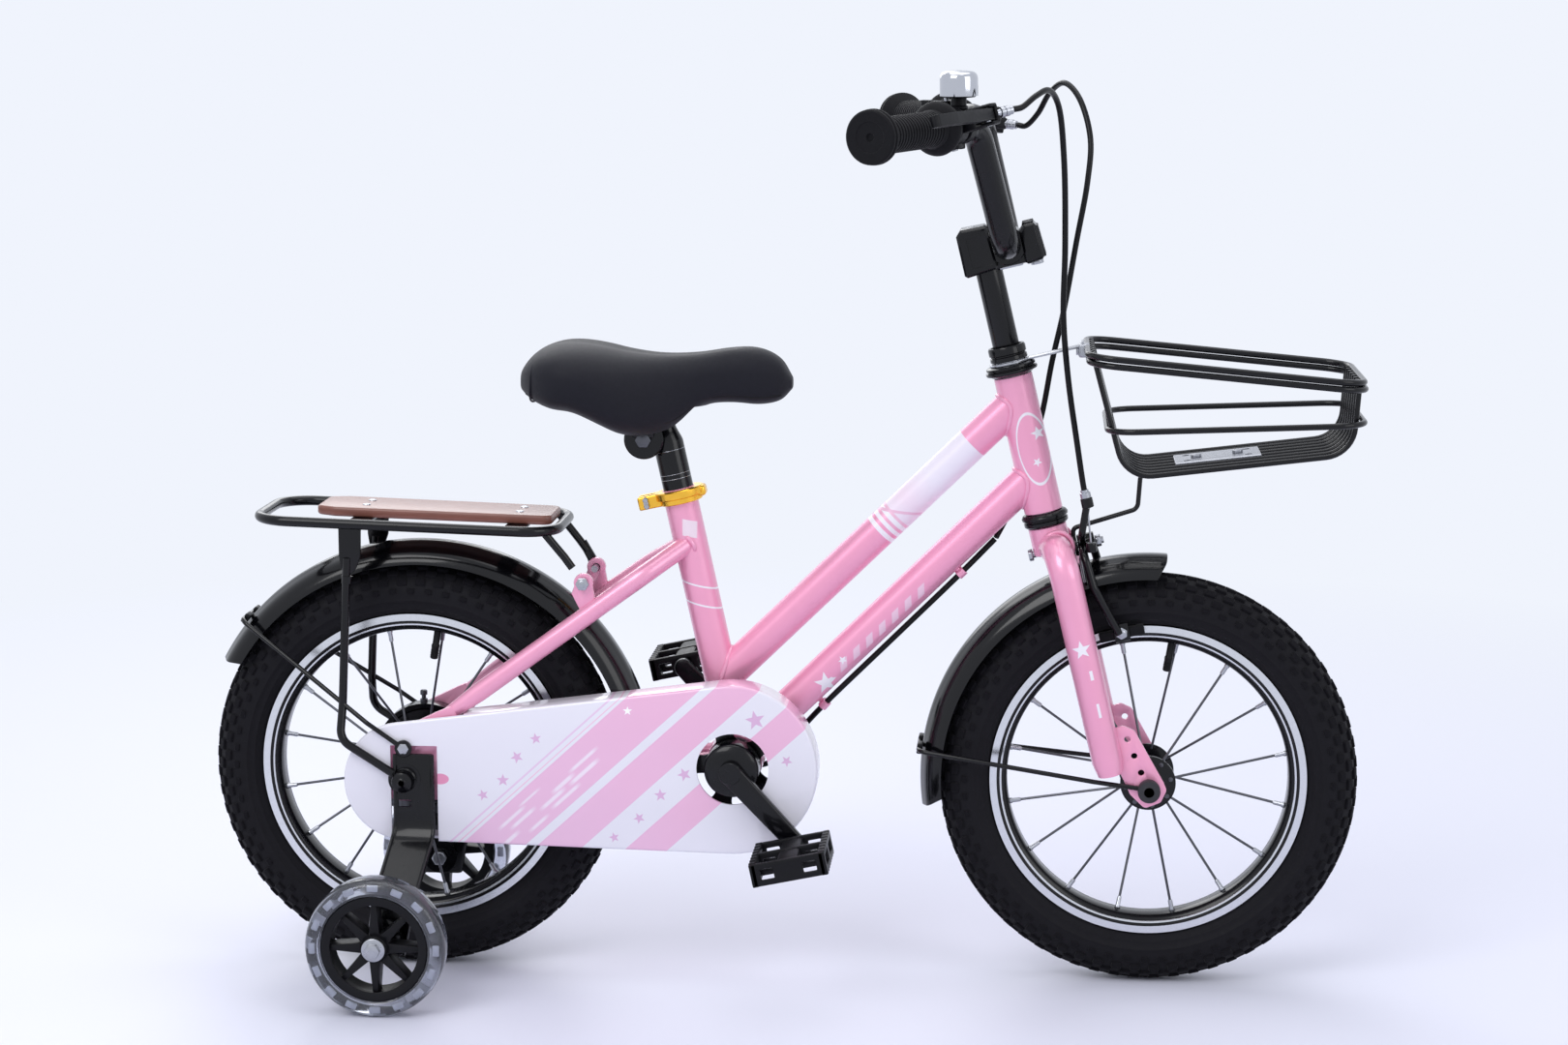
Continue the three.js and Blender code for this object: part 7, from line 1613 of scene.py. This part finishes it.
def toothed(teeth, centre_x, centre_z, bore_radius, windows=0):
    """A sprocket disc with hooked teeth and round windows."""
    pitch_radius = teeth * PITCH / (2 * math.pi)
    outline = []
    for i in range(teeth):
        for share, reach in ((-0.5, -3.4), (-0.36, -3.2), (-0.22, -1.2), (-0.1, 2.8), (0.1, 2.8),
                             (0.22, -1.2), (0.36, -3.2)):
            turn = 2 * math.pi * (i + share) / teeth
            outline.append((centre_x + (pitch_radius + reach) * math.cos(turn),
                            centre_z + (pitch_radius + reach) * math.sin(turn)))
    low, high = CHAIN_Y - 1.3, CHAIN_Y + 1.3
    holes = [rod(at(centre_x, low - 3, centre_z), at(centre_x, high + 3, centre_z), bore_radius)]
    for i in range(windows):
        turn = 2 * math.pi * i / windows
        x, z = centre_x + 33 * math.cos(turn), centre_z + 33 * math.sin(turn)
        holes.append(rod(at(x, low - 3, z), at(x, high + 3, z), 12, sides=40))
    return slab(outline, low, high, edge=0.35, cutters=holes, segments=1)


def make_drive():
    settle(toothed(28, *CRANK, 8.6, 5), "chainring_disc", black_paint, "crank_set", ["chainring"])
    cog = toothed(14, 0, AXLE_Z, 12)
    hub = turned([(12, -45), (17.4, -45), (19.4, -43.8), (19.4, -36.2), (17.4, -35), (12, -35)],
                 axle(0, AXLE_Z), 48)
    settle(join([cog, hub]), "sprocket_disc", dark_steel, "sprocket_body", ["rear_sprocket"])

    loop = belt(0, AXLE_Z, 28.3, *CRANK, 56.6, 60)
    spots = [at(x, CHAIN_Y, z) for x, z in loop]
    spots.append(spots[0])
    lengths = [(b - a).length * 1000 for a, b in zip(spots, spots[1:])]
    total = sum(lengths)
    count = 2 * round(total / PITCH / 2)
    pins = []
    for i in range(count):
        goal, k = total * i / count, 0
        while goal > lengths[k]:
            goal -= lengths[k]
            k += 1
        pins.append(spots[k].lerp(spots[k + 1], goal / lengths[k]))
    plates, rollers = [], []
    link_outline = belt(0, 0, 3.7, PITCH, 0, 3.7, 7)
    for kind, reach in ((0, 2.3), (1, 3.2)):
        pair = [slab(link_outline, side * reach - 0.42, side * reach + 0.42, Matrix.Identity(4), 0)
                for side in (-1, 1)]
        link = join(pair)
        for i in range(kind, count, 2):
            way = pins[(i + 1) % count] - pins[i]
            turn = Matrix.Translation(pins[i]) @ Matrix.Rotation(-math.atan2(way.z, way.x), 4, "Y")
            twin = link.copy()
            twin.data = link.data.copy()
            twin.data.transform(turn)
            bpy.context.scene.collection.objects.link(twin)
            plates.append(twin)
        bpy.data.objects.remove(link)
    roller = turned([(0, -3.9), (1.5, -3.9), (1.5, -2.7), (3.3, -1.8), (3.3, 1.8), (1.5, 2.7), (1.5, 3.9),
                     (0, 3.9)], ACROSS, 10)
    for pin in pins:
        twin = roller.copy()
        twin.data = roller.data.copy()
        twin.data.transform(Matrix.Translation(pin))
        bpy.context.scene.collection.objects.link(twin)
        rollers.append(twin)
    bpy.data.objects.remove(roller)
    settle(join(plates + rollers), "chain_links", chain_steel, "frame_body", ["chain"])

    body = "crank_set"
    angle = math.radians(-47)
    settle(turned([(0, -73.4), (7.4, -73.4), (8.2, -72.6), (8.2, 72.6), (7.4, 73.4), (0, 73.4)],
                  axle(*CRANK), 40), "crank_spindle", steel, body, ["crank"])
    arms = []
    for word, side in SIDES:
        turn = angle if side < 0 else angle + math.pi
        end_x, end_z = CRANK[0] + 80 * math.cos(turn), CRANK[1] + 80 * math.sin(turn)
        low, high = sorted((side * 66.2, side * 74.8))
        arm = slab(belt(*CRANK, 9.4, end_x, end_z, 7.9, 20), low, high, edge=2.2, segments=4)
        arms.append(arm)
        cap = axle(*CRANK, side * 74)
        eye = axle(end_x, end_z, side * 74)
        if side < 0:
            cap = cap @ Matrix.Rotation(math.pi, 4, "X")
            eye = eye @ Matrix.Rotation(math.pi, 4, "X")
        arms.append(turned([(0, -4), (9.4, -4), (9.4, 0.6), (8.8, 1.2), (0, 1.6)], cap, 32))
        pedal_axle = turned([(0, -7.4), (5.6, -7.4), (5.6, 5.6), (5, 6.4), (4.9, 65.4), (4.2, 66), (0, 66)],
                            eye, 24)
        settle(pedal_axle, f"pedal_axle_{word}", steel, body, ["crank"])
    boss = turned([(8.4, -66.4), (14, -66.2), (20.4, -64.6), (22.4, -62.6), (22.8, -60.6), (22.8, -46),
                   (21.8, -44.2), (8.4, -44.2)], axle(*CRANK), 56)
    settle(join(arms + [boss]), "crank_arms", black_paint, body, ["crank"])

    bearings = []
    for side in (-1, 1):
        low, high = sorted((side * 34.3, side * 37.1))
        bearings.append(turned([(8.7, low), (21.4, low), (22, low + 0.6), (22, high - 0.6), (21.4, high),
                                (8.7, high)], axle(*CRANK), 48))
    settle(join(bearings), "crank_bearing_cups", dark_steel, "frame_body", ["bottom_bracket"])


def make_pedals():
    tilt = Matrix.Rotation(math.radians(-12), 4, "Y")
    for word, side in SIDES:
        turn = math.radians(-47) + (math.pi if side > 0 else 0)
        x, z = CRANK[0] + 80 * math.cos(turn), CRANK[1] + 80 * math.sin(turn)
        place = Matrix.Translation(at(x, 0, z)) @ tilt
        body = f"pedal_{word}_body"

        def part(x0, x1, y0, y1, z0, z1, edge=1.4):
            low, high = sorted((side * y0, side * y1))
            return block(x0, x1, low, high, z0, z1, place, edge, 2)
        parts = []
        for x0, x1 in ((-31, -25.4), (25.4, 31)):
            cage = part(x0, x1, 82, 152, -9.6, 9.6, 0)
            cuts = [part(x0 - 2, x1 + 2, y0, y1, -4.6, 4.6, 0) for y0, y1 in ((89, 112), (122, 145))]
            cut(cage, *cuts)
            parts.append(bevel(cage, 1.0, 2))
        for y0, y1 in ((82, 86.4), (114.6, 119.4), (147.6, 152)):
            wall = part(-30, 30, y0, y1, -9.4, 9.4, 0)
            cut(wall, *[part(x0, x1, y0 - 2, y1 + 2, -4.8, 4.2, 0) for x0, x1 in ((-23, -12), (12, 23))])
            parts.append(bevel(wall, 1.0, 2))
        parts.append(part(-9, 9, 82, 148, -8.6, 8.6, 3))
        for x0, x1 in ((-31, -25.8), (25.8, 31)):
            for i in range(8):
                y0 = 84.5 + i * 8.6
                for z0, z1 in ((8.4, 10), (-10, -8.4)):
                    parts.append(part(x0, x1, y0, y0 + 4.2, z0, z1, 0.5))
        settle(join(parts), f"pedal_{word}_cage", black_plastic, body, [f"pedal_{word}"])


def make_rear_brake():
    body = "frame_body"
    cover = turned([(39.8, 31), (43, 30.8), (43.9, 31.6), (44, 34), (44, 47), (43, 48.9), (41, 49.6),
                    (20, 49.6), (18, 48.6), (12.5, 48.6), (12.5, 46.4), (38, 46.2), (39.8, 44.6)],
                   axle(0, AXLE_Z), 72)
    settle(cover, "band_brake_drum_cover", black_paint, body, ["band_brake_cover"])
    rivets = [turned([(0, 49), (2.6, 49), (2.2, 50.1), (0, 50.3)], axle(29 * math.cos(t), AXLE_Z + 29 *
                                                                        math.sin(t)), 20)
              for t in (0.4, 1.6, 2.8, 4.0, 5.2)]
    settle(join(rivets), "band_brake_rivets", steel, body, ["band_brake_cover"])
    arm = slab(belt(8, 138, 6.8, 48, 134, 4.7, 14), 50.4, 52.9, edge=0.5,
               cutters=[rod(at(8, 48, 138), at(8, 56, 138), 3.3)])
    clamp = turned([(0, 49.6), (3.6, 49.6), (3.6, 55.6), (3, 56.2), (0, 56.2)], axle(46, 134.2), 20)
    settle(join([arm, clamp]), "band_brake_lever_arm", steel, "band_brake_body", ["band_brake_arm"])
    pivot = turned([(0, 46), (2.9, 46), (2.9, 53.4), (4.2, 53.5), (4.2, 54.7), (3.6, 55), (0, 55)],
                   axle(8, 138), 20)
    settle(pivot, "band_brake_pivot", steel, body, ["band_brake_cover"])
    settle(pipe([at(66, 56.5, 142), at(50, 55.6, 135.6), at(46, 54.6, 134.2)], 0.8, 3), "rear_inner_wire",
           steel, body, ["rear_brake_cable"])
    oiler = turned([(0, 41), (3.2, 41), (3.2, 46.5), (1.9, 47.2), (1.9, 49.6), (3.1, 50.2), (3.1, 53.4),
                    (2.2, 54.4), (0, 54.6)], Matrix.Translation(at(-3, 40, AXLE_Z)), 24)
    settle(oiler, "band_brake_oiler", dark_steel, body, ["band_brake_cover"])


# ---------------------------------------------------------------- training wheels

def make_trainer_bracket(word, side):
    """A pressed channel: down beside the axle, out, and down again to the small wheel."""
    route = bent([at(8, -60.2, 196), at(8, -60.2, 128), at(2, -122.6, 84), at(-6, -122.6, 41.5)], 26, 9)
    count, across = len(route), 8
    fresh()
    bpy.ops.mesh.primitive_grid_add(x_subdivisions=count - 1, y_subdivisions=across - 1, size=2)
    sheet = bpy.context.object
    for vertex in sheet.data.vertices:
        i = round((vertex.co.x + 1) / 2 * (count - 1))
        j = round((vertex.co.y + 1) / 2 * (across - 1))
        here = route[i]
        way = (route[min(i + 1, count - 1)] - route[max(i - 1, 0)]).normalized()
        outward = Vector((0, way.z, -way.y)).normalized()
        share = i / (count - 1)
        half = (16.4 + 1.2 * math.sin(math.pi * share)) / 1000
        sides = ((-1.0, 6.2), (-1.06, 3.4), (-1.0, 0.8), (-0.84, 0.0), (0.84, 0.0), (1.0, 0.8),
                 (1.06, 3.4), (1.0, 6.2))[j]
        vertex.co = here + Vector((sides[0] * half, 0, 0)) + outward * (sides[1] / 1000)
    tidy_mesh(sheet)
    apply(sheet, "SOLIDIFY", thickness=0.0024, offset=-1)
    bevel(sheet, 0.7, 2, 50)
    hole = rod(at(0, -70, AXLE_Z), at(0, -50, AXLE_Z), 5.2)
    slot = block(-5.5, 5.5, -72, -50, 150.5, 156.5, edge=0)
    cut(sheet, hole, slot)
    settle(on_side(sheet, side), f"trainer_bracket_{word}", black_paint, "frame_body",
           [f"training_bracket_{word}"])
    hub_x, hub_z = -7, 57.5
    face = axle(hub_x, hub_z) @ Matrix.Rotation(math.pi, 4, "X")
    disc = turned([(0, 119), (15, 119), (15, 126.2), (14, 126.8), (9, 127), (9, 139.2), (0, 139.2)], face, 40)
    big = turned([(4.9, 60.9), (13, 60.9), (13.6, 61.4), (13.6, 63), (4.9, 63.2)], axle(0, AXLE_Z)
                 @ Matrix.Rotation(math.pi, 4, "X"), 40)
    nut = turned([(4.9, 62.6), (10.2, 62.6), (10.2, 64.4), (9.2, 65.4), (9.2, 72), (8.4, 74.6), (5.4, 76), (0, 76.4)],
                 axle(0, AXLE_Z) @ Matrix.Rotation(math.pi, 4, "X"), 36)
    settle(on_side(join([disc, big, nut]), side), f"trainer_bosses_{word}", black_paint, "frame_body",
           [f"training_bracket_{word}"])
    bolt = turned([(0, 112), (4.9, 112), (4.9, 165), (0, 165)], face, 24)
    washer = turned([(0, 164.8), (9.6, 164.8), (9.6, 166), (9, 166.4), (0, 166.4)], face, 32)
    head = hexagon(face @ Matrix.Translation((0, 0, 0.1662)), 11.5, 4.6, 1.0)
    inner = hexagon(face @ Matrix.Translation((0, 0, 0.1125)), 12, 5, 0)
    settle(on_side(join([bolt, washer, head, inner]), side), f"trainer_bolt_{word}", steel, "frame_body",
           [f"training_bracket_{word}"])


def make_trainer_wheel(word, side):
    body = f"training_wheel_{word}"
    place = axle(-7, 57.5, 152)
    profile = [(44.4, -11.6), (47, -13.2), (50, -14), (53.4, -13.2), (56, -10.8), (57.3, -7), (57.5, -3),
               (57.5, 3), (57.3, 7), (56, 10.8), (53.4, 13.2), (50, 14), (47, 13.2), (44.4, 11.6)]
    tyre = turned(profile, place, 96)
    settle(on_side(tyre, -side), f"training_tyre_{word}_clear", clear_plastic, body,
           [f"training_tyre_{word}"])
    inserts = []
    for face_side in (-1, 1):
        chip = block(-4.6, 4.6, *sorted((face_side * 9.4, face_side * 11.4)), 48.4, 53.2,
                     Matrix.Translation(at(-7, 152, 57.5)), 0.9, 2)
        inserts += ring(chip, 16, -7, 57.5)
    core = turned([(44.8, -8), (46.6, -8), (46.6, 8), (44.8, 8)], place, 72)
    settle(on_side(join(inserts), -side), f"training_inserts_{word}", pale_insert, body,
           [f"training_tyre_{word}"])
    parts = [core, turned([(36.4, -10.6), (37.2, -11), (43.2, -11), (44.1, -10.2), (44.1, 10.2), (43.2, 11),
                           (37.2, 11), (36.4, 10.6), (38.4, 3), (38.4, -3)], place, 72),
             turned([(5.3, -12.2), (10.2, -12.2), (11, -11.4), (12.6, -4), (12.6, 4), (11, 11.4),
                     (10.2, 12.2), (5.3, 12.2)], place, 40)]
    spoke_outline = rounded([(8, -4.6), (20, -3.6), (39.6, -1.9), (39.6, 1.9), (20, 3.6), (8, 4.6)], 0.8, 2)
    vane = slab(spoke_outline, 144, 160, Matrix.Translation(at(-7, 0, 57.5)), 1.0)
    parts += ring(vane, 8, -7, 57.5)
    settle(on_side(join(parts), -side), f"training_hub_{word}_spokes", black_plastic, body,
           [f"training_hub_{word}"])


make_drive()
make_pedals()
make_rear_brake()
for word, side in SIDES:
    make_trainer_bracket(word, side)
    make_trainer_wheel(word, side)

full_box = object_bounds()
[[list(corner) for corner in box] for box in (cad_box, full_box)]
